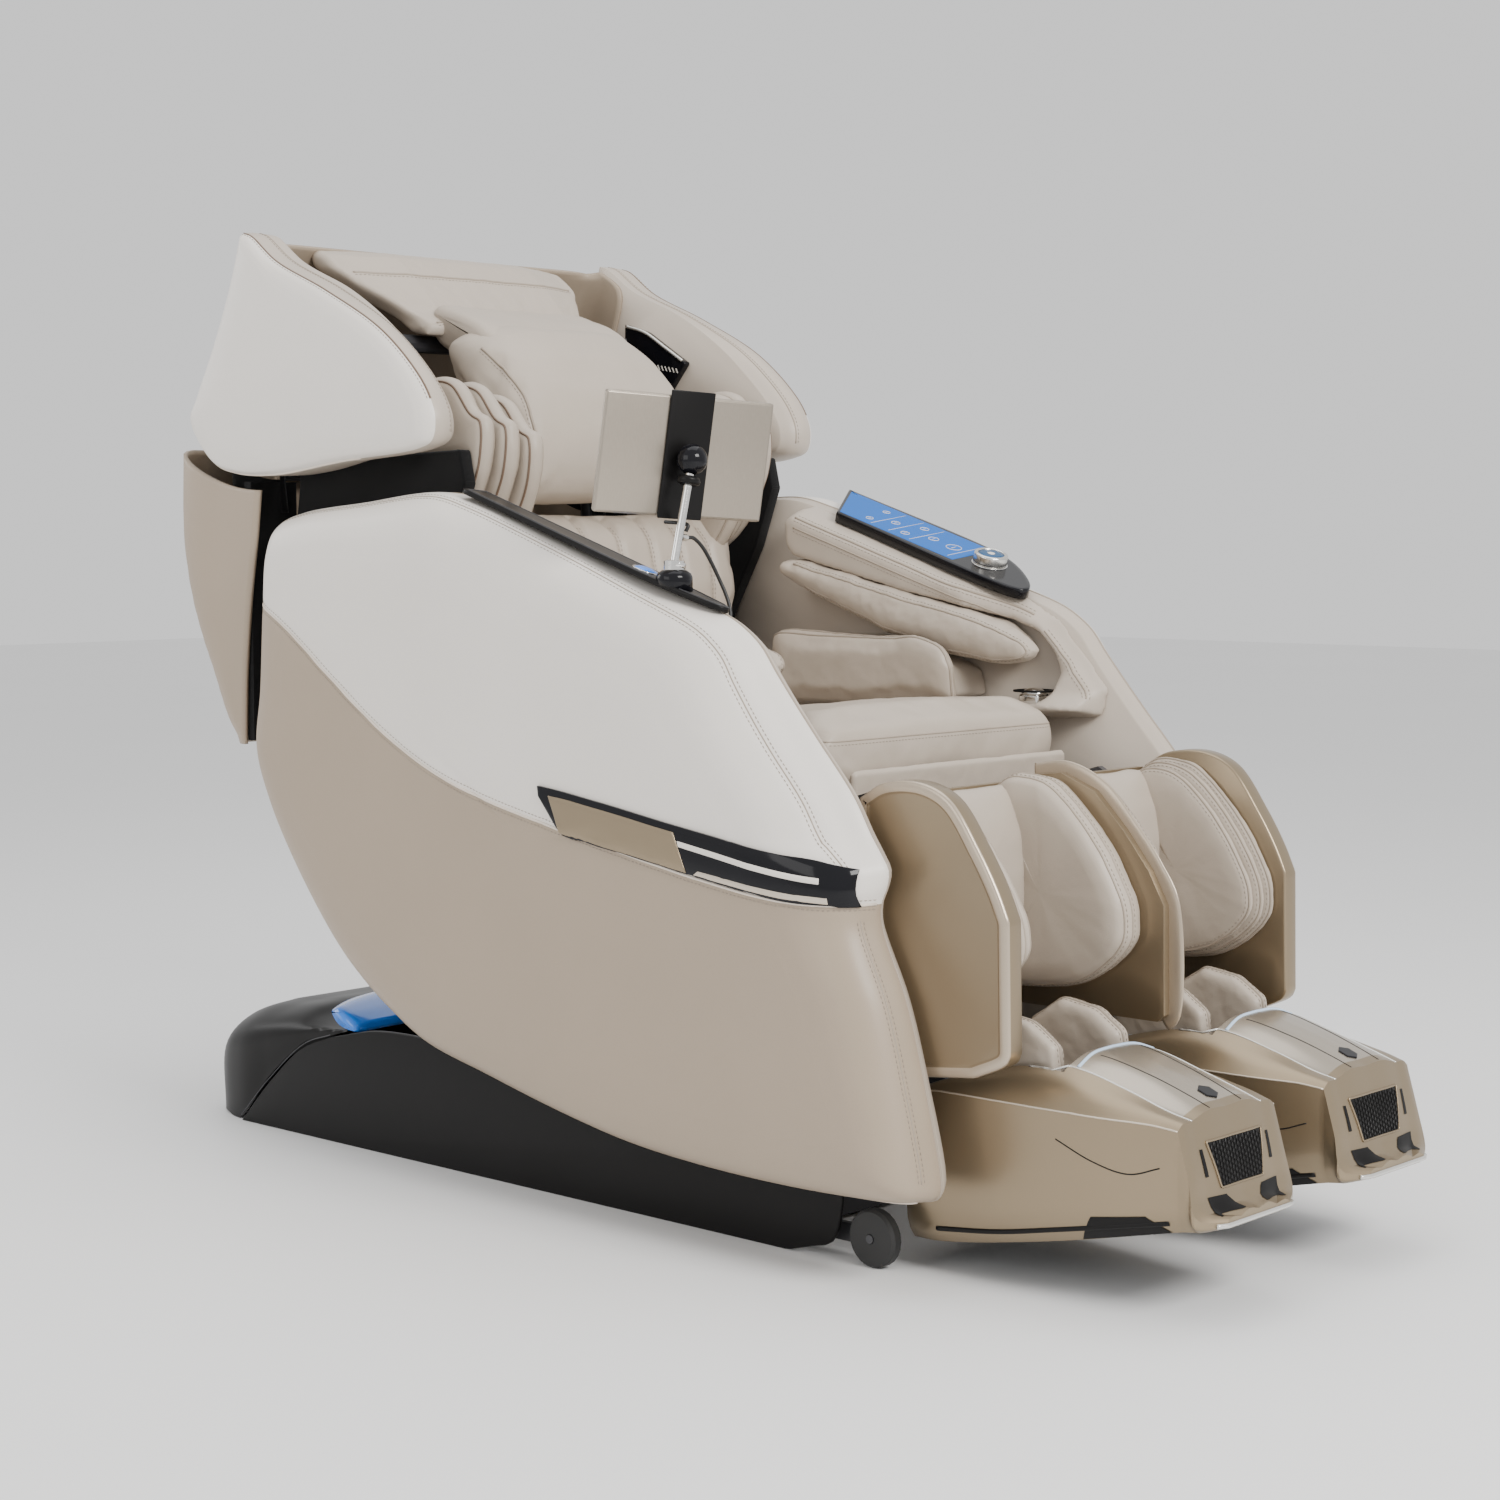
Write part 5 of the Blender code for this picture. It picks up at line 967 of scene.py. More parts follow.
TRIM = [
    (-0.212, 0.508, 0.517), (-0.249, 0.463, 0.513), (-0.300, 0.455, 0.506), (-0.350, 0.448, 0.499), (-0.400, 0.441, 0.491),
    (-0.450, 0.434, 0.484), (-0.500, 0.427, 0.477), (-0.550, 0.420, 0.469), (-0.585, 0.416, 0.465), (-0.610, 0.414, 0.462),
    (-0.630, 0.413, 0.460), (-0.645, 0.412, 0.457), (-0.656, 0.412, 0.454), (-0.664, 0.412, 0.450),
]


def trim_z(y, share):
    ys = [t[0] for t in TRIM][::-1]
    lo = np.interp(y, ys, [t[1] for t in TRIM][::-1])
    hi = np.interp(y, ys, [t[2] for t in TRIM][::-1])
    return float(lo + (hi - lo) * share)


def trim_line(y0, y1, s0, s1=None, n=12):
    s1 = s0 if s1 is None else s1
    return [(y0 + (y1 - y0) * k / (n - 1), trim_z(y0 + (y1 - y0) * k / (n - 1), s0 + (s1 - s0) * k / (n - 1))) for k in range(n)]


def build_trim():
    tree = PANEL_TREE
    pieces = [
        patch_on("trim_base", tree, trim_line(-0.215, -0.662, 0.0), trim_line(-0.213, -0.662, 1.0), 0.0002, 0.0034, M_GLOSS),
        patch_on("trim_plate", tree, [(-0.250, 0.4645)] + trim_line(-0.262, -0.452, 0.03), [(-0.232, 0.5065)] + trim_line(-0.262, -0.432, 0.85), 0.0030, 0.0016, M_CHAMPAGNE),
        patch_on("trim_stripe", tree, trim_line(-0.440, -0.632, 0.55, 0.50), trim_line(-0.438, -0.632, 0.68, 0.64), 0.0030, 0.0012, M_LIGHT, rows=2),
        patch_on("trim_lip", tree, trim_line(-0.462, -0.640, 0.03, 0.08), trim_line(-0.470, -0.640, 0.14, 0.22), 0.0030, 0.0012, M_CHAMPAGNE_LIGHT, rows=2),
    ]
    two(pieces, "side_trim", "seat", ["side_trim"])


build_trim()


# ---------------------------------------------------------------- back: shell, liner, flap, speakers
def build_back():
    rows = [
        (0.530, 0.530, 0.353, 0.392, 0.415), (0.560, 0.560, 0.353, 0.391, 0.440), (0.625, 0.625, 0.353, 0.388, 0.470),
        (0.720, 0.720, 0.353, 0.377, 0.512), (0.800, 0.810, 0.353, 0.363, 0.530), (0.864, 0.920, 0.353, 0.354, 0.528),
        (0.8785, 0.945, 0.300, 0.378, 0.512), (0.960, 0.985, 0.300, 0.385, 0.492), (1.030, 1.050, 0.299, 0.375, 0.468),
        (1.100, 1.110, 0.298, 0.352, 0.437), (1.160, 1.160, 0.297, 0.340, 0.410), (1.190, 1.188, 0.296, 0.380, 0.395),
    ]
    step = [(0.835, 0.880, 0.296, 0.372, 0.496), (0.8785, 0.935, 0.296, 0.378, 0.499), (0.905, 0.970, 0.296, 0.380, 0.490)]
    for k, part in enumerate((spline(rows[:6], 60), spline(rows[6:], 50), spline(step, 12))):
        grid = []
        for low, high, w, front, rear in part:
            rear += 0.010 * min(1.0, (rear - front) / 0.10)
            r = min(0.030, (rear - front) * 0.8)
            path = [(-w, front), (-w, (front + rear - r) / 2), (-w, rear - r), (-w + r * 0.30, rear - r * 0.30), (-w + r, rear), (-w * 0.4, rear + 0.006)]
            path = path + [(-x, y) for x, y in reversed(path)]
            line = spline(path, 90)
            grid.append([(x, D(y), low + (high - low) * min(1.0, max(0.0, (y - front) / (rear - front))) ** 2) for x, y in line])
        obj = loft(f"back_shell_{k}", grid, M_LINER if k == 2 else M_TAN, None, caps=(False, False), closed=False)
        modifier(obj, "SOLIDIFY", thickness=0.005, offset=-1.0)
        apply_modifiers(obj)
        if k == 0:
            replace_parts(obj, "back_shell")
            shell = obj
        elif k == 1:
            upper = obj
        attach(obj, "back")
    tree = tree_of(shell, upper)
    for k, z in enumerate((0.905, 1.0)):
        path = [(x, D(0.60), z) for x in np.linspace(-0.29, 0.29, 80)]
        out = []
        for p in path:
            hit = tree.ray_cast(Vector((p[0], D(0.75), p[2])), Vector((0, -1, 0)))
            if hit[0] is not None:
                out.append(hit[0])
        if len(out) > 10:
            seam_line(f"back_shell_seam_{k}", tree, out, "back", 0.0012, M_PIPING, rows=(0.004, -0.004), sink=0.2)
    for x in (-0.12, 0.12):
        out = []
        for z in np.linspace(0.56, 1.16, 90):
            hit = tree.ray_cast(Vector((x, D(0.75), float(z))), Vector((0, -1, 0)))
            if hit[0] is not None:
                out.append(hit[0])
        seam_line(f"back_shell_line_{'l' if x > 0 else 'r'}", tree, out, "back", 0.0012, M_PIPING, rows=(0.004, -0.004), sink=0.2)
    liner = copy_node("back_liner", M_LINER, bevel=0.003)
    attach(liner, "back")
    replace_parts(liner, "back_liner")
    neck_ol = spline(side2([(0.262, 1.108), (0.214, 1.100), (0.166, 1.080), (0.136, 1.050), (0.160, 1.034), (0.262, 1.064)]), 80, closed=True)
    neck = loft("head_bridge", [[(x, y, z) for y, z in inset(neck_ol, d)] for x, d in ((-0.134, 0.012), (-0.131, 0.006), (-0.126, 0.002), *[(-0.12 + 0.02 * k, 0.0) for k in range(13)], (0.126, 0.002), (0.131, 0.006), (0.134, 0.012))], M_SOFT)
    wrinkles(neck, 0.001, 24, seed=5)
    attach(neck, "back")
    for s, tag in ((-1, "r"), (1, "l")):
        a, b = sorted((s * 0.270, s * 0.345))
        v = [(x, D(y), z) for x in (a, b) for y in (0.382, 0.396) for z in (0.535, 0.875)]
        f = [(0, 1, 3, 2), (4, 6, 7, 5), (0, 4, 5, 1), (2, 3, 7, 6), (0, 2, 6, 4), (1, 5, 7, 3)]
        plate = new_object(f"shell_liner_{tag}", v, f, M_LINER, smooth=False)
        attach(plate, "back")
    flap = soft_copy("head_flap", M_SOFT, 0.005, 6, folds=0.0009, fold_scale=26, seed=4)
    co = coords(flap)
    t = np.clip((1.165 - co[:, 2]) / 0.08, 0, 1)
    co[:, 0] *= 0.86 - 0.24 * t * t * (3 - 2 * t)
    co[:, 1] += 0.050 + 0.030 * np.clip((np.abs(co[:, 0]) - 0.12) / 0.08, 0, 1)
    put_coords(flap, co)
    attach(flap, "back")
    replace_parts(flap, "head_flap")
    ftree = tree_of(flap)
    edge = [(x, D(0.312) + 0.030 * min(1.0, max(0.0, (abs(x) - 0.12) / 0.08)), 1.160) for x in np.linspace(-0.200, 0.200, 120)]
    seam_line("head_flap_piping", ftree, edge, "back", 0.0020, M_EDGE, rows=(0.0055,), sink=0.2)
    seam_line("head_flap_low_seam", ftree, [(x, D(0.240), 1.088) for x in np.linspace(-0.144, 0.144, 70)], "back", 0.0016, M_EDGE, rows=(0.005,), sink=0.2)
    # speakers: gloss plate, white marks, pale strip above
    outline = side2([(0.440, 1.118), (0.384, 1.128), (0.280, 1.098), (0.200, 1.050), (0.236, 1.008), (0.326, 1.016)])
    outline = [p for p in outline]
    cutline = [(min(y, D(0.322)), z) for y, z in side2([(0.322, 1.1101), (0.280, 1.098), (0.200, 1.050), (0.236, 1.008), (0.322, 1.0156)])]
    plate = extrude("speaker_plate", spline(cutline, 80, closed=True, sharp=(0, 1, 2, 3, 4)), 0.2895, 0.3012, M_GLOSS, 0.0015)
    strip = tube("speaker_strip", spline([(0.2892, *p) for p in side2([(0.206, 1.0535), (0.240, 1.0735), (0.280, 1.0965), (0.318, 1.1075)])], 40), 0.0024, M_SILVER, None, 8)
    marks = []
    for k in range(7):
        y = D(0.214 + 0.0072 * k)
        z = 1.0395 + 0.0012 * k
        v = [(0.2888, y, z - 0.0035), (0.2888, y + 0.0016, z - 0.0035), (0.2888, y + 0.0052, z + 0.0035), (0.2888, y + 0.0036, z + 0.0035)]
        marks.append((v + [(x + 0.0012, a, b) for x, a, b in v], [(0, 1, 2, 3), (7, 6, 5, 4), (0, 4, 5, 1), (1, 5, 6, 2), (2, 6, 7, 3), (3, 7, 4, 0)]))
    lights = new_object("speaker_marks", *join_data(marks), M_LIGHT, smooth=False)
    two([plate, strip, lights], "speaker", "back", ["speaker"])


build_back()


# ---------------------------------------------------------------- pads of the back
def channel(obj, xs, depth, width, axis=0, where=None):
    """Soft valleys along planes x = const."""
    co, nr = coords(obj), normals(obj)
    total = np.zeros(len(co))
    for x in xs:
        total += np.exp(-(((co[:, axis] - x) / width) ** 2))
    total = np.minimum(total, 1.0)
    if where is not None:
        total *= where(co, nr)
    put_coords(obj, co - nr * (total * depth)[:, None])


def build_pads():
    front = lambda co, nr: (nr[:, 1] < -0.2).astype(float)
    pad = soft_copy("back_pad", M_SOFT, 0.006, 4, puff=3.0, cap=0.006, folds=0.0012, seed=1)
    channel(pad, (-0.17, -0.115, -0.06, 0.0, 0.06, 0.115, 0.17), 0.006, 0.007, 0, front)
    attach(pad, "back"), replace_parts(pad, "back_pad"), pad
    tree = tree_of(pad)
    for k, x in enumerate((-0.17, -0.115, -0.06, 0.0, 0.06, 0.115, 0.17)):
        path = [(x, D(0.0), z) for z in np.linspace(0.60, 0.815, 60)]
        out = [h[0] for h in (tree.ray_cast(Vector(p), Vector((0, 1, 0))) for p in path) if h[0] is not None]
        seam_line(f"back_pad_seam_{k}", tree, out, "back", 0.0009, M_EDGE, rows=(0.0035, -0.0035), sink=0.5)
    pillow = soft_copy("pillow", M_SOFT, 0.006, 5, puff=4.0, cap=0.008, folds=0.0010, fold_scale=14, seed=2)
    co = coords(pillow)
    co[:, 0] *= 0.70
    co[:, 1] += 0.024 * np.clip((co[:, 2] - 0.86) / 0.16, 0, 1)
    top = np.clip((co[:, 2] - 0.86) / 0.16, 0, 1)
    co[:, 2] += (0.026 - 0.030 * (np.abs(co[:, 0]) / 0.160) ** 4) * top
    put_coords(pillow, co)
    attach(pillow, "back"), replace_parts(pillow, "pillow"), pillow
    tree = tree_of(pillow)
    for s, tag in ((-1, "r"), (1, "l")):
        path = spline([(s * 0.1520, *p) for p in side2([(0.146, 1.050), (0.102, 1.020), (0.060, 0.984), (0.041, 0.932), (0.036, 0.870), (0.062, 0.846)])], 70)
        seam_line(f"pillow_piping_{tag}", tree, path, "back", 0.0021, M_EDGE, rows=(0.005,), sink=0.1)
    # shoulder air pads: nested leaves between the pillow and the wing
    SHOULDER = [
        (0.034, 0.962), (0.068, 0.998), (0.112, 1.004), (0.190, 0.975), (0.244, 0.930), (0.245, 0.860), (0.190, 0.800), (0.130, 0.775),
        (0.075, 0.800), (0.035, 0.850), (0.014, 0.900), (0.014, 0.950),
    ]
    leaves = []
    for n, (x0, x1, dy, dz) in enumerate(((0.2440, 0.2735, 0.0, 0.0), (0.2130, 0.2425, -0.012, -0.006), (0.1820, 0.2115, -0.022, -0.020))):
        base = [(y + dy, z + dz) for y, z in spline(side2(SHOULDER), 140, closed=True)]
        cy, cz = np.mean([p[0] for p in base]), np.mean([p[1] for p in base])
        rings = []
        for k in range(15):
            t = k / 14
            rings.append([(x0 + (x1 - x0) * t, y, z) for y, z in inset(base, 0.013 * abs(2 * t - 1) ** 2.4)])
        heads = [[(x0 - 0.0012 * (1 - q), cy + (y - cy) * q, cz + (z - cz) * q) for x, y, z in rings[0]] for q in (0.04, 0.3, 0.55, 0.8)]
        tails = [[(x1 + 0.0012 * (1 - q), cy + (y - cy) * q, cz + (z - cz) * q) for x, y, z in rings[-1]] for q in (0.8, 0.55, 0.3, 0.04)]
        leaf = loft(f"leaf_{n}", heads + rings + tails, M_SOFT)
        wrinkles(leaf, 0.0013, 26, (0.5, 1, 1), seed=n * 3.1)
        leaves.append(leaf)
        tree = tree_of(leaf)
        for q, share in enumerate((0.14, 0.86)):
            x = x0 + (x1 - x0) * share
            path = [(x, y, z) for y, z in inset(base, 0.013 * 0.72**2.4)]
            leaves += seam_line(f"leaf_piping_{n}_{q}", tree, path, None, 0.0015, M_DARK_PIPING if q else M_EDGE, rows=(), sink=0.0, closed=True)
    two(leaves, "shoulder_pad", "back", ["shoulder_pad"])
    seat = soft_copy("seat_cushion", M_SOFT, 0.007, 5, puff=4.0, cap=0.009, folds=0.0022, fold_scale=15, seed=5)
    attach(seat, "seat"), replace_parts(seat, "seat_cushion"), seat
    tree = tree_of(seat)
    path = [(x, D(-0.60), 0.512) for x in np.linspace(-0.215, 0.215, 90)]
    out = [h[0] for h in (tree.ray_cast(Vector(p), Vector((0, 1, 0))) for p in path) if h[0] is not None]
    seam_line("seat_front_piping", tree, out, "seat", 0.0022, M_EDGE, rows=(0.006, -0.006), sink=0.1)
    for k, z in enumerate((0.572,)):
        path = [(x, D(-0.60), z) for x in np.linspace(-0.215, 0.215, 90)]
        out = [h[0] for h in (tree.ray_cast(Vector(p), Vector((0, 1, 0))) for p in path) if h[0] is not None]
        seam_line(f"seat_seam_{k}", tree, out, "seat", 0.0012, M_EDGE, rows=(0.0045,), sink=0.3)
    flap = soft_copy("front_flap", M_SOFT, 0.004, 2, folds=0.0012, seed=8)
    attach(flap, "seat"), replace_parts(flap, "front_flap")
    # arms
    arm = soft_copy("armrest_left", M_ARM, 0.0042, 4, folds=0.0006, fold_scale=20, seed=6)
    arm.name = "armrest"
    tree = tree_of(arm)
    pieces = [arm]
    top_in = [(0.2440 + 0.035 * float(smoothstep((-0.300 - y) / 0.140)), D(y), 0.795 + 0.327 * (y + 0.203) + 0.145 * (0.246 - 0.305) - 0.006) for y in np.linspace(-0.05, -0.43, 90)]
    pieces += seam_line("armrest_top_seam", tree, top_in, None, 0.0018, M_EDGE, rows=(0.0055, -0.0055), sink=0.1)
    low_in = [(0.2440 + 0.035 * float(smoothstep((-0.300 - y) / 0.140)), D(y), 0.765 + 0.327 * (y + 0.203)) for y in np.linspace(-0.05, -0.43, 90)]
    pieces += seam_line("armrest_side_seam", tree, low_in, None, 0.0012, M_EDGE, rows=(0.005,), sink=0.2)
    nose = spline([(0.262, *p) for p in side2([(-0.455, 0.690), (-0.482, 0.660), (-0.505, 0.632), (-0.530, 0.605)])], 60)
    pieces += seam_line("armrest_nose_seam", tree, nose, None, 0.0012, M_EDGE, rows=(0.005, -0.005), sink=0.2)
    two(pieces, "armrest", "seat", ["armrest"])
    wedge = soft_copy("arm_pad_left", M_SOFT, 0.0045, 4, puff=3.5, cap=0.004, folds=0.0016, fold_scale=30, seed=7)
    wedge.name = "arm_pad"
    tree = tree_of(wedge)
    WEDGE = [(-0.0805, 0.732), (-0.2215, 0.680), (-0.322, 0.655), (-0.400, 0.6440), (-0.450, 0.6480), (-0.462, 0.6600), (-0.450, 0.6730), (-0.400, 0.6910), (-0.339, 0.7070), (-0.238, 0.7280), (-0.060, 0.7700)]
    path = spline([(0.2262, *p) for p in side2(WEDGE)], 120)
    two([wedge] + seam_line("arm_pad_piping", tree, path, None, 0.0017, M_EDGE, rows=(0.0045,), sink=0.1), "arm_pad", "seat", ["arm_pad"])
    hip = soft_copy("hip_pad_left", M_SOFT, 0.0045, 4, puff=3.5, cap=0.004, folds=0.0012, fold_scale=24, seed=9)
    hip.name = "hip_pad"
    tree = tree_of(hip)
    HIP = [(-0.035, 0.672), (-0.050, 0.678), (-0.300, 0.676), (-0.335, 0.664), (-0.352, 0.640), (-0.355, 0.5925), (-0.340, 0.582)]
    pieces = [hip]
    for n, (x, by) in enumerate(((0.2075, 0.004), (0.2190, 0.0))):
        path = spline([(x, y, z) for y, z in side2([(a + by * 0.6, b - by) for a, b in HIP])], 110)
        pieces += seam_line(f"hip_piping_{n}", tree, path, None, 0.0016, M_EDGE, rows=(), sink=0.1)
    two(pieces, "hip_pad", "seat", ["hip_pad"])


M_LINER_SOFT = leather("dark leather", (0.03, 0.026, 0.024), 0.5)
build_pads()


# ---------------------------------------------------------------- leg rest
def banded(name, rings, bands, mats, caps=(True, True)):
    """A loft whose rows of faces take the materials that bands names, one per row, then the two caps."""
    obj = loft(name, rings, None, None, caps)
    for m in mats:
        obj.data.materials.append(m)
    n = len(rings[0])
    index = []
    for r in range(len(rings) - 1):
        index += [bands[r]] * n
    index += [bands[0]] * (1 if caps[0] else 0) + [bands[-1]] * (1 if caps[1] else 0)
    obj.data.polygons.foreach_set("material_index", index)
    obj.data.update()
    return obj


def build_leg():
    CALF = [
        (-0.612, 0.522), (-0.646, 0.540), (-0.698, 0.543), (-0.737, 0.527), (-0.776, 0.477), (-0.801, 0.436), (-0.816, 0.404),
        (-0.819, 0.262), (-0.814, 0.252), (-0.772, 0.232), (-0.703, 0.224), (-0.612, 0.224),
    ]
    ol = spline(side2(CALF), 200, closed=True, sharp=(0, 6, 7, 9, 10, 11))
    prof = [(0.262, 0.003, 0), (0.2632, 0.0008, 0), (0.265, 0.0, 0), (0.284, 0.0, 0), (0.2862, 0.0006, 1), (0.2876, 0.0022, 1), (0.288, 0.0045, 1), (0.288, 0.0115, 1), (0.2868, 0.0130, 0), (0.2862, 0.0150, 0)]
    rings = [[(x, y, z) for y, z in inset(ol, d)] for x, d, _ in prof]
    last = rings[-1]
    cy, cz = np.mean([p[1] for p in last]), np.mean([p[2] for p in last])
    bands = [p[2] for p in prof][1:]
    shell = banded("calf_shell", rings, bands, (M_CHAMPAGNE, M_RIM))
    pieces = [shell]
    front = [p for p in inset(ol, 0.0) if p[0] < D(-0.70)]
    two(pieces, "calf_shell", "leg", ["calf_shell"])
    frame_look = copy_node("leg_frame", M_CHAMPAGNE, bevel=0.0015)
    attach(frame_look, "leg"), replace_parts(frame_look, "leg_frame")
    frame_look.data.materials.append(M_STEEL)
    co = coords(frame_look)
    idx = []
    for p in frame_look.data.polygons:
        c = p.center
        idx.append(0 if abs(c.x) < 0.0145 and c.z > 0.25 else 1)
    frame_look.data.polygons.foreach_set("material_index", idx)
    DIV = [(-0.640, 0.530), (-0.684, 0.535), (-0.730, 0.517), (-0.772, 0.474), (-0.806, 0.432), (-0.827, 0.394), (-0.829, 0.270), (-0.820, 0.262)]
    edge = spline([(0.0, *p) for p in side2(DIV)], 120)
    strip_v, strip_f = [], []
    for p in edge:
        for k in range(9):
            a = math.pi * (k / 8) - math.pi / 2
            strip_v.append((0.0128 * math.sin(a), p[1], p[2]))
    edge_obj = tube("divider_edge", [(0, p[1], p[2]) for p in edge], 0.0131, M_RIM, "leg", 16, False, 0.22, (1, 0, 0))
    # leaves of the outer calf pads and the inner pads
    CHEEK = [(-0.6125, 0.514), (-0.642, 0.533), (-0.690, 0.529), (-0.740, 0.490), (-0.786, 0.428), (-0.804, 0.385), (-0.800, 0.350), (-0.740, 0.302), (-0.6125, 0.285)]
    ol = spline(side2(CHEEK), 150, closed=True, sharp=(0, 8))

    def leaf(name, x0, x1, by, seed, depth=0.0014):
        base = inset(ol, by)
        cy, cz = np.mean([p[0] for p in base]), np.mean([p[1] for p in base])
        rings = []
        for k in range(11):
            t = k / 10
            rings.append([(x0 + (x1 - x0) * t, y, z) for y, z in inset(base, min(0.011, 0.62 * abs(x1 - x0)) * abs(2 * t - 1) ** 2.6)])
        heads = [[(x0, cy + (y - cy) * s, cz + (z - cz) * s) for x, y, z in rings[0]] for s in (0.04, 0.3, 0.55, 0.8)]
        tails = [[(x1, cy + (y - cy) * s, cz + (z - cz) * s) for x, y, z in rings[-1]] for s in (0.8, 0.55, 0.3, 0.04)]
        obj = loft(name, heads + rings + tails, M_SOFT)
        wrinkles(obj, depth, 30, (0.4, 1, 1), seed)
        return obj

    pieces = []
    for n, (x0, x1, by) in enumerate(((0.214, 0.2295, 0.010), (0.2300, 0.2450, 0.004), (0.2455, 0.2608, 0.0))):
        pieces.append(leaf(f"calf_leaf_{n}", x0, x1, by, 2.7 * n + 1))
        pieces += seam_line(f"calf_leaf_piping_{n}", tree_of(pieces[-1]), [(x0 + (x1 - x0) * 0.2, y, z) for y, z in inset(ol, by)], None, 0.0015, M_EDGE, rows=(0.0045,), sink=0.1, closed=True)
    inner = leaf("calf_inner", 0.0140, 0.0615, 0.0, 9.3, 0.0012)
    pieces.append(inner)
    tree = tree_of(inner)
    for n, x in enumerate((0.022, 0.040, 0.054)):
        pieces += seam_line(f"calf_inner_seam_{n}", tree, [(x, y, z) for y, z in ol], None, 0.0013, M_EDGE, rows=(0.004,), sink=0.2, closed=True)
    back = [(-0.6125, 0.513), (-0.636, 0.520), (-0.660, 0.480), (-0.668, 0.390), (-0.655, 0.290), (-0.6125, 0.286)]
    sheet_ol = spline(side2(back), 80, closed=True, sharp=(0, 5))
    rings = [[(x, y, z) for y, z in inset(sheet_ol, d)] for x, d in ((0.030, 0.006), (0.034, 0.001), *[(0.05 + 0.01 * k, 0) for k in range(18)], (0.235, 0), (0.241, 0.001), (0.245, 0.006))]
    mid = loft("calf_back", rings, M_SOFT)
    wrinkles(mid, 0.002, 24, seed=12)
    pieces.append(mid)
    two(pieces, "calf_pad", "leg", ["calf_pad"])


build_leg()

# ---------------------------------------------------------------- foot pods
POD = [
    (-0.650, 0.104, 0.030, 0.175, 0.080, 0.176, 0.177), (-0.665, 0.111, 0.032, 0.192, 0.086, 0.197, 0.199), (-0.690, 0.117, 0.034, 0.204, 0.090, 0.212, 0.214),
    (-0.740, 0.118, 0.041, 0.206, 0.080, 0.228, 0.236), (-0.800, 0.118, 0.052, 0.206, 0.074, 0.245, 0.254), (-0.860, 0.116, 0.064, 0.206, 0.072, 0.244, 0.256),
    (-0.920, 0.110, 0.077, 0.205, 0.070, 0.229, 0.243), (-0.970, 0.099, 0.088, 0.204, 0.070, 0.214, 0.225), (-0.996, 0.0925, 0.093, 0.200, 0.066, 0.207, 0.213),
    (-1.010, 0.0925, 0.095, 0.152, 0.066, 0.158, 0.163), (-1.021, 0.0925, 0.097, 0.112, 0.060, 0.116, 0.119), (-1.037, 0.060, 0.100, 0.107, 0.034, 0.109, 0.111),
]
PX = 0.144


def pod_section(row):
    y, w, low, crease, hood_w, hood_z, top = row
    arc = spline([(0.0, top), (hood_w * 0.55, (top + hood_z) / 2 + 0.004), (hood_w, hood_z)], 12)
    cheek = spline([(hood_w, hood_z), ((hood_w + w) / 2 + 0.004, (hood_z + crease) / 2 + 0.003), (w, crease)], 8)[1:]
    side = spline([(w, crease), (w, low + (crease - low) * 0.5), (w * 0.97, low + min(0.018, (crease - low) * 0.25)), (w * 0.86, low)], 12)[1:]
    flat = [(w * 0.86 * (1 - k / 4), low) for k in range(1, 5)]
    half = arc + cheek + side + flat
    kinds = [0] * 11 + [1] * 7 + [2] * 11 + [3] * 4
    return half, kinds, y


def pod_rows():
    a = spline(POD[:9], 64)
    b = spline(POD[8:], 16)[1:]
    return a + b


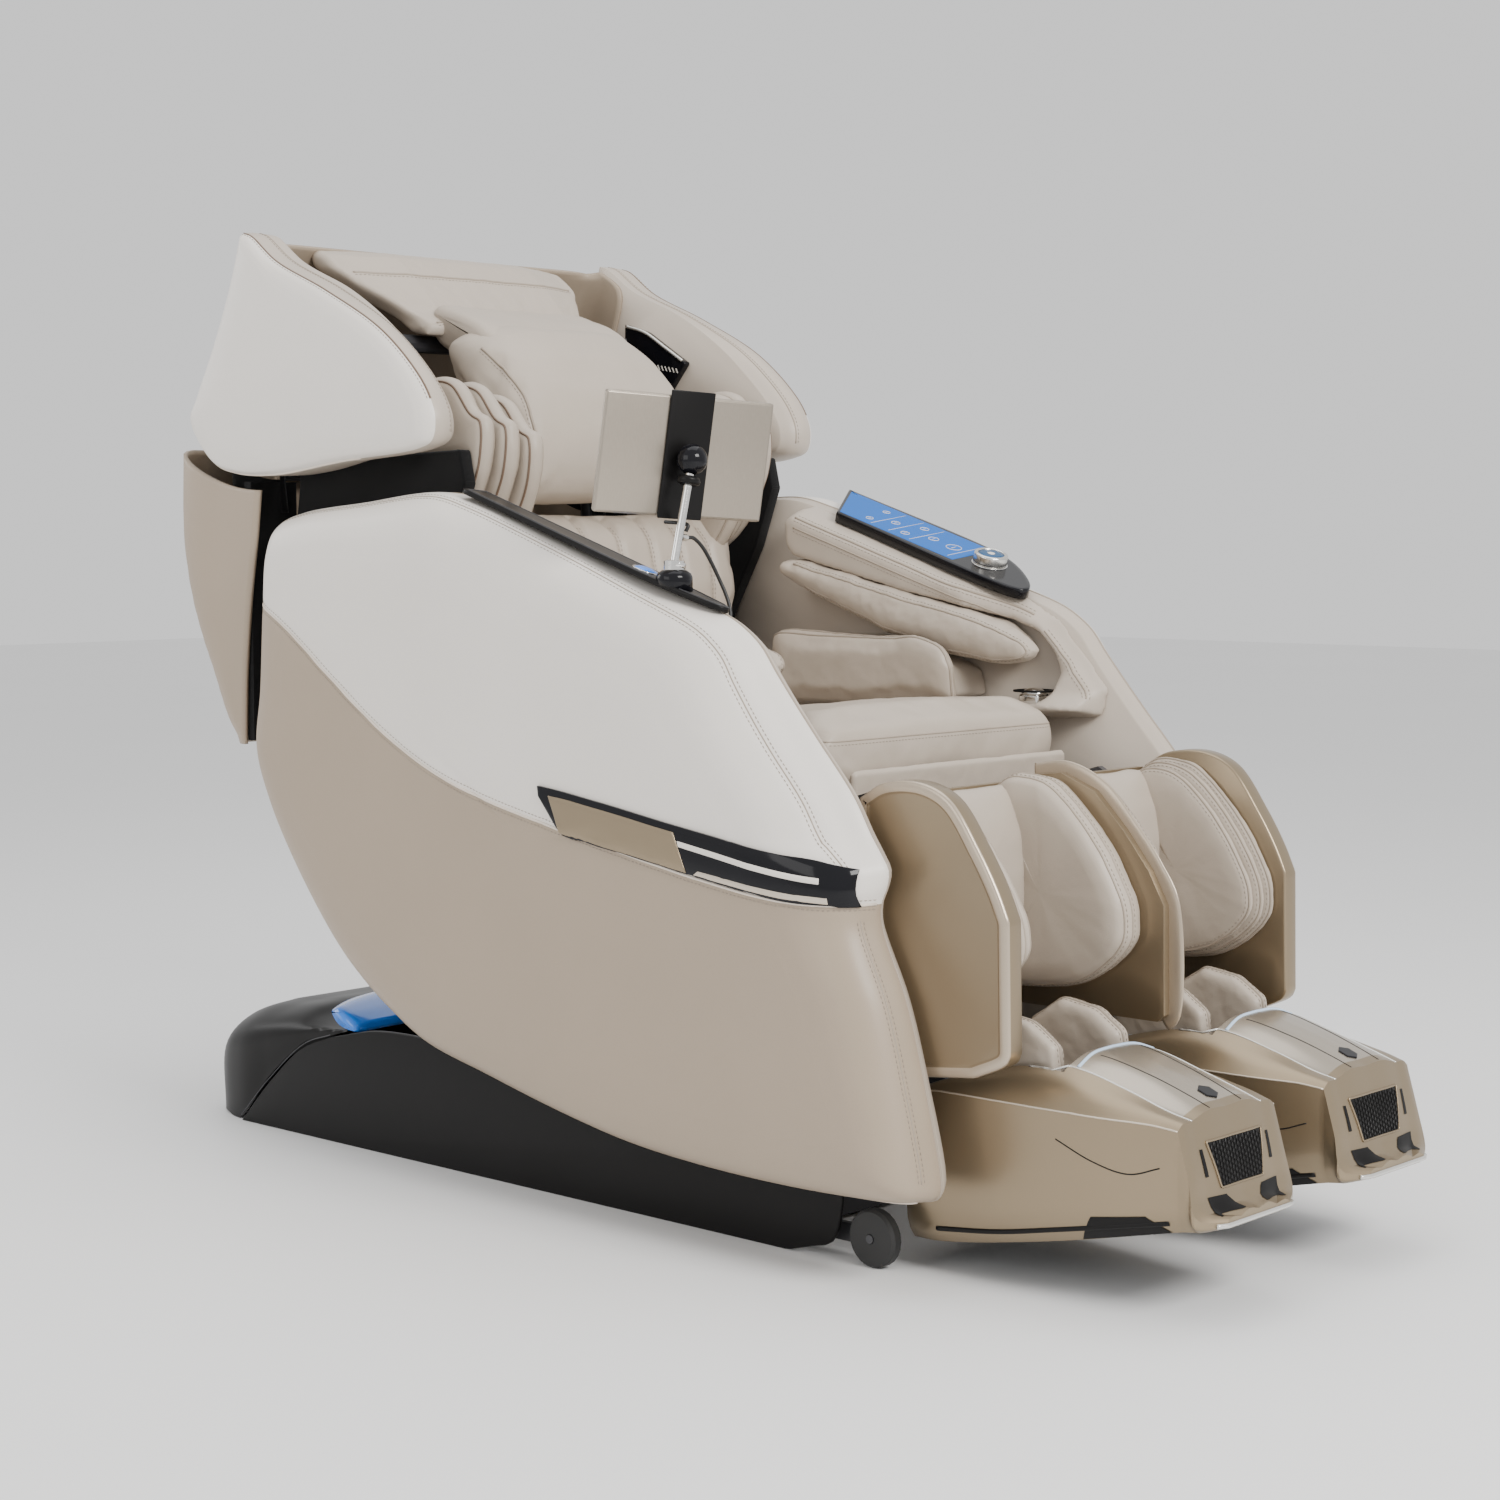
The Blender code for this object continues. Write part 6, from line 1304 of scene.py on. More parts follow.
def build_pods():
    rings, kinds = [], None
    for row in pod_rows():
        half, kinds, y = pod_section(row)
        ring = half + [(-x, z) for x, z in reversed(half[1:-1])]
        rings.append([(PX + x, D(y), z) for x, z in ring])
    both = kinds + kinds[::-1]
    obj = loft("foot_pod", rings, None)
    for m in (M_HOOD, M_CHAMPAGNE, M_CHAMPAGNE, M_BLACK, M_PAINTED_PALE_BLUE_HIGHLIGHT, M_BLACK):
        obj.data.materials.append(m)
    n = len(rings[0])
    index = []
    for r in range(len(rings) - 1):
        y = rings[r][0][1]
        for i in range(n):
            k = both[i] if i < len(both) else 3
            # the rear of the hood top takes the pale blue band, a painted highlight
            if k in (0, 1) and y > D(-0.842):
                k = 4 if k == 0 else 1
            if k == 0 and y < D(-0.985):
                k = 1
            index.append(k)
    index += [1, 1]
    obj.data.polygons.foreach_set("material_index", index)
    obj.data.update()
    room = loft(
        "room",
        [[(PX + x, D(y), z) for x, z in ((-w, low), (w, low), (w, high), (-w, high))] for y, w, low, high in (
            (-0.672, 0.068, 0.075, 0.30), (-0.700, 0.080, 0.072, 0.30), (-0.845, 0.082, 0.082, 0.30), (-0.8452, 0.074, 0.083, 0.212), (-0.940, 0.068, 0.098, 0.196), (-0.965, 0.050, 0.106, 0.180))],
        M_BLACK, smooth=False,
    )
    room.data.materials.clear()
    for m in obj.data.materials:
        room.data.materials.append(m)
    room.data.polygons.foreach_set("material_index", [5] * len(room.data.polygons))
    cutm = modifier(obj, "BOOLEAN", operation="DIFFERENCE", solver="EXACT")
    cutm.object = room
    apply_modifiers(obj)
    bpy.data.objects.remove(room)
    obj.data.shade_smooth()
    obj.data.set_sharp_from_angle(angle=math.radians(24))
    tree = tree_of(obj)
    pieces = [obj]

    def down(points, count=60):
        out = []
        for x, y in spline(points, count):
            hit = tree.ray_cast(Vector((PX + x, D(y), 0.5)), Vector((0, 0, -1)))
            if hit[0] is not None and hit[0].z > 0.10:
                out.append(hit[0])
        return out

    def sidewise(points, count=60, sign=1):
        out = []
        for y, z in spline(points, count):
            hit = tree.ray_cast(Vector((PX + sign * 0.3, D(y), z)), Vector((-sign, 0, 0)))
            if hit[0] is not None:
                out.append(hit[0])
        return out

    for n, x in enumerate((0.030, -0.030)):
        line = down([(x * 1.25, -0.862), (x * 1.1, -0.93), (x, -0.994)])
        pieces += seam_line(f"hood_seam_{n}", tree, line, None, 0.0007, M_BLACK, sink=0.2)
    # the lip's pale blue is painted highlight
    pieces += seam_line("hood_lip", tree, down([(-0.070, -0.856), (-0.035, -0.852), (0, -0.8505), (0.035, -0.852), (0.070, -0.856)]), None, 0.0022, M_PAINTED_PALE_BLUE_HIGHLIGHT, sink=0.1)
    for s, tag in ((1, "o"), (-1, "i")):
        crease = [(PX + s * row[1], D(row[0]), row[3]) for row in spline(POD[1:9], 80)]
        pieces += seam_line(f"crease_{tag}", tree, crease, None, 0.0010, M_CHAMPAGNE_LIGHT, sink=0.3)
        edge = [(PX + s * row[4], D(row[0]), row[5]) for row in spline(POD[4:9], 60)]
        pieces += seam_line(f"hood_edge_{tag}", tree, edge, None, 0.0013, M_SILVER, sink=0.3)
        arrow = sidewise([(-0.860, 0.176), (-0.905, 0.158), (-0.945, 0.150), (-0.978, 0.160)], 50, s)
        pieces += seam_line(f"arrow_{tag}", tree, arrow, None, 0.0009, M_BLACK, sink=0.4)
        skid = sidewise([(-0.70, 0.052), (-0.78, 0.062), (-0.86, 0.078), (-0.93, 0.092), (-0.985, 0.102)], 70, s)
        pieces += seam_line(f"skid_{tag}", tree, skid, None, 0.0034, M_BLACK, sink=0.3)
    # badge
    at = tree.ray_cast(Vector((PX, D(-0.972), 0.5)), Vector((0, 0, -1)))
    nrm = at[1]
    ax = Vector((1, 0, 0))
    ay = nrm.cross(ax).normalized()
    hexa = [(0.0125 * math.cos(math.tau * (k + 0.5) / 6), 0.0125 * math.sin(math.tau * (k + 0.5) / 6)) for k in range(6)]
    v = [tuple(at[0] + ax * (a * s) + ay * (b * s) + nrm * h) for h, s in ((0.0002, 1.0), (0.0009, 1.0), (0.0013, 0.88)) for a, b in hexa]
    f = [tuple(range(12, 18))] + [(r * 6 + k, r * 6 + (k + 1) % 6, r * 6 + 6 + (k + 1) % 6, r * 6 + 6 + k) for r in range(2) for k in range(6)]
    pieces.append(new_object("badge", v, f, M_GLOSS, smooth=False))
    # grille: a dark recessed plate with a hexagonal mesh over it, on the nose's front
    def nose(x, z):
        hit = tree.ray_cast(Vector((PX + x, D(-1.2), z)), Vector((0, 1, 0)))
        return (hit[0], hit[1]) if hit[0] is not None else (None, None)

    plate, mesh_parts, chev = [], [], []
    gx, gz0, gz1 = 0.052, 0.136, 0.184
    grid_v, grid_f, ok = [], [], {}
    for i in range(25):
        for k in range(17):
            x, z = (-gx + 2 * gx * i / 24) * (0.76 + 0.24 * k / 16), gz0 + (gz1 - gz0) * k / 16
            p, u = nose(x, z)
            if p is not None:
                ok[i, k] = len(grid_v)
                grid_v.append(tuple(p + u * 0.0004))
    for i in range(24):
        for k in range(16):
            q = [(i, k), (i + 1, k), (i + 1, k + 1), (i, k + 1)]
            if all(c in ok for c in q):
                grid_f.append(tuple(ok[c] for c in q))
    pieces.append(new_object("grille_back", grid_v, grid_f, M_BLACK))
    r = 0.0036
    for i in range(-12, 13):
        for k in range(0, 13):
            x = i * r * 1.5
            z = gz0 + 0.003 + k * r * math.sqrt(3) + (r * math.sqrt(3) / 2 if i % 2 else 0)
            if abs(x) > (gx - 0.004) * (0.76 + 0.24 * (z - gz0) / (gz1 - gz0)) or z > gz1 - 0.003:
                continue
            ring = []
            for q in range(6):
                p, u = nose(x + r * 0.93 * math.cos(math.tau * q / 6), z + r * 0.93 * math.sin(math.tau * q / 6))
                if p is None:
                    break
                ring.append(tuple(p + u * 0.0009))
            if len(ring) == 6:
                mesh_parts.append(tube_data(ring, 0.00055, 4, True))
    pieces.append(new_object("grille_mesh", *join_data(mesh_parts), M_BLACK, smooth=False))
    frame_line = []
    for x, z in spline([(-gx * 0.76, gz0), (gx * 0.76, gz0), (gx, gz1), (-gx, gz1)], 120, closed=True, sharp=(0, 1, 2, 3)):
        p, u = nose(x, z)
        if p is not None:
            frame_line.append(p + u * 0.0006)
    pieces.append(tube("grille_frame", frame_line, 0.0013, M_CHAMPAGNE, None, 6, True))
    def nose_patch(name, corners, material, lift=0.0005, count=14):
        """A thin plate on the nose between two rows of (x, z) corners."""
        low, high = spline(corners[0], count, sharp=range(9)), spline(corners[1], count, sharp=range(9))
        gv, gf = [], []
        for q in range(7):
            for a, b in zip(low, high):
                x, z = a[0] + (b[0] - a[0]) * q / 6, a[1] + (b[1] - a[1]) * q / 6
                p, u = nose(x, z)
                gv.append(tuple(p + u * lift) if p is not None else (PX + x, D(-1.0), z))
        for q in range(6):
            for i in range(count - 1):
                gf.append((q * count + i, q * count + i + 1, (q + 1) * count + i + 1, (q + 1) * count + i))
        return new_object(name, gv, gf, material)

    for s, tag in ((1, "o"), (-1, "i")):
        pieces.append(nose_patch(f"nose_vent_{tag}", ([(s * 0.020, 0.1150), (s * 0.062, 0.1120)], [(s * 0.034, 0.1290), (s * 0.066, 0.1300)]), M_BLACK, 0.0006))
        pieces.append(nose_patch(f"nose_slit_{tag}", ([(s * 0.0585, 0.150), (s * 0.0640, 0.150)], [(s * 0.0605, 0.178), (s * 0.0650, 0.178)]), M_BLACK, 0.0006))

    def side_patch(name, low, high, sign, material, lift=0.0008, count=40):
        low, high = spline(low, count, sharp=range(9)), spline(high, count, sharp=range(9))
        gv, gf = [], []
        for q in range(6):
            for a, b in zip(low, high):
                y, z = a[0] + (b[0] - a[0]) * q / 5, a[1] + (b[1] - a[1]) * q / 5
                hit = tree.ray_cast(Vector((PX + sign * 0.3, D(y), z)), Vector((-sign, 0, 0)))
                gv.append(tuple(hit[0] + hit[1] * lift) if hit[0] is not None else (PX, D(y), z))
        for q in range(5):
            for i in range(count - 1):
                gf.append((q * count + i, q * count + i + 1, (q + 1) * count + i + 1, (q + 1) * count + i))
        return new_object(name, gv, gf, material)

    for s, tag in ((1, "o"), (-1, "i")):
        pieces.append(side_patch(f"skid_plate_{tag}", [(-0.885, 0.0705), (-0.985, 0.0915)], [(-0.902, 0.0990), (-0.962, 0.1070)], s, M_BLACK))
    lip = []
    for x in np.linspace(-0.072, 0.072, 60):
        p, u = nose(float(x), 0.1035)
        if p is not None:
            lip.append(p + u * 0.0003)
    if len(lip) > 5:
        pieces.append(tube("nose_lip", lip, 0.0028, M_SILVER, None, 8))
    two(pieces, "foot_pod", "foot", ["foot_pod"])
    pad = soft_copy("ankle_pad_left", M_SOFT, 0.0040, 4, folds=0.0012, fold_scale=32, seed=14)
    pad.name = "ankle_pad"
    tree = tree_of(pad)
    CHEEK = [(-0.700, 0.262), (-0.745, 0.292), (-0.790, 0.285), (-0.825, 0.262), (-0.828, 0.232), (-0.815, 0.160)]
    pieces = [pad]
    for n, x in enumerate((PX + 0.0585, PX - 0.0585)):
        pieces += seam_line(f"ankle_piping_{n}", tree, spline([(x, *p) for p in side2(CHEEK)], 90), None, 0.0018, M_EDGE, rows=(0.005, -0.005), sink=0.1)
    two(pieces, "ankle_pad", "foot", ["ankle_pad"])


build_pods()


# ---------------------------------------------------------------- floor base
def build_base():
    SKIRT = [
        (0.497, 0.0), (0.431, 0.065), (0.356, 0.122), (0.263, 0.150), (0.194, 0.162), (-0.050, 0.158), (-0.250, 0.142), (-0.450, 0.118),
        (-0.584, 0.098), (-0.588, 0.050), (-0.575, 0.020), (-0.545, 0.010), (-0.510, 0.0),
    ]
    ol = spline(side2(SKIRT), 220, closed=True, sharp=(0, 12))
    cover = extrude("base_side_cover", ol, 0.2835, 0.2895, M_BLACK, 0.0022, 4)
    two([cover], "base_side_cover", "base", ["base_side_cover"])
    HUMP = [
        (0.268, 0.2895, 0.1522, 0.1532, 0.1542), (0.306, 0.2895, 0.1415, 0.150, 0.1555), (0.353, 0.2895, 0.1285, 0.145, 0.163),
        (0.380, 0.2895, 0.1115, 0.140, 0.170), (0.437, 0.288, 0.068, 0.130, 0.165), (0.504, 0.284, 0.003, 0.110, 0.156),
        (0.550, 0.272, 0.003, 0.095, 0.140), (0.580, 0.252, 0.004, 0.080, 0.120), (0.598, 0.225, 0.016, 0.070, 0.098), (0.606, 0.200, 0.026, 0.060, 0.080),
    ]
    rings = []
    for y, w, low, edge, top in spline(HUMP, 70):
        arc = spline([(w, low), (w, edge), (w - 0.012, edge + (top - edge) * 0.45), (w - 0.045, edge + (top - edge) * 0.85), (w - 0.100, top)], 26, sharp=())
        half = arc + [((w - 0.1) * (1 - k / 5), top) for k in range(1, 6)]
        ring = half + [(-x, z) for x, z in reversed(half[:-1])]
        rings.append([(x, D(y), z) for x, z in ring])
    rear = loft("base_rear_cover", rings, M_BLACK, None, caps=(True, True), closed=False)
    bm = bmesh.new()
    bm.from_mesh(rear.data)
    bmesh.ops.holes_fill(bm, edges=[e for e in bm.edges if e.is_boundary], sides=0)
    bm.to_mesh(rear.data)
    bm.free()
    # openings for the inlet and the switch in the rear face
    box = new_object("box", [(x, y, z) for x in (0.0745, 0.1115) for y in (0.785, 0.84) for z in (0.0345, 0.0655)], [(0, 1, 3, 2), (4, 6, 7, 5), (0, 4, 5, 1), (2, 3, 7, 6), (0, 2, 6, 4), (1, 5, 7, 3)], M_BLACK, smooth=False)
    cutm = modifier(rear, "BOOLEAN", operation="DIFFERENCE", solver="EXACT")
    cutm.object = box
    apply_modifiers(rear)
    bpy.data.objects.remove(box)
    rear.data.shade_smooth()
    rear.data.set_sharp_from_angle(angle=math.radians(32))
    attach(rear, "base"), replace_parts(rear, "base_rear_cover")
    lens_ol = side2([(0.3785, 0.1773), (0.352, 0.1645), (0.305, 0.1565), (0.250, 0.1545), (0.252, 0.166), (0.300, 0.178), (0.345, 0.1835)])
    rings = []
    for x in np.linspace(-0.2893, 0.2893, 61):
        bow = 0.62 * (abs(x) / 0.2893) ** 3.5
        d = 0.0025 * max(0.0, (abs(x) - 0.284) / 0.0053)
        rings.append([(float(x), D(0.252) + (y - D(0.252)) * (1 - bow), z - 0.004 * bow) for y, z in inset(spline(lens_ol, 60, closed=True, sharp=(0, 3, 4)), d)])
    # the lens's blue is painted reflection of blue surroundings
    lens = loft("base_light_lens", rings, M_LENS_PAINTED_BLUE_REFLECTION)
    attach(lens, "base"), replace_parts(lens, "base_light_lens")
    for s in (-1, 1):
        path = [(s * 0.2896, y, z) for y, z in spline(side2([(0.496, 0.008), (0.431, 0.0690), (0.356, 0.1250), (0.300, 0.1440)]), 80)]
        tube(f"base_seam_{'l' if s > 0 else 'r'}", path, 0.0007, M_STEEL, "base", 6)


build_base()


# ---------------------------------------------------------------- armrest tops, tablet, small pieces
ARM_SLOPE, ARM_LEAN = 0.327, 0.145
SLOPE = math.atan(ARM_SLOPE)
LEAN = math.atan(ARM_LEAN * math.cos(SLOPE))


def arm_top(y, x=0.305):
    return 0.795 + ARM_SLOPE * (y + 0.203) + ARM_LEAN * (x - 0.305)


def arm_matrix(hand):
    return (
        Matrix.Translation((hand * 0.305, D(-0.240), arm_top(-0.240)))
        @ Matrix.Rotation(SLOPE, 4, "X") @ Matrix.Rotation(-hand * LEAN, 4, "Y") @ Matrix.Translation((-hand * 0.305, 0, 0))
    )


def plate_flat(name, outline, low, high, hand, material, round_by=0.001, count=120, closed_sharp=()):
    ol = spline(outline, count, closed=True, sharp=closed_sharp)
    rings = []
    for h, d in ((low, 0.0), (high - round_by, 0.0), (high - round_by * 0.3, round_by * 0.3), (high, round_by), (high, round_by + 0.004)):
        rings.append([(x, s, h) for x, s in inset(ol, d)])
    obj = loft(name, rings, material)
    obj.data.transform(arm_matrix(hand))
    obj.data.update()
    return obj


def build_tops():
    CONTROL = [(0.266, 0.143), (0.362, 0.208), (0.362, -0.050), (0.350, -0.100), (0.322, -0.148), (0.294, -0.178), (0.277, -0.184), (0.266, -0.172)]
    body = plate_flat("control_panel", CONTROL, 0.0015, 0.0150, 1, M_GLOSS, 0.0018, closed_sharp=(0, 1))
    # the face's blue is painted reflection of blue surroundings on the black glass
    face = plate_flat("control_face", [(0.272, 0.142), (0.356, 0.198), (0.356, -0.048), (0.348, -0.062), (0.272, -0.062)], 0.0145, 0.0153, 1, M_PAINTED_BLUE_REFLECTION, 0.0004, closed_sharp=(0, 1, 2, 3, 4))
    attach(body, "seat"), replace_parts(body, "control_panel"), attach(face, "seat")
    m = arm_matrix(1)
    marks = []
    for cx, cs, rad in ((0.312, -0.030, 0.0105), (0.312, 0.006, 0.007), (0.292, 0.040, 0.006), (0.332, 0.040, 0.006), (0.312, 0.075, 0.006), (0.292, 0.105, 0.005), (0.334, 0.112, 0.005)):
        marks.append(tube_data([tuple(m @ Vector((cx + rad * math.cos(math.tau * k / 32), cs + rad * math.sin(math.tau * k / 32), 0.0154))) for k in range(32)], 0.0005, 5, True))
        marks.append(tube_data([tuple(m @ Vector((cx - rad * 0.5, cs, 0.0154))), tuple(m @ Vector((cx + rad * 0.5, cs, 0.0154)))], 0.0004, 5))
    for cs in (-0.048, 0.020, 0.058, 0.090):
        marks.append(tube_data([tuple(m @ Vector((0.278, cs, 0.0154))), tuple(m @ Vector((0.350, cs, 0.0154)))], 0.00035, 5))
    new_object("control_marks", *join_data(marks), M_LIGHT, "seat")
    TRAY = [(-0.302, 0.228), (-0.350, 0.218), (-0.352, -0.120), (-0.342, -0.170), (-0.325, -0.210), (-0.312, -0.210), (-0.302, -0.165)]
    tray = plate_flat("arm_tray", TRAY, 0.0015, 0.0080, -1, M_BLACK, 0.0015, closed_sharp=(0, 1))
    foot = (-0.330, D(-0.3735))
    rings = []
    for r, flat in ((0.0215, None), (0.0210, 0.7600), (0.0195, 0.7640), (0.0150, 0.7672), (0.0140, 0.7680), (0.0090, 0.7682)):
        ring = []
        for k in range(48):
            c, q = math.cos(math.tau * k / 48), math.sin(math.tau * k / 48)
            ring.append((foot[0] + r * c, foot[1] + r * q, arm_top(-0.3735 + r * q, -foot[0] - r * c) + 0.0045 if flat is None else flat))
        rings.append(ring)
    cone = loft("stand_foot", rings, M_GLOSS, "seat")
    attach(tray, "seat"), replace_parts(tray, "arm_tray")
    dome = []
    c = arm_matrix(-1) @ Vector((-0.327, -0.085, 0.0080))
    up = (arm_matrix(-1).to_3x3() @ Vector((0, 0, 1))).normalized()
    fx = (arm_matrix(-1).to_3x3() @ Vector((1, 0, 0))).normalized()
    fy = up.cross(fx)
    for a in range(9):
        t = math.pi / 2 * a / 8
        dome.append([tuple(c + fx * (0.0145 * math.cos(t) * math.cos(math.tau * k / 40)) + fy * (0.0145 * math.cos(t) * math.sin(math.tau * k / 40)) + up * (0.0048 * math.sin(t) - 0.0004)) for k in range(40)])
    # the button's blue is painted reflection of blue surroundings
    loft("tray_button", dome, M_LENS_PAINTED_BLUE_REFLECTION, "seat")
    ring = tube("tray_button_ring", [tuple(c + fx * (0.0155 * math.cos(math.tau * k / 40)) + fy * (0.0155 * math.sin(math.tau * k / 40)) + up * 0.0003) for k in range(40)], 0.0011, M_CHROME, "seat", 8, True)
    rim = [tuple(arm_matrix(-1) @ Vector((x, s, 0.0080))) for x, s in spline([(-0.306, 0.222), (-0.346, 0.212), (-0.348, -0.119), (-0.339, -0.166), (-0.324, -0.205), (-0.313, -0.205), (-0.306, -0.163)], 160, closed=True, sharp=(0, 1))]
    tube("tray_rim", rim, 0.0008, M_STEEL, "seat", 6, True)
    # dial
    nrm = (Matrix.Rotation(SLOPE, 3, "X") @ Matrix.Rotation(-LEAN, 3, "Y")) @ Vector((0, 0, 1))
    at = Vector((0.310, D(-0.330), arm_top(-0.330, 0.310)))
    ax = nrm.cross(Vector((0, 1, 0))).normalized()
    ay = nrm.cross(ax).normalized()

    def turned(name, prof, material, body, knurl=0.0, n=96):
        rings = []
        for r, h in prof:
            rings.append([tuple(at + nrm * h + ax * ((r * (1 + (knurl if k % 2 else 0.0))) * math.cos(math.tau * k / n)) + ay * ((r * (1 + (knurl if k % 2 else 0.0))) * math.sin(math.tau * k / n))) for k in range(n)])
        return loft(name, rings, material, body)

    knob = turned("dial_ring", [(0.0215, 0.0156), (0.0223, 0.0165), (0.0223, 0.0190), (0.0223, 0.0270), (0.0220, 0.0290), (0.0205, 0.0299), (0.0180, 0.0299), (0.0172, 0.0290), (0.0172, 0.0284)], M_RING, "dial", 0.012)
    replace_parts(knob, "dial_knob")
    # the dial top's dark blue is painted reflection of blue surroundings
    turned("dial_top", [(0.0171, 0.0280), (0.0171, 0.0289), (0.0120, 0.0291), (0.0040, 0.0292)], M_PAINTED_DARK_BLUE_REFLECTION, "dial")
    turned("dial_mark", [(0.0045, 0.0290), (0.0050, 0.0295), (0.0040, 0.0296), (0.0010, 0.0296)], M_LIGHT, "dial")
    turned("dial_seat", [(0.0240, 0.0150), (0.0240, 0.0154), (0.0225, 0.0155), (0.0100, 0.0155)], M_CHROME, "seat")
    # hand buttons in their surrounds
    for s, tag in ((1, "left"), (-1, "right")):
        b = copy_node(f"hand_button_{tag}", M_CHROME, bevel=0.002)
        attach(b, f"button_{tag}"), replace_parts(b, f"hand_button_{tag}")
        ringp = []
        for a, bb in spline([(-0.018, -0.0185), (0.018, -0.0185), (0.018, 0.0185), (-0.018, 0.0185)], 60, closed=True):
            ringp.append((s * 0.269 + a, D(-0.4375) + bb, 0.6068))
        tube(f"button_surround_{tag}", ringp, 0.0016, M_BLACK, "seat", 8, True)
        dome = []
        for a in range(8):
            t = math.pi / 2 * a / 8
            dome.append([(s * 0.269 + 0.0150 * math.cos(t) * math.cos(math.tau * k / 40), D(-0.4375) + 0.0165 * math.cos(t) * math.sin(math.tau * k / 40), 0.6025 + 0.0085 * math.sin(t)) for k in range(40)])
        loft(f"button_cap_{tag}", dome, M_CHROME, f"button_{tag}")
    # tablet: slab, clamp, screen and edge seam
    slab = copy_node("tablet", M_TABLET, bevel=0.0012)
    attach(slab, "tablet_body"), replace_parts(slab, "tablet")
    clamp = copy_node("tablet_clamp", M_BLACK, bevel=0.0011)
    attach(clamp, "tablet_body"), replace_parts(clamp, "tablet_clamp")
    co = coords(slab)
    mid = co.mean(axis=0)
    _, _, axes = np.linalg.svd(co - mid, full_matrices=False)
    w, h, n = (Vector(a) for a in axes)
    face = n if n.y > 0 else -n
    half = (co - mid) @ np.array(face)
    front = Vector(mid) + face * (float(half.max()) + 0.0002)
    sw, sh = 0.102, 0.0625
    v = [tuple(front + w * (a * sw) + h * (b * sh) + face * d) for d in (-0.0002, 0.0003) for a, b in ((-1, -1), (1, -1), (1, 1), (-1, 1))]
    screen = new_object("tablet_screen", v, [(0, 1, 2, 3), (4, 5, 6, 7), (0, 1, 5, 4), (1, 2, 6, 5), (2, 3, 7, 6), (3, 0, 4, 7)], M_SCREEN, "tablet_body", smooth=False)
    hh = h if h.z > 0 else -h
    ww = w if w.x < 0 else -w
    backp = Vector(mid) - face * (float(-half.min()) + 0.0001)
    tube("tablet_edge_seam", [tuple(Vector(mid) - face * 0.001 + ww * a + hh * b) for a, b in spline([(-0.1075, -0.0672), (0.1075, -0.0672), (0.1075, 0.0672), (-0.1075, 0.0672)], 120, closed=True, sharp=(0, 1, 2, 3))], 0.0026, M_TABLET, "tablet_body", 8, True)
    # stand rod with its ball and collars
    rod = copy_node("stand_rod", M_CHROME, smooth=True, angle=50)
    rod.data.materials.append(M_GLOSS)
    ballc = Vector((-0.300, D(-0.3735), 0.893))
    rod.data.polygons.foreach_set("material_index", [1 if (p.center - ballc).length < 0.0185 else 0 for p in rod.data.polygons])
    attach(rod, "mast"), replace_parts(rod, "stand_rod")
    a, b = Vector((-0.330, D(-0.3735), 0.7685)), ballc
    d = (b - a).normalized()
    q = d.orthogonal().normalized()
    r2 = d.cross(q)
    for name, t0, prof, mat in (
        ("rod_foot_collar", 0.0015, ((0.0105, 0.0), (0.0125, 0.001), (0.0125, 0.006), (0.0110, 0.0075), (0.0070, 0.0075)), M_CHROME),
        ("rod_ball_collar", 0.098, ((0.0085, 0.0), (0.0125, 0.0015), (0.0135, 0.006), (0.0120, 0.0095), (0.0100, 0.0095)), M_BLACK),
    ):
        loft(name, [[tuple(a + d * (t0 + hgt) + (q * math.cos(math.tau * k / 40) + r2 * math.sin(math.tau * k / 40)) * r) for k in range(40)] for r, hgt in prof], mat, "mast")
    for node, mat, body, bev in (
        ("power_inlet", M_BLACK, "base", 0.0008), ("power_switch", M_GLOSS, "power_switch", 0.0008), ("wheel_left", M_RUBBER, "wheel_left", 0.0), ("wheel_right", M_RUBBER, "wheel_right", 0.0),
    ):
        o = copy_node(node, mat, bevel=bev)
        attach(o, body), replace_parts(o, node)


build_tops()

# frame pieces that stay as they are, in their own finishes
for node, mat in (
    ("base_frame", M_STEEL), ("seat_carriage", M_STEEL), ("seat_frame", M_STEEL), ("back_frame", M_STEEL), ("recline_actuator", M_WORKS), ("recline_rod", M_CHROME),
    ("air_pump", M_WORKS), ("control_box", M_WORKS), ("roller_carriage", M_STEEL), ("massage_rollers", M_RUBBER),
):
    data = NODES[node].data
    if not data.materials:
        data.materials.append(mat)
    for i in range(len(data.materials)):
        data.materials[i] = mat


# ---------------------------------------------------------------- tablet leads
M_LEAD = plastic("lead rubber", (0.012, 0.012, 0.012), 0.45, 0.05)


def route(points, count):
    """The frame's own smoothing of a lead's route."""
    pts = [Vector(p) for p in points]
    pts = [2 * pts[0] - pts[1]] + pts + [2 * pts[-1] - pts[-2]]
    fine = []
    for i in range(1, len(pts) - 2):
        p0, p1, p2, p3 = pts[i - 1 : i + 3]
        for k in range(24):
            t = k / 24
            fine.append(0.5 * (2 * p1 + (p2 - p0) * t + (2 * p0 - 5 * p1 + 4 * p2 - p3) * t * t + (3 * p1 - p0 - 3 * p2 + p3) * t * t * t))
    fine.append(pts[-2])
    lengths = np.concatenate([[0], np.cumsum([(b - a).length for a, b in zip(fine, fine[1:])])])
    want = np.linspace(0, lengths[-1], count)
    return [tuple(float(np.interp(w, lengths, [p[k] for p in fine])) for k in range(3)) for w in want], float(lengths[-1])


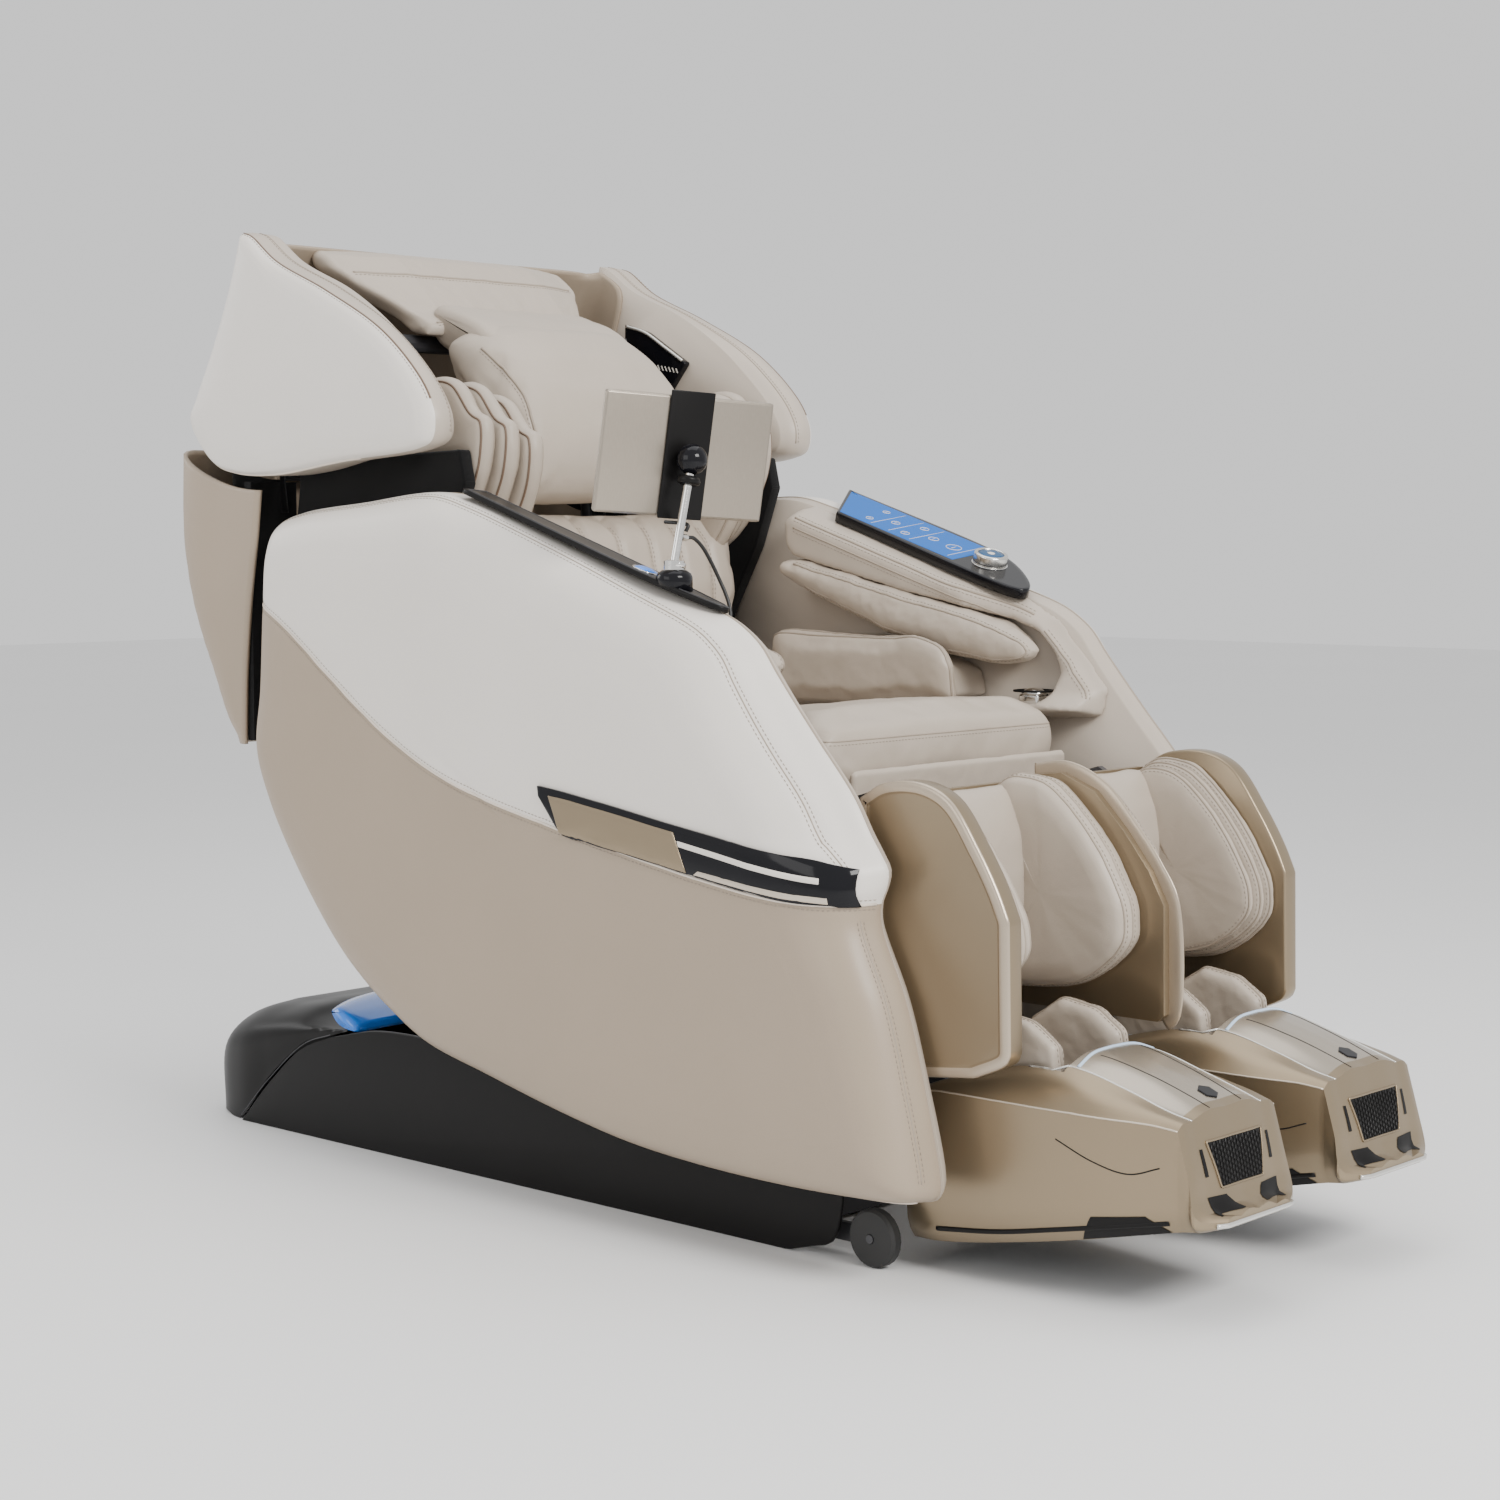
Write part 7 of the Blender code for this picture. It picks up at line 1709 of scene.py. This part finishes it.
def lead_routes():
    lo, hi = (np.array(v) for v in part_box("tablet_lead"))
    end_x = -0.2625
    LEAD = [
        (-0.3061, -0.156, 0.8045), (-0.2945, -0.1555, 0.8035), (-0.2790, -0.155, 0.7925), (-0.2650, -0.156, 0.7740), (-0.2560, -0.1585, 0.7570),
        (-0.2515, -0.1635, 0.7420), (-0.2500, -0.1685, 0.7280), (-0.2510, -0.1720, 0.7160), (-0.2550, -0.1733, 0.7095), (end_x, -0.1735, 0.7080),
    ]
    rod_clip = Vector((-0.330 + 0.0235, D(-0.3735) + 0.002, 0.7685 + 0.036))
    lo2, hi2 = (np.array(v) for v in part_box("tablet_lead_top"))
    port = Vector(((lo2[0] + hi2[0]) / 2, 0, 0))
    co = coords(NODES["tablet_lead_top"])
    far = co[np.argmax(np.linalg.norm(co - np.array(rod_clip), axis=1))]
    end = co[np.linalg.norm(co - far, axis=1) < 0.0046].mean(axis=0)
    TOP = [tuple(end), tuple(rod_clip + Vector((0.0010, 0.0015, 0.0150))), tuple(rod_clip + Vector((-0.0020, 0.0, 0.0068)))]
    return LEAD, TOP


LEAD, TOP = lead_routes()
path, length = route(LEAD, 60)
lead = new_object("tablet_lead", *tube_data(path, 0.00225, 12), M_LEAD)
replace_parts(lead, "tablet_lead")
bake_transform(lead, "seat", "mast", start=path[-22], end=path[0])
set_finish(lead, "lead_rubber")
path, length = route(TOP, 30)
top_lead = new_object("tablet_lead_top", *tube_data(path, 0.00225, 12), M_LEAD)
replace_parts(top_lead, "tablet_lead_top")
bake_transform(top_lead, "mast", "tablet_body", start=path[-1], end=path[0])
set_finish(top_lead, "lead_rubber")
print("LEADS", length)


# ---------------------------------------------------------------- finishes, floor and light
# the blue finishes (control face, dial top, lenses) carry painted blue reflection; the pale blue pod band is painted
# highlight
SLOT_OF = {
    M_PANEL: "panel_leather", M_WING: "wing_leather", M_TAN: "tan_leather", M_BEIGE: "beige_leather", M_SOFT: "beige_leather", M_ARM: "beige_leather",
    M_PIPING: "beige_leather", M_EDGE: "beige_leather", M_DARK_PIPING: "tan_leather", M_THREAD: "tan_leather", M_CHAMPAGNE: "champagne_plastic",
    M_CHAMPAGNE_LIGHT: "champagne_plastic", M_HOOD: "champagne_plastic", M_RIM: "champagne_plastic", M_BLACK: "black_plastic", M_GLOSS: "black_plastic",
    M_SCREEN: "black_plastic", M_LINER: "dark_liner", M_LINER_SOFT: "dark_liner", M_STEEL: "frame_steel", M_CHROME: "bright_chrome", M_RING: "bright_chrome",
    M_SILVER: "bright_chrome", M_LIGHT: "champagne_plastic", M_TABLET: "tablet_metal", M_PAINTED_BLUE_REFLECTION: "blue_lens", M_PAINTED_DARK_BLUE_REFLECTION: "blue_lens", M_LENS_PAINTED_BLUE_REFLECTION: "blue_lens",
    M_PAINTED_PALE_BLUE_HIGHLIGHT: "champagne_plastic", M_RUBBER: "wheel_rubber", M_WORKS: "works_plastic", M_LEAD: "lead_rubber",
}
frame_objects = set(NODES.values())
for obj in list(SCENE.objects):
    if obj.type == "MESH" and obj not in frame_objects and "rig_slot" not in obj and obj.data.materials:
        m = obj.data.materials[0]
        if m in SLOT_OF:
            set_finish(obj, SLOT_OF[m])

floor_mat = make("floor", (0.86, 0.86, 0.86), 0.55)
fb = floor_mat.node_tree.nodes["Principled BSDF"]
fn = add_node(floor_mat, "ShaderNodeTexNoise", Scale=0.8)
link(floor_mat, place(floor_mat), fn.inputs["Vector"])
link(floor_mat, mix_colour(floor_mat, fn.outputs["Fac"], (0.85, 0.85, 0.85), (0.88, 0.88, 0.88)), fb.inputs["Base Color"])
floor = new_object("floor", [(-14, -14, 0), (14, -14, 0), (14, 14, 0), (-14, 14, 0)], [(0, 1, 2, 3)], floor_mat, smooth=False)

world = bpy.data.worlds.new("studio")
SCENE.world = world
world.use_nodes = True
world.node_tree.nodes["Background"].inputs["Color"].default_value = (1.0, 1.0, 1.0, 1.0)
world.node_tree.nodes["Background"].inputs["Strength"].default_value = 0.95


def area(name, location, target, size, power, colour=(1, 1, 1), size_y=None):
    data = bpy.data.lights.new(name, "AREA")
    data.energy = power
    data.size = size
    if size_y:
        data.shape = "RECTANGLE"
        data.size_y = size_y
    data.color = colour
    light = bpy.data.objects.new(name, data)
    light.location = location
    light.rotation_euler = (Vector(target) - Vector(location)).to_track_quat("-Z", "Y").to_euler()
    SCENE.collection.objects.link(light)
    return light


area("key", (-0.6, -3.4, 2.6), (0, -0.1, 0.55), 1.7, 140, (1.0, 0.985, 0.96), 1.2)
area("fill", (-3.4, 0.3, 1.6), (0, 0.1, 0.6), 2.0, 22, (1.0, 0.99, 0.97), 1.6)
area("top", (0.2, 0.2, 3.4), (0, 0, 0.6), 2.6, 40, (0.98, 0.99, 1.0))
area("rear", (-1.2, 3.0, 1.8), (0, 0.3, 0.8), 1.4, 20)

bpy.context.view_layer.update()
